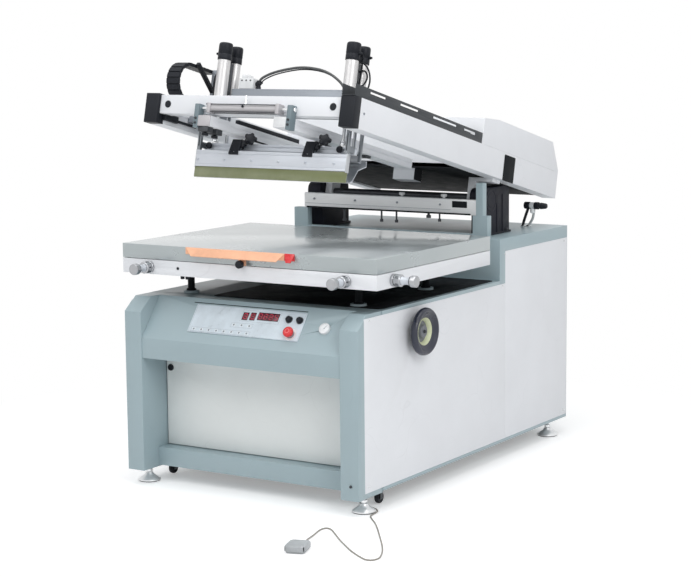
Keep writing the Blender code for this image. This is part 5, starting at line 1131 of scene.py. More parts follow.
class PRESS_OT_console(bpy.types.Operator):
    """Makes the control plate's windows and keys, the push buttons, emergency stop and gauge"""
    bl_idname = "press.console"
    bl_label = "Console"

    def execute(self, context):
        plate = dressed("control_plate", "print film", sizes().edge)
        plate.name = "control_plate_film"
        housing = bpy.data.objects["console_housing_dressed"]
        wells = [(across, BUTTON_UP, BUTTON_WELL) for node, across in BUTTON_PLACES]
        for across, up, radius in wells + [(*STOP_PLACE, STOP_WELL)]:
            for piece in (plate, housing):
                cut(piece, on_console(well(across, up, radius)))
        self.print_lines()
        for number, (across, up, width, digits) in enumerate(DISPLAYS):
            self.display(number, across, up, width, digits)
        for number, (across, up) in enumerate(LOW_KEYS + HIGH_KEYS):
            self.key(number, across, up)
        for node, across in BUTTON_PLACES:
            self.push_button(node, across)
        self.emergency_stop()
        self.gauge()
        return {"FINISHED"}

    def print_lines(self):
        line = 0.0006
        frames = [(-0.225, 0.0415, 0.225, 0.1475), (-0.216, 0.0430, 0.030, 0.0600),
                  (-0.060, 0.0720, 0.030, 0.0900), (-0.030, 0.0975, 0.128, 0.1420)]
        bars = []
        for left, low, right, high in frames:
            for corners in ((left, low, right, low + line), (left, high - line, right, high),
                            (left, low, left + line, high), (right - line, low, right, high)):
                bars.append(block("line", (corners[0], corners[1], PLATE_FACE),
                                  (corners[2], corners[3], PLATE_FACE + 0.0001)))
        finish(on_console(join("control_plate_lines", *bars)), "cabinet", "print line")
        gap = block("console_cover_gap", (-0.247, 0.1545, 0.0001), (0.226, 0.1570, 0.0006))
        finish(on_console(break_edges(gap, 0.0001)), "cabinet", "dark cavity")

    def display(self, number, across, up, width, digits):
        low = (across - width / 2, up - DISPLAY_HEIGHT / 2, PLATE_FACE)
        high = (across + width / 2, up + DISPLAY_HEIGHT / 2, PLATE_FACE + 0.0012)
        window = on_console(break_edges(block(f"display_window_{number}", low, high), 0.0004))
        finish(window, "cabinet", "display filter")
        pitch = width / digits
        bars = []
        for digit in range(digits):
            centre = across - width / 2 + pitch * (digit + 0.5)
            reach = min(pitch, 0.022) * 0.30
            rise = DISPLAY_HEIGHT * 0.32
            for over, above, flat in SEGMENTS:
                half = (reach * 0.8, 0.0013) if flat else (0.0013, rise * 0.42)
                spot = (centre + over * reach, up + above * rise)
                bars.append(block("segment", (spot[0] - half[0], spot[1] - half[1], high[2]),
                                  (spot[0] + half[0], spot[1] + half[1], high[2] + 0.0002)))
        finish(on_console(join(f"display_digits_{number}", *bars)), "cabinet", "display glow")

    def key(self, number, across, up):
        half = (KEY_SIZE[0] / 2, KEY_SIZE[1] / 2)
        pad = block(f"key_{number}", (across - half[0], up - half[1], PLATE_FACE),
                    (across + half[0], up + half[1], PLATE_FACE + 0.0009))
        round_edges(pad, 0.0025, runs_up)
        finish(on_console(break_edges(pad, 0.0004)), "cabinet", "key film")
        mark = turned(f"key_mark_{number}", [(0.0033, 0.0), (0.0031, 0.0002)],
                      (across, up, PLATE_FACE + 0.0009), sides=16)
        finish(on_console(mark), "cabinet", "key print")

    def push_button(self, node, across):
        high = box_in(node, CONSOLE_FRAME)[1]
        cap = turned(f"{node}_cap", [
            (BUTTON_RADIUS * 0.80, PLATE_FACE + 0.0006), (BUTTON_RADIUS * 0.80, high.z - 0.003),
            (BUTTON_RADIUS * 0.76, high.z - 0.0012), (BUTTON_RADIUS * 0.60, high.z),
            (BUTTON_RADIUS * 0.30, high.z - 0.0004)], (across, BUTTON_UP, 0))
        finish(on_console(cap), node, "black plastic", node)
        ring = turned(f"{node}_ring", [
            (BUTTON_RADIUS, 0), (BUTTON_RADIUS, 0.0020), (BUTTON_RADIUS * 0.93, 0.0028),
            (BUTTON_RADIUS * 0.85, 0.0028), (BUTTON_RADIUS * 0.84, 0.0010)], (across, BUTTON_UP, PLATE_FACE))
        cut(ring, well(across, BUTTON_UP, BUTTON_WELL))
        finish(on_console(ring), "cabinet", "dark steel")

    def emergency_stop(self):
        rise = box_in("emergency_stop", CONSOLE_FRAME)[1].z
        head = turned("emergency_stop_mushroom", [
            (STOP_RADIUS * 0.5, PLATE_FACE + 0.0006), (STOP_RADIUS * 0.5, rise * 0.45),
            (STOP_RADIUS * 0.9, rise * 0.5), (STOP_RADIUS, rise * 0.62), (STOP_RADIUS, rise * 0.78),
            (STOP_RADIUS * 0.93, rise * 0.91), (STOP_RADIUS * 0.75, rise * 0.985), (STOP_RADIUS * 0.5, rise)],
            (*STOP_PLACE, 0))
        finish(on_console(head), "emergency_stop", "stop red", "emergency_stop", ROUND_CREASE)
        # A paler red ring on the mushroom's top: painted highlight
        dish = turned("emergency_stop_dish", [
            (STOP_RADIUS * 0.50, rise - 0.0002), (STOP_RADIUS * 0.46, rise + 0.0001),
            (STOP_RADIUS * 0.20, rise - 0.0001)], (*STOP_PLACE, 0))
        finish(on_console(dish), "emergency_stop", "stop centre")
        ring = turned("emergency_stop_ring", [(STOP_RADIUS * 1.22, 0.0), (STOP_RADIUS * 1.20, 0.0006),
                                              (STOP_RADIUS * 1.00, 0.0006)], (*STOP_PLACE, PLATE_FACE))
        cut(ring, well(*STOP_PLACE, STOP_RADIUS * 0.81))
        finish(on_console(ring), "cabinet", "dial card")
        collar = turned("emergency_stop_collar", [(STOP_RADIUS * 0.82, 0), (STOP_RADIUS * 0.80, 0.0022),
                                                  (STOP_RADIUS * 0.62, 0.0030)], (*STOP_PLACE, PLATE_FACE))
        cut(collar, well(*STOP_PLACE, STOP_WELL))
        finish(on_console(collar), "cabinet", "grey plastic")

    def gauge(self):
        rise = box_in("pressure_gauge", CONSOLE_FRAME)[1].z
        place = (*GAUGE_PLACE, 0)
        case = turned("pressure_gauge_case", [
            (GAUGE_RADIUS, 0.0003), (GAUGE_RADIUS, rise * 0.75), (GAUGE_RADIUS * 0.97, rise),
            (GAUGE_RADIUS * 0.90, rise), (GAUGE_RADIUS * 0.87, rise * 0.72)], place)
        finish(on_console(case), "cabinet", "white plastic", "pressure_gauge")
        card = turned("pressure_gauge_card", [
            (GAUGE_RADIUS * 0.87, rise * 0.70), (GAUGE_RADIUS * 0.87, rise * 0.78)], place)
        finish(on_console(card), "cabinet", "dial card")
        marks = []
        top = rise * 0.78
        for step in range(21):
            turn = math.radians(225 - 13.5 * step)
            inner = GAUGE_RADIUS * (0.62 if step % 5 == 0 else 0.70)
            tick = block("tick", (inner, -0.0002, top), (GAUGE_RADIUS * 0.80, 0.0002, top + 0.0001))
            marks.append(put(tick, Matrix.Translation(place) @ Matrix.Rotation(turn, 4, "Z")))
        needle = block("needle", (-GAUGE_RADIUS * 0.2, -0.0005, top + 0.0003),
                       (GAUGE_RADIUS * 0.66, 0.0005, top + 0.0006))
        marks.append(put(needle, Matrix.Translation(place) @ Matrix.Rotation(math.radians(60), 4, "Z")))
        marks.append(turned("boss", [(0.0018, top), (0.0015, top + 0.0010)], place, sides=16))
        finish(on_console(join("pressure_gauge_marks", *marks)), "cabinet", "key print")


# Handwheel, feet and castors

WHEEL_PLACE = Vector((0.480, 0.375 - BED_CENTRE, 0.571 - BED_HEIGHT))
WHEEL_RADIUS = 0.082


class PRESS_OT_handwheel(bpy.types.Operator):
    """Makes the dished handwheel with its ring and hub"""
    bl_idname = "press.handwheel"
    bl_label = "Handwheel"

    def execute(self, context):
        radius = WHEEL_RADIUS
        wheel = turned("handwheel_rim", [
            (0.020, 0.0006), (0.020, 0.018), (0.034, 0.0195), (0.060, 0.0205), (0.072, 0.0225),
            (0.0790, 0.0270), (radius, 0.0335), (0.0814, 0.0405), (0.0790, 0.0460), (0.0755, 0.0492),
            (0.0715, 0.0498), (0.0680, 0.0480), (0.0640, 0.0435), (0.0590, 0.0395), (0.0530, 0.0372),
            (0.0492, 0.0368), (0.0472, 0.0352), (0.0440, 0.0300), (0.0360, 0.0200)], WHEEL_PLACE, (1, 0, 0),
            64)
        finish(wheel, "handwheel", "wheel plastic", "handwheel", ROUND_CREASE)
        # The ring's pale green is a painted highlight: the lit inner wall of the dish between rim and hub
        ring = turned("handwheel_ring", [
            (0.0380, 0.0190), (0.0440, 0.0290), (0.0474, 0.0350), (0.0476, 0.0366), (0.0466, 0.0374),
            (0.0452, 0.0366), (0.0374, 0.0232), (0.0370, 0.0216)], WHEEL_PLACE, (1, 0, 0), 64)
        finish(ring, "handwheel", "pale green ring", (), ROUND_CREASE)
        hub = turned("handwheel_hub", [
            (0.0369, 0.0218), (0.0340, 0.0222), (0.0262, 0.0230), (0.0240, 0.0250), (0.0230, 0.0310),
            (0.0212, 0.0336), (0.0160, 0.0344), (0.0150, 0.0338), (0.0090, 0.0338)],
            WHEEL_PLACE, (1, 0, 0), 48)
        finish(hub, "handwheel", "wheel hub")
        cap_screw("handwheel_screw", WHEEL_PLACE + Vector((0.0340, 0, 0)), (1, 0, 0), 0.0060, "handwheel",
                  "dark steel")
        flange = turned("handwheel_flange", [
            (0.0300, 0.0), (0.0300, 0.0003), (0.0290, 0.0005)], WHEEL_PLACE, (1, 0, 0))
        finish(flange, "cabinet", "dark steel")
        return {"FINISHED"}


class PRESS_OT_feet(bpy.types.Operator):
    """Makes the four levelling feet and the two front castors"""
    bl_idname = "press.feet"
    bl_label = "Feet and castors"

    def execute(self, context):
        for side, _ in SIDES:
            for end in ("front", "rear"):
                self.levelling_foot(f"{side}_{end}_foot")
            self.castor(side)
        return {"FINISHED"}

    def levelling_foot(self, node):
        low, high = vectors(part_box(node))
        centre = middle_of(low, high)
        radius = (high.x - low.x) / 2
        base = Vector((centre.x, centre.y, low.z))
        seat = 0.054 if "front" in node else 0.060
        pad = turned(f"{node}_pad", [
            (radius * 0.94, 0.0), (radius * 0.97, 0.001), (radius * 0.97, 0.0035)], base)
        finish(pad, body_of(node), "black rubber")
        cup = turned(f"{node}_cup", [
            (radius, 0.0032), (radius, 0.0065), (radius * 0.97, 0.0080), (radius * 0.66, 0.0165),
            (radius * 0.46, 0.0215), (radius * 0.36, 0.0270), (radius * 0.33, 0.0300),
            (radius * 0.30, 0.0300), (0.0065, 0.0302), (0.0065, 0.0330)], base)
        finish(cup, body_of(node), "foot chrome", node, ROUND_CREASE)
        nut = turned(f"{node}_nut", [(0.0120, 0.0335), (0.0120, 0.0420)], base, sides=6)
        finish(break_edges(nut, 0.0007), body_of(node), "bright plate")
        turns = [(0.0060 if step % 2 else 0.0067, 0.0420 + 0.0010 * step)
                 for step in range(int((high.z - low.z - 0.0425) / 0.0010))]
        finish(turned(f"{node}_thread", turns, base, sides=24), body_of(node), "bright plate")
        top_nut = turned(f"{node}_lock_nut", [(0.0120, seat - 0.0085), (0.0120, seat - 0.0005)], base,
                         sides=6)
        finish(break_edges(top_nut, 0.0007), body_of(node), "bright plate")

    def castor(self, side):
        dressed(f"{side}_castor_fork", "dark steel", 0.0005)
        node = f"{side}_castor_wheel"
        low, high = vectors(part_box(node))
        centre = middle_of(low, high)
        radius = (high.z - low.z) / 2
        half = (high.x - low.x) / 2
        place = centre - Vector((half, 0, 0))
        tyre = turned(f"{node}_tyre", [
            (radius * 0.62, 0.0008), (radius * 0.86, 0.0), (radius * 0.96, half * 0.25), (radius, half * 0.7),
            (radius, half * 1.3), (radius * 0.96, half * 1.75), (radius * 0.86, half * 2),
            (radius * 0.62, half * 2 - 0.0008), (radius * 0.55, half * 2 - 0.0020)], place, (1, 0, 0), 40)
        finish(tyre, body_of(node), "black rubber", node, ROUND_CREASE)


# Bed

KNOB_HEIGHT = 0.774
COLUMNS = tuple((side * 0.350, setback - BED_CENTRE) for side in (-1, 1) for setback in (0.218, 0.672))
RED_END = 0.1650
# The lay strip's two ends, how far its front falls, and how far each end slants in at its foot
LAY_ENDS = (-0.245, 0.205)
LAY_FALL = 0.026
LAY_TAPERS = (0.038, 0.017, 0.019)


class PRESS_OT_bed(bpy.types.Operator):
    """Dresses the slab and subframe and makes the column collars, knobs and lay strip"""
    bl_idname = "press.bed"
    bl_label = "Bed"

    def execute(self, context):
        dressed("bed_slab", "bed lacquer", 0.0016)
        subframe = dressed("bed_subframe", "white enamel", 0.0010)
        # The subframe's underside and lowest faces are painted near-black: painted shade under the bed
        paint_faces(subframe, "dark cavity", lambda at, facing: at.z < -0.104 or facing.z < -0.9)
        dressed("slide_plate", "drawn aluminium")
        deck = DECK_HEIGHT - BED_HEIGHT
        for number, (across, along) in enumerate(COLUMNS):
            # The collars are near-black: painted shade, so that they sink into the shade under the bed
            collar = turned(f"column_collar_{number}", [
                (0.024, 0.0003), (0.024, 0.004), (0.022, 0.0050), (0.018, 0.0055), (0.0170, 0.012),
                (0.0155, 0.014), (0.0132, 0.014)], (across, along, deck))
            finish(collar, "cabinet", "dark cavity")
        # A near-black sheet on the deck stands for the shade under the bed
        self.deck_mat(deck)
        self.subframe_fittings()
        for node in ("left_front_knob", "right_front_knob", "side_knob"):
            self.registration_knob(node)
        self.lay_strip()
        self.lay_knob()
        return {"FINISHED"}

    def registration_knob(self, node):
        low, high = vectors(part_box(node))
        if node == "side_knob":
            axis = Vector((1, 0, 0))
            place = Vector((0.5238, 0.152 - BED_CENTRE, KNOB_HEIGHT - BED_HEIGHT))
        else:
            axis = Vector((0, -1, 0))
            place = Vector((middle_of(low, high).x, 0.0517 - BED_CENTRE, KNOB_HEIGHT - BED_HEIGHT))
        flange = turned(f"{node}_flange", [
            (0.0205, 0.0003), (0.0210, 0.0012), (0.0210, 0.0085), (0.0200, 0.0098)], place, axis)
        finish(flange, body_of(node), "knob nickel")
        seat = turned(f"{node}_seat", [(0.0178, 0.0096), (0.0178, 0.0122)], place, axis)
        finish(seat, body_of(node), "black plastic")
        drum = turned(f"{node}_drum", [(0.0190, 0.0120), (0.0205, 0.0130), (0.0205, 0.0335), (0.0180, 0.0358),
                                       (0.0130, 0.0360)], place, axis, 48)
        for step in range(5):
            window = block("window", (0.0165, -0.0052, 0.0165), (0.0240, 0.0052, 0.0300))
            round_edges(window, 0.0030, runs_across)
            turn = Matrix.Rotation(math.radians(72 * step), 4, "Z")
            cut(drum, put(window, Matrix.Translation(place) @ aimed(axis) @ turn))
        finish(drum, body_of(node), "knob nickel")
        core = turned(f"{node}_core", [(0.0166, 0.0150), (0.0166, 0.0310)], place, axis)
        finish(core, body_of(node), "black plastic")
        neck = turned(f"{node}_neck", [(0.0140, 0.0358), (0.0130, 0.0400), (0.0122, 0.0520), (0.0135, 0.0640),
                                       (0.0150, 0.0682)], place, axis)
        finish(neck, body_of(node), "satin profile", node)
        band = turned(f"{node}_band", [(0.0160, 0.0680), (0.0178, 0.0690), (0.0178, 0.0722)], place, axis)
        finish(band, body_of(node), "black plastic")
        grip = turned(f"{node}_grip", [(0.0186, 0.0720), (0.0195, 0.0730), (0.0195, 0.0885), (0.0188, 0.0908),
                                       (0.0168, 0.0918)], place, axis, 40)

        def along_grip(at, run):
            return abs(run.dot(axis)) > 0.9 and 0.078 < (at - place).dot(axis) < 0.084

        pick(grip, "EDGE", along_grip)
        bpy.ops.mesh.bevel(offset=0.0005, segments=1, affect="EDGES")
        done()
        finish(grip, body_of(node), "knob nickel")
        face = turned(f"{node}_face", [(0.0166, 0.0914), (0.0158, 0.0919), (0.0120, 0.0912)], place, axis)
        finish(face, body_of(node), "carriage grey")

    def deck_mat(self, deck):
        """A near-black sheet on the deck between the columns: painted shade under the bed."""
        shade_sheet = block("deck_mat", (-0.230, -0.268, deck + 0.0003), (0.462, 0.540, deck + 0.0016))
        round_edges(shade_sheet, 0.020, runs_up)
        for across, along in COLUMNS:
            if across > 0:
                cut(shade_sheet, rod("clearance", (across, along, deck - 0.01), (across, along, deck + 0.01), 0.0300))
        finish(break_edges(shade_sheet, 0.0004), "cabinet", "dark cavity")

    def subframe_fittings(self):
        low = Vector(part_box("bed_subframe")[0])
        under = 0.749 - BED_HEIGHT
        for number, across in enumerate((-0.270, -0.249)):
            stud = turned(f"subframe_stud_{number}", [
                (0.0060, -0.0110), (0.0072, -0.0100), (0.0072, -0.0002)], (across, low.y + 0.010, under),
                sides=20)
            finish(stud, "bed_lift", "black plastic")
        port = turned("subframe_port", [(0.0052, 0.0), (0.0052, 0.0010), (0.0040, 0.0014)],
                      (-0.282, low.y, 0.775 - BED_HEIGHT), (0, -1, 0), 20)
        finish(port, "bed_lift", "black plastic")

    def lay_strip(self):
        for name, finish_name, low, high in (("lay_strip_plate", "peach plastic", -1.0, RED_END - 0.0006),
                                             ("lay_strip_end", "stop red", RED_END + 0.0006, 1.0)):
            part = drawn_from("lay_strip", name)
            for start, end in ((-2.0, low), (high, 2.0)):
                if abs(start - end) > 1.0001:
                    cut(part, block("waste", (start, -1, -1), (end, 0, 0.1)))
            if high < 1.0:
                self.slant(part, LAY_ENDS[0], LAY_TAPERS[0], -1)
                self.slant(part, high, -LAY_TAPERS[1], 1)
            else:
                self.slant(part, low, LAY_TAPERS[2], -1)
            finish(break_edges(part, 0.0006), body_of("lay_strip"), finish_name, "lay_strip")

    def slant(self, part, across, taper, hand):
        """Cuts an end of the strip away on a slant, from its top edge to so much further in at its foot."""
        left, right = sorted((0.0, hand * 0.09))
        waste = block("waste", (left, -0.50, -0.09), (right, -0.3940, 0.04))
        lean = Matrix.Rotation(-math.atan2(taper, LAY_FALL), 4, "Y")
        cut(part, put(waste, Matrix.Translation((across, 0, 0)) @ lean))

    def lay_knob(self):
        low, high = vectors(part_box("lay_knob"))
        centre = middle_of(low, high)
        place = Vector((centre.x, 0.0498 - BED_CENTRE, centre.z))
        knob = turned("lay_knob_grip", [
            (0.0070, 0.0), (0.0070, 0.0040), (0.0115, 0.0060), (0.0135, 0.0085), (0.0135, 0.0215),
            (0.0122, 0.0242), (0.0095, 0.0250)], place, (0, -1, 0), 28)
        finish(knob, "lay_knob", "black plastic", "lay_knob")


# Head support and the air regulator

RAIL_BOLTS = (-0.332, -0.146, 0.041, 0.227)
# Place across, the foot's height over the floor, and radius
RAIL_LEGS = ((-0.202, 0.858, 0.0075), (-0.035, 0.862, 0.0065), (0.031, 0.862, 0.0065), (0.171, 0.886, 0.0090),
             (0.218, 0.874, 0.0060))
REGULATOR_AXIS = Vector((0.350, 1.452 - BED_CENTRE, 0.9040 - BED_HEIGHT))


class PRESS_OT_rear_support(bpy.types.Operator):
    """Dresses the rear rail, its bolts and fittings, the pivot blocks and the regulator"""
    bl_idname = "press.rear_support"
    bl_label = "Rear rail and pivots"

    def execute(self, context):
        dressed("rear_rail", "rail aluminium", 0.0010)
        self.rail_fittings()
        for side, hand in SIDES:
            dressed(f"{side}_pivot_block", "black casting", 0.0020)
            self.pivot_bolts(side, hand)
        self.regulator()
        return {"FINISHED"}

    def rail_fittings(self):
        low, high = vectors(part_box("rear_rail"))
        face = low.y
        for number, across in enumerate(RAIL_BOLTS):
            cap_screw(f"rear_rail_bolt_{number}", (across, face, 0.940 - BED_HEIGHT), (0, -1, 0), 0.0040,
                      "cabinet", "carriage grey")
        window = block("rear_rail_window", (0.278, face - 0.0006, 0.931 - BED_HEIGHT),
                       (0.341, face + 0.001, 0.955 - BED_HEIGHT))
        finish(break_edges(window, 0.0004), "cabinet", "dark cavity")
        for number, up in enumerate((0.922, 0.9625)):
            line = block(f"rear_rail_line_{number}", (low.x + 0.004, face - 0.0003, up - BED_HEIGHT - 0.0007),
                         (0.272, face + 0.0005, up - BED_HEIGHT + 0.0007))
            finish(break_edges(line, 0.0002), "cabinet", "carriage grey")
        strip = block("rear_rail_strip", (low.x + 0.01, face - 0.0012, low.z - 0.0002),
                      (high.x - 0.022, face + 0.004, low.z + 0.0060))
        finish(break_edges(strip, 0.0006), "cabinet", "dark cavity")
        self.rail_legs(low, face)
        for number, across in enumerate((0.054, 0.235)):
            cup = turned(f"rear_rail_cup_{number}", [
                (0.0050, 0.0), (0.0050, 0.006), (0.0110, 0.008), (0.0120, 0.014), (0.0100, 0.017)],
                (across, middle_of(low, high).y, high.z - 0.0005), sides=28)
            finish(cup, "cabinet", "white plastic")

    def rail_legs(self, low, face):
        """Valve stems and small fittings that hang below the rail."""
        back = face + 0.012
        for number, (across, bottom, radius) in enumerate(RAIL_LEGS):
            stem = turned(f"rear_rail_leg_{number}", [
                (radius, 0.0), (radius, 0.010), (radius * 0.55, 0.0115),
                (radius * 0.55, low.z - (bottom - BED_HEIGHT) + 0.0015)],
                (across, back, bottom - BED_HEIGHT), sides=20)
            finish(stem, "cabinet", "dark steel")

    def pivot_bolts(self, side, hand):
        low, high = vectors(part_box(f"{side}_pivot_block"))
        for number, share in enumerate((0.12, 0.88)):
            place = (high.x if hand > 0 else low.x, low.y + (high.y - low.y) * share, low.z + 0.012)
            cap_screw(f"{side}_pivot_bolt_{number}", place, (hand, 0, 0), 0.0060, "cabinet", "dark steel")
        outer = high.x if hand > 0 else low.x
        housing = turned(f"{side}_pivot_housing", [
            (0.0430, -0.0010), (0.0430, 0.0010), (0.0420, 0.0016), (0.0340, 0.0016), (0.0330, 0.0006),
            (0.0300, 0.0006), (0.0290, 0.0014), (0.0230, 0.0014)], (outer, PIVOT.y, PIVOT.z - 0.006),
            (hand, 0, 0), 48)
        finish(housing, "cabinet", "black casting", (), math.radians(30))
        ends = sorted((outer, outer - hand * 0.058))
        foot = block(f"{side}_pivot_foot", (ends[0] - 0.002, low.y - 0.008, low.z + 0.0003),
                     (ends[1] + 0.002, high.y + 0.012, low.z + 0.0085))
        finish(break_edges(foot, 0.0020, 3), "cabinet", "black casting")
        for number, along in enumerate((low.y + 0.105, low.y + 0.150)):
            left, right = sorted((outer - hand * 0.001, outer + hand * 0.0024))
            rib = block(f"{side}_pivot_rib_{number}", (left, along, low.z + 0.008),
                        (right, along + 0.010, high.z - 0.030))
            finish(break_edges(rib, 0.0016, 3), "cabinet", "black casting")

    def regulator(self):
        body = body_of("air_regulator")
        parts = (("cap", 0.0, 0.0230, 0.0138, "black plastic"),
                 ("middle", 0.0230, 0.0430, 0.0125, "white plastic"),
                 ("ring", 0.0430, 0.0610, 0.0142, "black plastic"),
                 ("neck", 0.0610, 0.0670, 0.0105, "dark steel"))
        for name, start, end, radius, finish_name in parts:
            piece = turned(f"regulator_{name}", [
                (radius * 0.94, start + 0.0002), (radius, start + 0.0012), (radius, end - 0.0012),
                (radius * 0.94, end - 0.0002)], REGULATOR_AXIS, (1, 0, 0))
            finish(piece, body, finish_name, "air_regulator")
        knob = turned("regulator_knob", [
            (0.0115, 0.0672), (0.0130, 0.0690), (0.0105, 0.0900), (0.0085, 0.0940), (0.0050, 0.0950)],
            REGULATOR_AXIS, (1, 0, 0), 24)
        finish(knob, body, "black plastic")
        bowl = turned("regulator_bowl", [
            (0.0055, -0.0300), (0.0085, -0.0280), (0.0095, -0.0240), (0.0095, -0.0110)],
            REGULATOR_AXIS + Vector((0.033, 0, 0)))
        finish(bowl, body, "dial card")
        deck = Vector((0.350, REGULATOR_AXIS.y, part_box("rear_cover")[1][2]))
        hose("regulator_riser", [
            deck + Vector((-0.008, 0, 0.0044)), deck + Vector((-0.005, 0, 0.018)),
            deck + Vector((0.004, 0, 0.044)), REGULATOR_AXIS + Vector((0.016, 0, -0.006))], 0.0056, body,
            "black rubber", 24)
        hose("regulator_outlet", [
            deck + Vector((0.013, 0.004, 0.0044)), deck + Vector((0.021, 0.004, 0.014)),
            deck + Vector((0.033, 0.004, 0.036)), REGULATOR_AXIS + Vector((0.040, 0.002, -0.010))], 0.0050,
            body, "hose clear", 24)
        for number, across in enumerate((-0.008, 0.013)):
            flange = turned(f"regulator_flange_{number}", [
                (0.0100, 0.0003), (0.0100, 0.0026), (0.0088, 0.0036), (0.0066, 0.0060)],
                deck + Vector((across, 0.004 * number, 0)))
            finish(flange, body, "bright plate")


# Head

CAP_LENGTH = 0.040
ARM_IN, ARM_OUT = 0.3715, 0.4275
ARM_LOW, ARM_HIGH = 0.0715, 0.1740
ARM_FRONT = -1.083
BEAM_PLUGS = (-0.338, 0.338)
# The cast gearbox, from one side to the other and from front to back, in the head's frame
GEARBOX = (0.060, 0.150, -0.180, -0.120)


def in_gearbox(at, facing):
    """Tells the cast gearbox's faces from the rest of the drive."""
    spot = HEAD_FRAME.inverted() @ at
    return GEARBOX[0] < spot.x < GEARBOX[1] and GEARBOX[2] < spot.y < GEARBOX[3]


class PRESS_OT_head(bpy.types.Operator):
    """Dresses the arms, front beam, hood, motor, tray and the screen clamp cylinder"""
    bl_idname = "press.head"
    bl_label = "Head"

    def execute(self, context):
        for side, hand in SIDES:
            self.arm(side, hand)
        dressed("front_beam", "white enamel", 0.0015)
        dressed("pivot_shaft", "dark steel")
        dressed("rear_hood", "white enamel", 0.0010)
        # The drive is near-black: the motor's own black, and painted shade on its plate under the hood; the
        # gearbox stays grey
        motor = dressed("drive_motor", "dark cavity", 0.0010)
        paint_faces(motor, "gearbox grey", in_gearbox)
        dressed("cable_tray", "tray plastic", 0.0006)
        self.plugs()
        self.clamp_cylinder()
        return {"FINISHED"}

    def arm(self, side, hand):
        arm = drawn_from(f"{side}_arm", f"{side}_arm_dressed")
        reach = sorted((hand * (ARM_IN - 0.02), hand * (ARM_OUT + 0.01)))
        waste = in_head(block("waste", (reach[0], ARM_FRONT - 0.1, ARM_LOW - 0.05),
                              (reach[1], ARM_FRONT + CAP_LENGTH, ARM_HIGH + 0.05)))
        cut(arm, waste)
        finish(break_edges(arm, 0.0015, 3), "head", "white enamel", f"{side}_arm")
        ends = sorted((hand * (ARM_IN + 0.0002), hand * ARM_OUT))
        cap = block(f"{side}_arm_cap", (ends[0], ARM_FRONT, ARM_LOW),
                    (ends[1], ARM_FRONT + CAP_LENGTH - 0.0006, ARM_HIGH))
        round_edges(cap, 0.004, lambda at, run: at.y < ARM_FRONT + 0.001)
        finish(in_head(break_edges(cap, 0.0006)), "head", "black plastic")

    def plugs(self):
        low, high = box_in("front_beam", HEAD_FRAME)
        for number, across in enumerate(BEAM_PLUGS):
            plug = turned(f"front_beam_plug_{number}", [
                (0.0125, -0.002), (0.0125, 0.0012), (0.0110, 0.0024), (0.0080, 0.0026)],
                (across, low.y, middle_of(low, high).z), (0, -1, 0))
            finish(in_head(plug), "head", "black plastic")
        plate = block("right_arm_window", (ARM_OUT - 0.001, -0.006, 0.070), (ARM_OUT + 0.0012, 0.082, 0.167))
        round_edges(plate, 0.004, runs_across)
        finish(in_head(break_edges(plate, 0.0004)), "head", "dark cavity")
        in_head(cap_screw("right_arm_button", (ARM_OUT, -1.020, 0.125), (1, 0, 0), 0.0042, "head",
                          "carriage grey", "cross"))
        stop = block("left_arm_stop", (-ARM_IN + 0.0002, -1.050, 0.085), (-ARM_IN + 0.0150, -0.975, 0.109))
        head_part(stop, "head", "black plastic", 0.0030)
        stop_bar = block("left_arm_stop_bar", (-ARM_IN + 0.0002, -0.976, 0.0900),
                         (-ARM_IN + 0.0060, -0.856, 0.0990))
        head_part(stop_bar, "head", "black plastic", 0.0012)

    def clamp_cylinder(self):
        low, high = box_in("clamp_cylinder", HEAD_FRAME)
        axis = middle_of(low, high)
        radius = (high.z - low.z) / 2
        body = body_of("clamp_cylinder")
        tube = rod("clamp_cylinder_tube", (low.x + 0.006, axis.y, axis.z), (high.x - 0.006, axis.y, axis.z),
                   radius * 0.80)
        finish(in_head(tube), body, "tie grey", "clamp_cylinder")
        for name, start, end in (("left_end", low.x, low.x + 0.014), ("right_end", high.x - 0.014, high.x)):
            plate = block(f"clamp_cylinder_{name}", (start, low.y, low.z), (end, high.y, high.z))
            head_part(plate, body, "tie grey", 0.0016)
        for number, (back, up) in enumerate(((-1, 1), (-1, -1), (1, 1), (1, -1))):
            place = Vector((0, axis.y + back * radius * 0.74, axis.z + up * radius * 0.74))
            tie = rod(f"clamp_cylinder_tie_{number}", place + Vector((low.x + 0.002, 0, 0)),
                      place + Vector((high.x - 0.002, 0, 0)), 0.0019, 16)
            finish(in_head(tie), body, "dark steel")
            nut = turned(f"clamp_cylinder_nut_{number}", [(0.0042, 0.0), (0.0042, 0.0030)],
                         place + Vector((low.x + 0.0004, 0, 0)), (-1, 0, 0), 6)
            finish(in_head(nut), body, "black plastic")
        top = Vector((0, axis.y, high.z - 0.003))
        fitting = turned("clamp_cylinder_fitting", [
            (0.0062, 0.0), (0.0062, 0.006), (0.0040, 0.0066), (0.0040, 0.012), (0.0052, 0.0125),
            (0.0052, 0.019), (0.0030, 0.0195), (0.0030, 0.032)], top, sides=20)
        finish(in_head(fitting), body, "bright plate")
        port = turned("clamp_cylinder_port", [(0.0048, 0.0), (0.0048, 0.0016), (0.0030, 0.0018)],
                      Vector((0, low.y + 0.0025, axis.z + 0.006)), (0, -1, 0), 20)
        finish(in_head(port), body, "black plastic")


FRAME_BAR_IN, FRAME_BAR_OUT = 0.130, 0.190
FRAME_BAR_LOW, FRAME_BAR_HIGH = 0.060, 0.096
FRAME_BAR_START, FRAME_BAR_END = -1.1003, -0.270
CLAMP_ALONG, CLAMP_UP = -1.0873, 0.122
SCREEN_CLAMPS = {"left": (-1.078, -1.022), "right": (-0.560,)}
SQUEEGEE_FRONT = -0.940


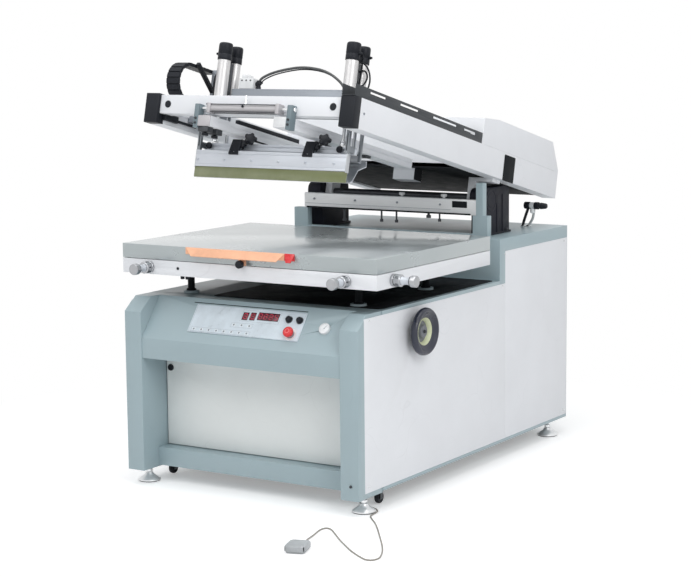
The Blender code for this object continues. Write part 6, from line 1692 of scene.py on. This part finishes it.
class PRESS_OT_frame_arms(bpy.types.Operator):
    """Makes the two screen frame arms, their brackets and the cylinder's rods"""
    bl_idname = "press.frame_arms"
    bl_label = "Screen frame arms"

    def execute(self, context):
        for side, hand in SIDES:
            self.bar(side, hand)
            self.bracket(side, hand)
        strip = block("left_frame_arm_strip", (-FRAME_BAR_IN - 0.016, -0.930, FRAME_BAR_HIGH + 0.0003),
                      (-FRAME_BAR_IN - 0.001, -0.545, FRAME_BAR_HIGH + 0.0150))
        head_part(strip, "left_frame_arm", "black plastic", 0.0010)
        for side, hand in SIDES:
            self.screen_clamps(side, hand, SCREEN_CLAMPS[side])
        return {"FINISHED"}

    def screen_clamps(self, side, hand, places):
        """The lip under the bar that takes the screen's frame, and its clamping screws."""
        left, right = sorted((hand * (FRAME_BAR_IN + 0.002), hand * (FRAME_BAR_IN + 0.0045)))
        lip = block(f"{side}_frame_arm_lip", (left, -0.840, FRAME_BAR_LOW - 0.0060),
                    (right, -0.600, FRAME_BAR_LOW))
        finish(in_head(break_edges(lip, 0.0006)), f"{side}_frame_arm", "black plastic")
        for number, along in enumerate(places):
            across = hand * 0.160
            # The squeegee's clamps pass under this one, so it is flat and has no hanging screw
            over_squeegee = along > SQUEEGEE_FRONT
            depth = 0.0085 if over_squeegee else 0.0185
            jaw = block(f"{side}_frame_clamp_{number}",
                        (across - 0.020, along - 0.017, FRAME_BAR_LOW - depth),
                        (across + 0.020, along + 0.017, FRAME_BAR_LOW - 0.0003))
            round_edges(jaw, 0.0030, runs_up)
            head_part(jaw, f"{side}_frame_arm", "dark steel", 0.0010)
            if over_squeegee:
                continue
            screw = turned(f"{side}_frame_clamp_screw_{number}", [
                (0.0110, -0.0300), (0.0120, -0.0285), (0.0120, -0.0225), (0.0090, -0.0205), (0.0045, -0.0200),
                (0.0045, -0.0180)], (across, along, FRAME_BAR_LOW), sides=24)
            finish(in_head(screw), f"{side}_frame_arm", "black plastic")

    def bar(self, side, hand):
        ends = sorted((hand * FRAME_BAR_IN, hand * FRAME_BAR_OUT))
        bar = block(f"{side}_frame_arm_bar", (ends[0], FRAME_BAR_START + 0.003, FRAME_BAR_LOW),
                    (ends[1], FRAME_BAR_END - 0.003, FRAME_BAR_HIGH))
        wall = 0.003
        cut(bar, block("hollow", (ends[0] + wall, -2, FRAME_BAR_LOW + wall),
                       (ends[1] - wall, 0, FRAME_BAR_HIGH - wall)))
        middle = (FRAME_BAR_LOW + FRAME_BAR_HIGH) / 2
        for across in ends:
            groove = block("groove", (across - 0.0012, -2, middle - 0.0035),
                           (across + 0.0012, 0, middle + 0.0035))
            cut(bar, groove)
        bore = hand * (FRAME_BAR_IN + FRAME_BAR_OUT) / 2
        for along in (-0.98, -0.80, -0.62, -0.44):
            cut(bar, rod("hole", (bore, along, FRAME_BAR_HIGH - wall * 1.5),
                         (bore, along, FRAME_BAR_HIGH + wall), 0.0045, 20))
        head_part(bar, f"{side}_frame_arm", "white enamel", 0.0008, f"{side}_frame_arm")
        for name, along in (("front", FRAME_BAR_START), ("rear", FRAME_BAR_END - 0.003)):
            plug = block(f"{side}_frame_arm_{name}_plug", (ends[0], along, FRAME_BAR_LOW),
                         (ends[1], along + 0.003, FRAME_BAR_HIGH))
            head_part(plug, f"{side}_frame_arm", "tie grey" if hand < 0 else "white plastic", 0.0008)

    def bracket(self, side, hand):
        ends = sorted((hand * 0.180, hand * 0.198))
        plate = block(f"{side}_frame_arm_bracket", (ends[0], -1.1015, 0.0535), (ends[1], -1.0703, 0.1360))
        round_edges(plate, 0.003, lambda at, run: abs(run.x) > 0.9 and at.z > 0.1)
        head_part(plate, f"{side}_frame_arm", "bracket grey", 0.0010)
        middle = hand * 0.189
        nut = turned(f"{side}_frame_arm_nut", [(0.0080, 0.0), (0.0080, 0.0055), (0.0070, 0.0062)],
                     (ends[1] if hand > 0 else ends[0], CLAMP_ALONG, CLAMP_UP), (hand, 0, 0), 6)
        finish(in_head(nut), f"{side}_frame_arm", "bright plate")
        ram = rod(f"{side}_frame_arm_rod", (hand * 0.140, CLAMP_ALONG, CLAMP_UP),
                  (middle, CLAMP_ALONG, CLAMP_UP), 0.0048, 24)
        finish(in_head(ram), f"{side}_frame_arm", "bright plate")
        for number, up in enumerate((0.070, 0.086)):
            screw = cap_screw(f"{side}_frame_arm_screw_{number}", (middle, -1.1015, up), (0, -1, 0), 0.0042,
                              f"{side}_frame_arm", "dark steel")
            in_head(screw)


# Carriage

BEAM_TOP = 0.2372
CYLINDER_ACROSS = 0.266
CYLINDER_SEAT, CYLINDER_TOP, CYLINDER_CAP = 0.1633, 0.3955, 0.062
# Where each kind of lift cylinder stands along the arm, its barrel's radius and its cap's
CYLINDERS = {"squeegee": (-0.873, 0.0225, 0.025), "flood": (-0.803, 0.0185, 0.021)}
# The energy chain's loop: its centre along and up, then its radius, its ends and its two sides
CHAIN_CENTRE = (-0.924, 0.2437)
CHAIN_RADIUS = 0.0627
CHAIN_LOWER_END, CHAIN_UPPER_END = -0.740, -0.775
CHAIN_OUT, CHAIN_IN = -0.4200, -0.3663
CHAIN_THICKNESS = 0.0120


def in_head_points(points):
    return [HEAD_FRAME @ Vector(point) for point in points]


class PRESS_OT_carriage(bpy.types.Operator):
    """Makes the carriage beam's fittings, the four lift cylinders and their hoses"""
    bl_idname = "press.carriage"
    bl_label = "Carriage"

    def execute(self, context):
        dressed("carriage_beam", "carriage grey", 0.0010)
        for side, hand in SIDES:
            for kind in CYLINDERS:
                self.cylinder(f"{side}_{kind}_cylinder", hand, *CYLINDERS[kind])
            self.cylinder_bracket(side, hand)
        self.valve_block()
        self.arched_hose()
        self.hose_loops()
        return {"FINISHED"}

    def cylinder(self, node, hand, along, radius, cap_radius):
        place = Vector((hand * CYLINDER_ACROSS, along, CYLINDER_SEAT))
        rise = CYLINDER_TOP - CYLINDER_SEAT
        neck = rise - CYLINDER_CAP
        barrel = turned(f"{node}_barrel", [
            (radius * 1.08, 0.0), (radius * 1.10, 0.001), (radius * 1.10, 0.016), (radius * 1.06, 0.018),
            (radius, 0.0185), (radius, neck + 0.002)], place, sides=48)
        finish(in_head(barrel), "carriage", "barrel aluminium", node)
        cap = turned(f"{node}_cap", [
            (cap_radius * 0.97, neck), (cap_radius, neck + 0.0012), (cap_radius, neck + 0.0200),
            (cap_radius * 0.975, neck + 0.0206), (cap_radius * 0.975, neck + 0.0224),
            (cap_radius, neck + 0.0230), (cap_radius, rise - 0.0110), (cap_radius * 0.975, rise - 0.0060),
            (cap_radius * 0.90, rise - 0.0022), (cap_radius * 0.78, rise - 0.0006),
            (cap_radius * 0.60, rise - 0.0001), (cap_radius * 0.30, rise - 0.0001),
            (cap_radius * 0.26, rise - 0.0020)], place, sides=48)
        finish(in_head(cap), "carriage", "black plastic", (), ROUND_CREASE)
        port = turned(f"{node}_port", [
            (0.0055, -0.002), (0.0055, 0.006), (0.0042, 0.0065), (0.0042, 0.012)],
            place + Vector((0, 0, neck + CYLINDER_CAP * 0.38)) + Vector((hand * cap_radius * 0.96, 0, 0)),
            (hand, 0, 0), 20)
        finish(in_head(port), "carriage", "black plastic")

    def cylinder_bracket(self, side, hand):
        across = hand * CYLINDER_ACROSS
        plate = block(f"{side}_cylinder_bracket", (across - 0.006, -0.851, CYLINDER_SEAT),
                      (across + 0.006, -0.8225, CYLINDER_TOP - CYLINDER_CAP - 0.004))
        head_part(plate, "carriage", "dark steel", 0.0010)
        hose(f"{side}_cylinder_line", in_head_points([
            (across + hand * 0.014, -0.840, CYLINDER_SEAT + 0.002), (across + hand * 0.0165, -0.8395, 0.200),
            (across + hand * 0.0165, -0.8390, 0.260), (across + hand * 0.020, -0.8410, 0.310),
            (across + hand * 0.0300, -0.8560, 0.3450), (across + hand * 0.0350, -0.8720, 0.3565)]),
            sizes().hose * 0.9, "carriage", "black rubber", 28)

    def valve_block(self):
        low = Vector((-0.208, -0.851, BEAM_TOP))
        casing = block("valve_block", low, (-0.148, -0.809, 0.2760))
        head_part(casing, "carriage", "white plastic", 0.0022)
        for number in range(3):
            screw = cap_screw(f"valve_block_screw_{number}", (-0.196 + 0.018 * number, -0.851, 0.2670),
                              (0, -1, 0), 0.0030, "carriage", "dark steel", "cross")
            in_head(screw)
        coil = block("valve_coil", (-0.200, -0.849, 0.2760), (-0.172, -0.815, 0.2880))
        head_part(coil, "carriage", "white plastic", 0.0016)
        elbow = turned("valve_elbow", [
            (0.0085, 0.0), (0.0085, 0.010), (0.0070, 0.011), (0.0070, 0.018), (0.0095, 0.019),
            (0.0095, 0.030), (0.0080, 0.032)], (-0.1365, -0.830, BEAM_TOP), sides=24)
        finish(in_head(elbow), "carriage", "black plastic")
        link = rod("valve_elbow_arm", (-0.149, -0.830, 0.2580), (-0.134, -0.830, 0.2580), 0.0075, 24)
        finish(in_head(link), "carriage", "black plastic")

    def arched_hose(self):
        points = ((-0.1365, -0.830, 0.2640), (-0.130, -0.830, 0.2760), (-0.112, -0.830, 0.2870),
                  (-0.080, -0.830, 0.2990), (-0.034, -0.830, 0.3095), (0.020, -0.830, 0.3170),
                  (0.069, -0.830, 0.3165), (0.119, -0.830, 0.3085), (0.160, -0.830, 0.2930),
                  (0.196, -0.830, 0.2700), (0.214, -0.830, 0.2520), (0.222, -0.830, BEAM_TOP))
        hose("arched_air_hose", in_head_points(points), 0.0045, "carriage", "hose grey", 60, "air_hose")
        twin = [(x + 0.004, y + 0.0065, z - 0.0055) for x, y, z in points[1:-1]]
        hose("arched_signal_lead", in_head_points([
            (-0.128, -0.8235, 0.2600), *twin, (0.226, -0.8235, BEAM_TOP)]), 0.0022, "carriage",
            "black rubber", 60)
        collar = turned("arched_hose_collar", [
            (0.0085, 0.0), (0.0085, 0.007), (0.0065, 0.0085), (0.0062, 0.014)], (0.222, -0.830, BEAM_TOP),
            sides=24)
        finish(in_head(collar), "carriage", "black plastic")

    def hose_loops(self):
        radius = sizes().hose
        small = ((0.250, -0.830, BEAM_TOP), (0.253, -0.829, 0.262), (0.262, -0.828, 0.290),
                 (0.278, -0.827, 0.307), (0.296, -0.827, 0.303), (0.304, -0.828, 0.284),
                 (0.297, -0.829, 0.264), (0.283, -0.830, 0.252), (0.272, -0.831, 0.258),
                 (0.270, -0.834, 0.272))
        large = ((0.236, -0.842, BEAM_TOP), (0.238, -0.842, 0.270), (0.246, -0.840, 0.308),
                 (0.266, -0.838, 0.331), (0.292, -0.838, 0.329), (0.313, -0.838, 0.306),
                 (0.322, -0.838, 0.274), (0.318, -0.838, 0.244), (0.306, -0.838, 0.215),
                 (0.298, -0.838, 0.190), (0.296, -0.838, 0.1632))
        hose("right_hose_loop_small", in_head_points(small), radius, "carriage", "black rubber", 60)
        hose("right_hose_loop_large", in_head_points(large), radius, "carriage", "black rubber", 60)


class PRESS_OT_energy_chain(bpy.types.Operator):
    """Makes the energy chain link by link round its loop, and the stay of its upper end"""
    bl_idname = "press.energy_chain"
    bl_label = "Energy chain"

    def execute(self, context):
        link = self.link()
        places = self.places()
        for number, place in enumerate(places):
            twin = copy_of(link, f"chain_link_{number:02d}", HEAD_FRAME @ place)
            finish(twin, "carriage", "black plastic", "energy_chain" if number == 0 else ())
        bpy.data.objects.remove(link, do_unlink=True)
        stay = block("chain_stay", (-0.3658, -0.0070, -0.0770), (-0.3520, 0.0070, 0.0880))
        lean = Matrix.Translation((0, -0.8320, 0.2610)) @ Matrix.Rotation(math.radians(52), 4, "X")
        finish(put(break_edges(stay, 0.0010, 3), HEAD_FRAME @ lean), "carriage", "black plastic")
        hose("chain_lead", in_head_points([
            (-0.357, -0.775, 0.303), (-0.345, -0.800, 0.297), (-0.335, -0.822, 0.276),
            (-0.325, -0.835, 0.245), (-0.318, -0.840, 0.210), (-0.314, -0.842, 0.1650)]), 0.0050, "carriage",
            "black rubber", 36)
        return {"FINISHED"}

    def link(self):
        """One link lying along Y at the origin: two waisted side plates joined by two flat bars."""
        pitch = sizes().chain_pitch
        half = (CHAIN_IN - CHAIN_OUT) / 2 - 0.0005
        high = CHAIN_THICKNESS / 2
        parts = []
        for hand in (1, -1):
            ends = sorted((hand * half, hand * (half - 0.0035)))
            plate = block("plate", (ends[0], -pitch * 0.56, -high), (ends[1], pitch * 0.56, high))
            round_edges(plate, high * 0.9, runs_across, 4)
            parts.append(break_edges(plate, 0.0005, 1, math.radians(60)))
            dimple = turned("pin", [(high * 0.45, 0.0), (high * 0.40, 0.0005)], (hand * half, 0, 0),
                            (hand, 0, 0), 16)
            parts.append(dimple)
        for up in (1, -1):
            bar = block("bar", (-half + 0.003, -pitch * 0.44, up * high - (0.0016 if up > 0 else 0.0)),
                        (half - 0.003, pitch * 0.44, up * high + (0.0 if up > 0 else 0.0016)))
            parts.append(bar)
        parts.append(block("web", (-half + 0.004, -pitch * 0.54, -high * 0.45),
                           (half - 0.004, pitch * 0.54, high * 0.45)))
        return join("chain_link", *parts)

    def places(self):
        """A link every pitch along the lower run, round the loop and back along the upper run."""
        along, up = CHAIN_CENTRE
        lower = CHAIN_LOWER_END - along
        upper = CHAIN_UPPER_END - along
        bend = math.pi * CHAIN_RADIUS
        total = lower + bend + upper
        count = int(total / sizes().chain_pitch)
        middle = (CHAIN_IN + CHAIN_OUT) / 2
        found = []
        for number in range(count):
            at = (number + 0.5) * total / count
            if at < lower:
                spot, turn = (CHAIN_LOWER_END - at, up - CHAIN_RADIUS), 0.0
            elif at < lower + bend:
                turn = (at - lower) / CHAIN_RADIUS
                spot = (along - CHAIN_RADIUS * math.sin(turn), up - CHAIN_RADIUS * math.cos(turn))
            else:
                spot, turn = (along + at - lower - bend, up + CHAIN_RADIUS), math.pi
            found.append(Matrix.Translation((middle, spot[0], spot[1])) @ Matrix.Rotation(-turn, 4, "X"))
        return found


# Squeegee and flood bar

PROFILE_LEFT, PROFILE_RIGHT = -0.300, 0.324
PROFILE_FACE, PROFILE_BACK = -0.928, -0.910
PROFILE_MIDDLE = (PROFILE_FACE + PROFILE_BACK) / 2
PROFILE_LOW, PROFILE_HIGH = -0.053, 0.0044
BLADE_TIP = -0.0905
# The squeegee's two clamps
HOLDERS = (-0.140, 0.165)
HOLDER_WIDTH = 0.039
# Both tilt knobs keep clear of the screen frame arms, which slide outward by 20 mm.
TILT_KNOBS = ((0.040, -0.8950, 0.0460), (0.062, -0.9290, 0.0437))
PROFILE_SCREWS = (-0.290, -0.177, -0.062, 0.049, 0.161, 0.275)


def star_knob(name, place, axis, radius, body):
    """A five-lobed clamping knob on its threaded stem."""
    core = turned(f"{name}_core", [(radius * 0.50, 0.0), (radius * 0.50, 0.004), (radius * 0.72, 0.006),
                                   (radius * 0.74, 0.018), (radius * 0.55, 0.020)], sides=30)
    lobes = []
    for number in range(5):
        spot = Matrix.Rotation(math.radians(72 * number), 4, "Z") @ Vector((radius * 0.72, 0, 0))
        lobes.append(turned("lobe", [
            (radius * 0.26, 0.0052), (radius * 0.30, 0.0075), (radius * 0.30, 0.0165),
            (radius * 0.24, 0.0190)], spot, sides=20))
    stem = turned("stem", [(radius * 0.22, -0.016), (radius * 0.22, 0.001)], sides=16)
    knob = join(name, core, *lobes, stem)
    put(knob, HEAD_FRAME @ Matrix.Translation(place) @ aimed(axis))
    return finish(knob, body, "black plastic")


class PRESS_OT_squeegee(bpy.types.Operator):
    """Makes the squeegee's profile, blade, yoke, angled clamps and star knobs"""
    bl_idname = "press.squeegee"
    bl_label = "Squeegee"

    def execute(self, context):
        self.profile()
        self.blade()
        self.yoke()
        for number, across in enumerate(HOLDERS):
            self.clamp(number, across)
        return {"FINISHED"}

    def profile(self):
        bar = block("squeegee_profile", (PROFILE_LEFT, PROFILE_FACE, PROFILE_LOW),
                    (PROFILE_RIGHT, PROFILE_BACK, PROFILE_HIGH))
        cut(bar, block("groove", (-1, PROFILE_MIDDLE - 0.0052, PROFILE_LOW - 0.01),
                       (1, PROFILE_MIDDLE + 0.0052, PROFILE_LOW + 0.016)))
        cut(bar, block("line", (-1, PROFILE_FACE - 0.001, PROFILE_HIGH - 0.0125),
                       (1, PROFILE_FACE + 0.0010, PROFILE_HIGH - 0.0110)))
        cut(bar, block("line", (-1, PROFILE_FACE - 0.001, PROFILE_LOW + 0.0075),
                       (1, PROFILE_FACE + 0.0008, PROFILE_LOW + 0.0090)))
        head_part(bar, "squeegee", "satin profile", 0.0009, "squeegee_bar")
        for number, across in enumerate(PROFILE_SCREWS):
            screw = cap_screw(f"squeegee_profile_screw_{number}", (across, PROFILE_FACE - 0.0001, -0.029),
                              (0, -1, 0), 0.0040, "squeegee", "satin profile")
            in_head(screw)
        for name, start in (("left", PROFILE_LEFT - 0.0004), ("right", PROFILE_RIGHT - 0.0026)):
            plate = block(f"squeegee_{name}_end", (start, PROFILE_FACE - 0.0006, PROFILE_LOW - 0.004),
                          (start + 0.0030, PROFILE_BACK + 0.0006, PROFILE_HIGH + 0.002))
            head_part(plate, "squeegee", "brushed steel", 0.0006)

    def blade(self):
        half = 0.0045
        blade = block("squeegee_blade_cast", (PROFILE_LEFT - 0.002, PROFILE_MIDDLE - half, BLADE_TIP),
                      (PROFILE_RIGHT - 0.001, PROFILE_MIDDLE + half, PROFILE_LOW + 0.014))
        round_edges(blade, 0.0030, lambda at, run: abs(run.x) > 0.9 and at.z < BLADE_TIP + 0.001, 5)
        head_part(blade, "squeegee", "cast blade", 0.0006, "squeegee_blade")

    def yoke(self):
        for side, hand in SIDES:
            place = Vector((hand * CYLINDER_ACROSS, -0.873, 0.0))
            ram = turned(f"squeegee_{side}_rod", [(0.0060, 0.018), (0.0060, 0.260)], place, sides=24)
            finish(in_head(ram), "squeegee", "bright plate")
            boss = turned(f"squeegee_{side}_boss", [
                (0.0125, 0.0362), (0.0125, 0.0460), (0.0105, 0.0475), (0.0105, 0.0560), (0.0070, 0.0575)],
                place, sides=6)
            finish(in_head(break_edges(boss, 0.0008)), "squeegee", "bright plate")
        bar = block("squeegee_yoke", (-0.300, -0.8845, 0.0122), (0.318, -0.8612, 0.0360))
        cut(bar, block("slot", (-1, -0.8765, 0.0310), (1, -0.8695, 0.0500)))
        cut(bar, block("slot", (-1, -0.8900, 0.0210), (1, -0.8825, 0.0275)))
        head_part(bar, "squeegee", "satin profile", 0.0008)
        for side, start in (("left", PROFILE_LEFT + 0.0005), ("right", PROFILE_RIGHT - 0.0135)):
            guide = block(f"squeegee_{side}_guide", (start, PROFILE_FACE + 0.0004, PROFILE_HIGH - 0.002),
                          (start + 0.013, PROFILE_FACE + 0.013, 0.0880))
            cut(guide, block("slot", (start + 0.0045, -1, 0.018), (start + 0.0085, -0.5, 0.076)))
            head_part(guide, "squeegee", "guide steel", 0.0009)
            foot = block(f"squeegee_{side}_guide_foot", (start, PROFILE_FACE + 0.012, 0.0135),
                         (start + 0.013, -0.884, 0.0345))
            head_part(foot, "squeegee", "guide steel", 0.0009)
        for side, hand in SIDES:
            ball = turned(f"squeegee_{side}_yoke_knob", [
                (0.0045, 0.0), (0.0045, 0.0050), (0.0095, 0.0065), (0.0120, 0.0110), (0.0120, 0.0150),
                (0.0095, 0.0195), (0.0050, 0.0210)], (hand * 0.2710, -0.8846, 0.0250), (0, -1, 0), 28)
            finish(in_head(ball), "squeegee", "black plastic", (), ROUND_CREASE)

    def clamp(self, number, across):
        left, right = across - HOLDER_WIDTH / 2, across + HOLDER_WIDTH / 2
        jaw = block(f"squeegee_clamp_{number}", (left, -0.0050, -0.0360), (right, 0.0050, 0.0230))
        round_edges(jaw, 0.0040, runs_across)
        cut(jaw, rod("socket", (across, -0.0060, -0.0290), (across, -0.0020, -0.0290), 0.0040, 20))
        lean = Matrix.Translation((0, -0.9170, 0.0250)) @ Matrix.Rotation(math.radians(-20), 4, "X")
        put(jaw, HEAD_FRAME @ lean)
        finish(break_edges(jaw, 0.0008, 3), "squeegee", "black plastic")
        web = block(f"squeegee_clamp_web_{number}", (across - 0.0060, -0.9140, 0.0140),
                    (across + 0.0060, -0.8840, 0.0330))
        head_part(web, "squeegee", "guide steel", 0.0008)
        star_knob(f"squeegee_star_knob_{number}", (across + 0.012, -0.8950, 0.0260), (0.35, -0.80, 0.45),
                  0.0150, "squeegee")
        spot = Vector((across, 0, 0)) + Vector(TILT_KNOBS[number])
        star_knob(f"squeegee_tilt_knob_{number}", spot, (0.55, -0.65, 0.45), 0.0225, "squeegee")
        stem = rod(f"squeegee_tilt_stem_{number}", (across + 0.008, -0.8880, 0.0300),
                   spot + Vector((0.004, -0.001, -0.003)), 0.0040, 20)
        finish(in_head(stem), "squeegee", "dark steel")


class PRESS_OT_flood_bar(bpy.types.Operator):
    """Dresses the flood bar's scoop and makes its rod bosses and end guides"""
    bl_idname = "press.flood_bar"
    bl_label = "Flood bar"

    def execute(self, context):
        scoop = dressed("flood_bar", "brushed steel", 0.0006)
        paint_faces(scoop, "satin profile", lambda at, facing: abs(facing.x) > 0.9)
        for side, hand in SIDES:
            boss = turned(f"flood_{side}_boss", [
                (0.0115, 0.0183), (0.0115, 0.0275), (0.0095, 0.0290), (0.0095, 0.0370), (0.0068, 0.0385)],
                (hand * CYLINDER_ACROSS, -0.803, 0.0), sides=6)
            finish(in_head(break_edges(boss, 0.0008)), "flood", "bright plate")
            left, right = sorted((hand * 0.300, hand * 0.311))
            guide = block(f"flood_{side}_guide", (left, -0.8245, -0.0050), (right, -0.8160, 0.0950))
            head_part(guide, "flood", "guide steel", 0.0008)
        return {"FINISHED"}


class PRESS_OT_pedal(bpy.types.Operator):
    """Dresses the pedal's base and cover"""
    bl_idname = "press.pedal"
    bl_label = "Pedal"

    def execute(self, context):
        base = block("pedal_base_plate", (-0.0298, -0.0388, 0.0), (0.0298, 0.0360, 0.0088))
        round_edges(base, 0.0110, runs_up, 5)
        finish(put(break_edges(base, 0.0010, 3), PEDAL_FRAME), "cabinet", "pedal plastic", "pedal_base")
        inlet = turned("pedal_inlet", [
            (0.0038, 0.0), (0.0038, 0.0080), (0.0044, 0.0085), (0.0044, 0.0110), (0.0036, 0.0115),
            (0.0034, 0.0205)], (0, 0.0355, 0.0045), (0, 1, 0), 24)
        finish(put(inlet, PEDAL_FRAME), "cabinet", "black rubber")
        cover = block("pedal_cover_shell", (-0.0342, -0.0435, 0.0062), (0.0342, 0.0410, 0.0243))
        round_edges(cover, 0.0150, runs_up, 6)
        round_edges(cover, 0.0050, lambda at, run: at.z > 0.0240 and abs(run.z) < 0.1, 4)
        cut(cover, block("hollow", (-0.0310, -0.0402, -0.01), (0.0310, 0.0378, 0.0215)),
            block("notch", (-0.0070, 0.0300, -0.01), (0.0070, 0.0500, 0.0102)))
        for number in range(6):
            along = -0.0290 + 0.0075 * number
            cut(cover, block("tread", (-0.0230, along, 0.0238), (0.0230, along + 0.0016, 0.0300)))
        finish(put(break_edges(cover, 0.0005), PEDAL_FRAME), "pedal_cover", "pedal plastic", "pedal_cover")
        return {"FINISHED"}


STEPS = (PRESS_OT_stage, PRESS_OT_pedal_cord, PRESS_OT_cabinet, PRESS_OT_console, PRESS_OT_handwheel,
         PRESS_OT_feet, PRESS_OT_bed, PRESS_OT_rear_support, PRESS_OT_head, PRESS_OT_frame_arms,
         PRESS_OT_carriage, PRESS_OT_energy_chain, PRESS_OT_squeegee, PRESS_OT_flood_bar, PRESS_OT_pedal)


class PRESS_PT_sidebar(bpy.types.Panel):
    """Lists the press's settings and the steps that make it"""
    bl_idname = "PRESS_PT_sidebar"
    bl_label = "Screen press"
    bl_space_type = "VIEW_3D"
    bl_region_type = "UI"
    bl_category = "Press"

    def draw(self, context):
        scene = context.scene
        for group in (scene.press_paints, scene.press_sizes, scene.press_stage):
            for label in group.__annotations__:
                self.layout.prop(group, label)
        for step in STEPS:
            self.layout.operator(step.bl_idname)


CLASSES = (PressPaints, PressSizes, PressStage, *STEPS, PRESS_PT_sidebar)


def register():
    for cls in CLASSES:
        bpy.utils.register_class(cls)
    bpy.types.Scene.press_paints = PointerProperty(type=PressPaints)
    bpy.types.Scene.press_sizes = PointerProperty(type=PressSizes)
    bpy.types.Scene.press_stage = PointerProperty(type=PressStage)


def unregister():
    del bpy.types.Scene.press_stage
    del bpy.types.Scene.press_sizes
    del bpy.types.Scene.press_paints
    for cls in reversed(CLASSES):
        bpy.utils.unregister_class(cls)


def main():
    register()
    for step in STEPS:
        family, action = step.bl_idname.split(".")
        getattr(getattr(bpy.ops, family), action)()
    bpy.context.view_layer.update()


if __name__ == "__main__":
    main()
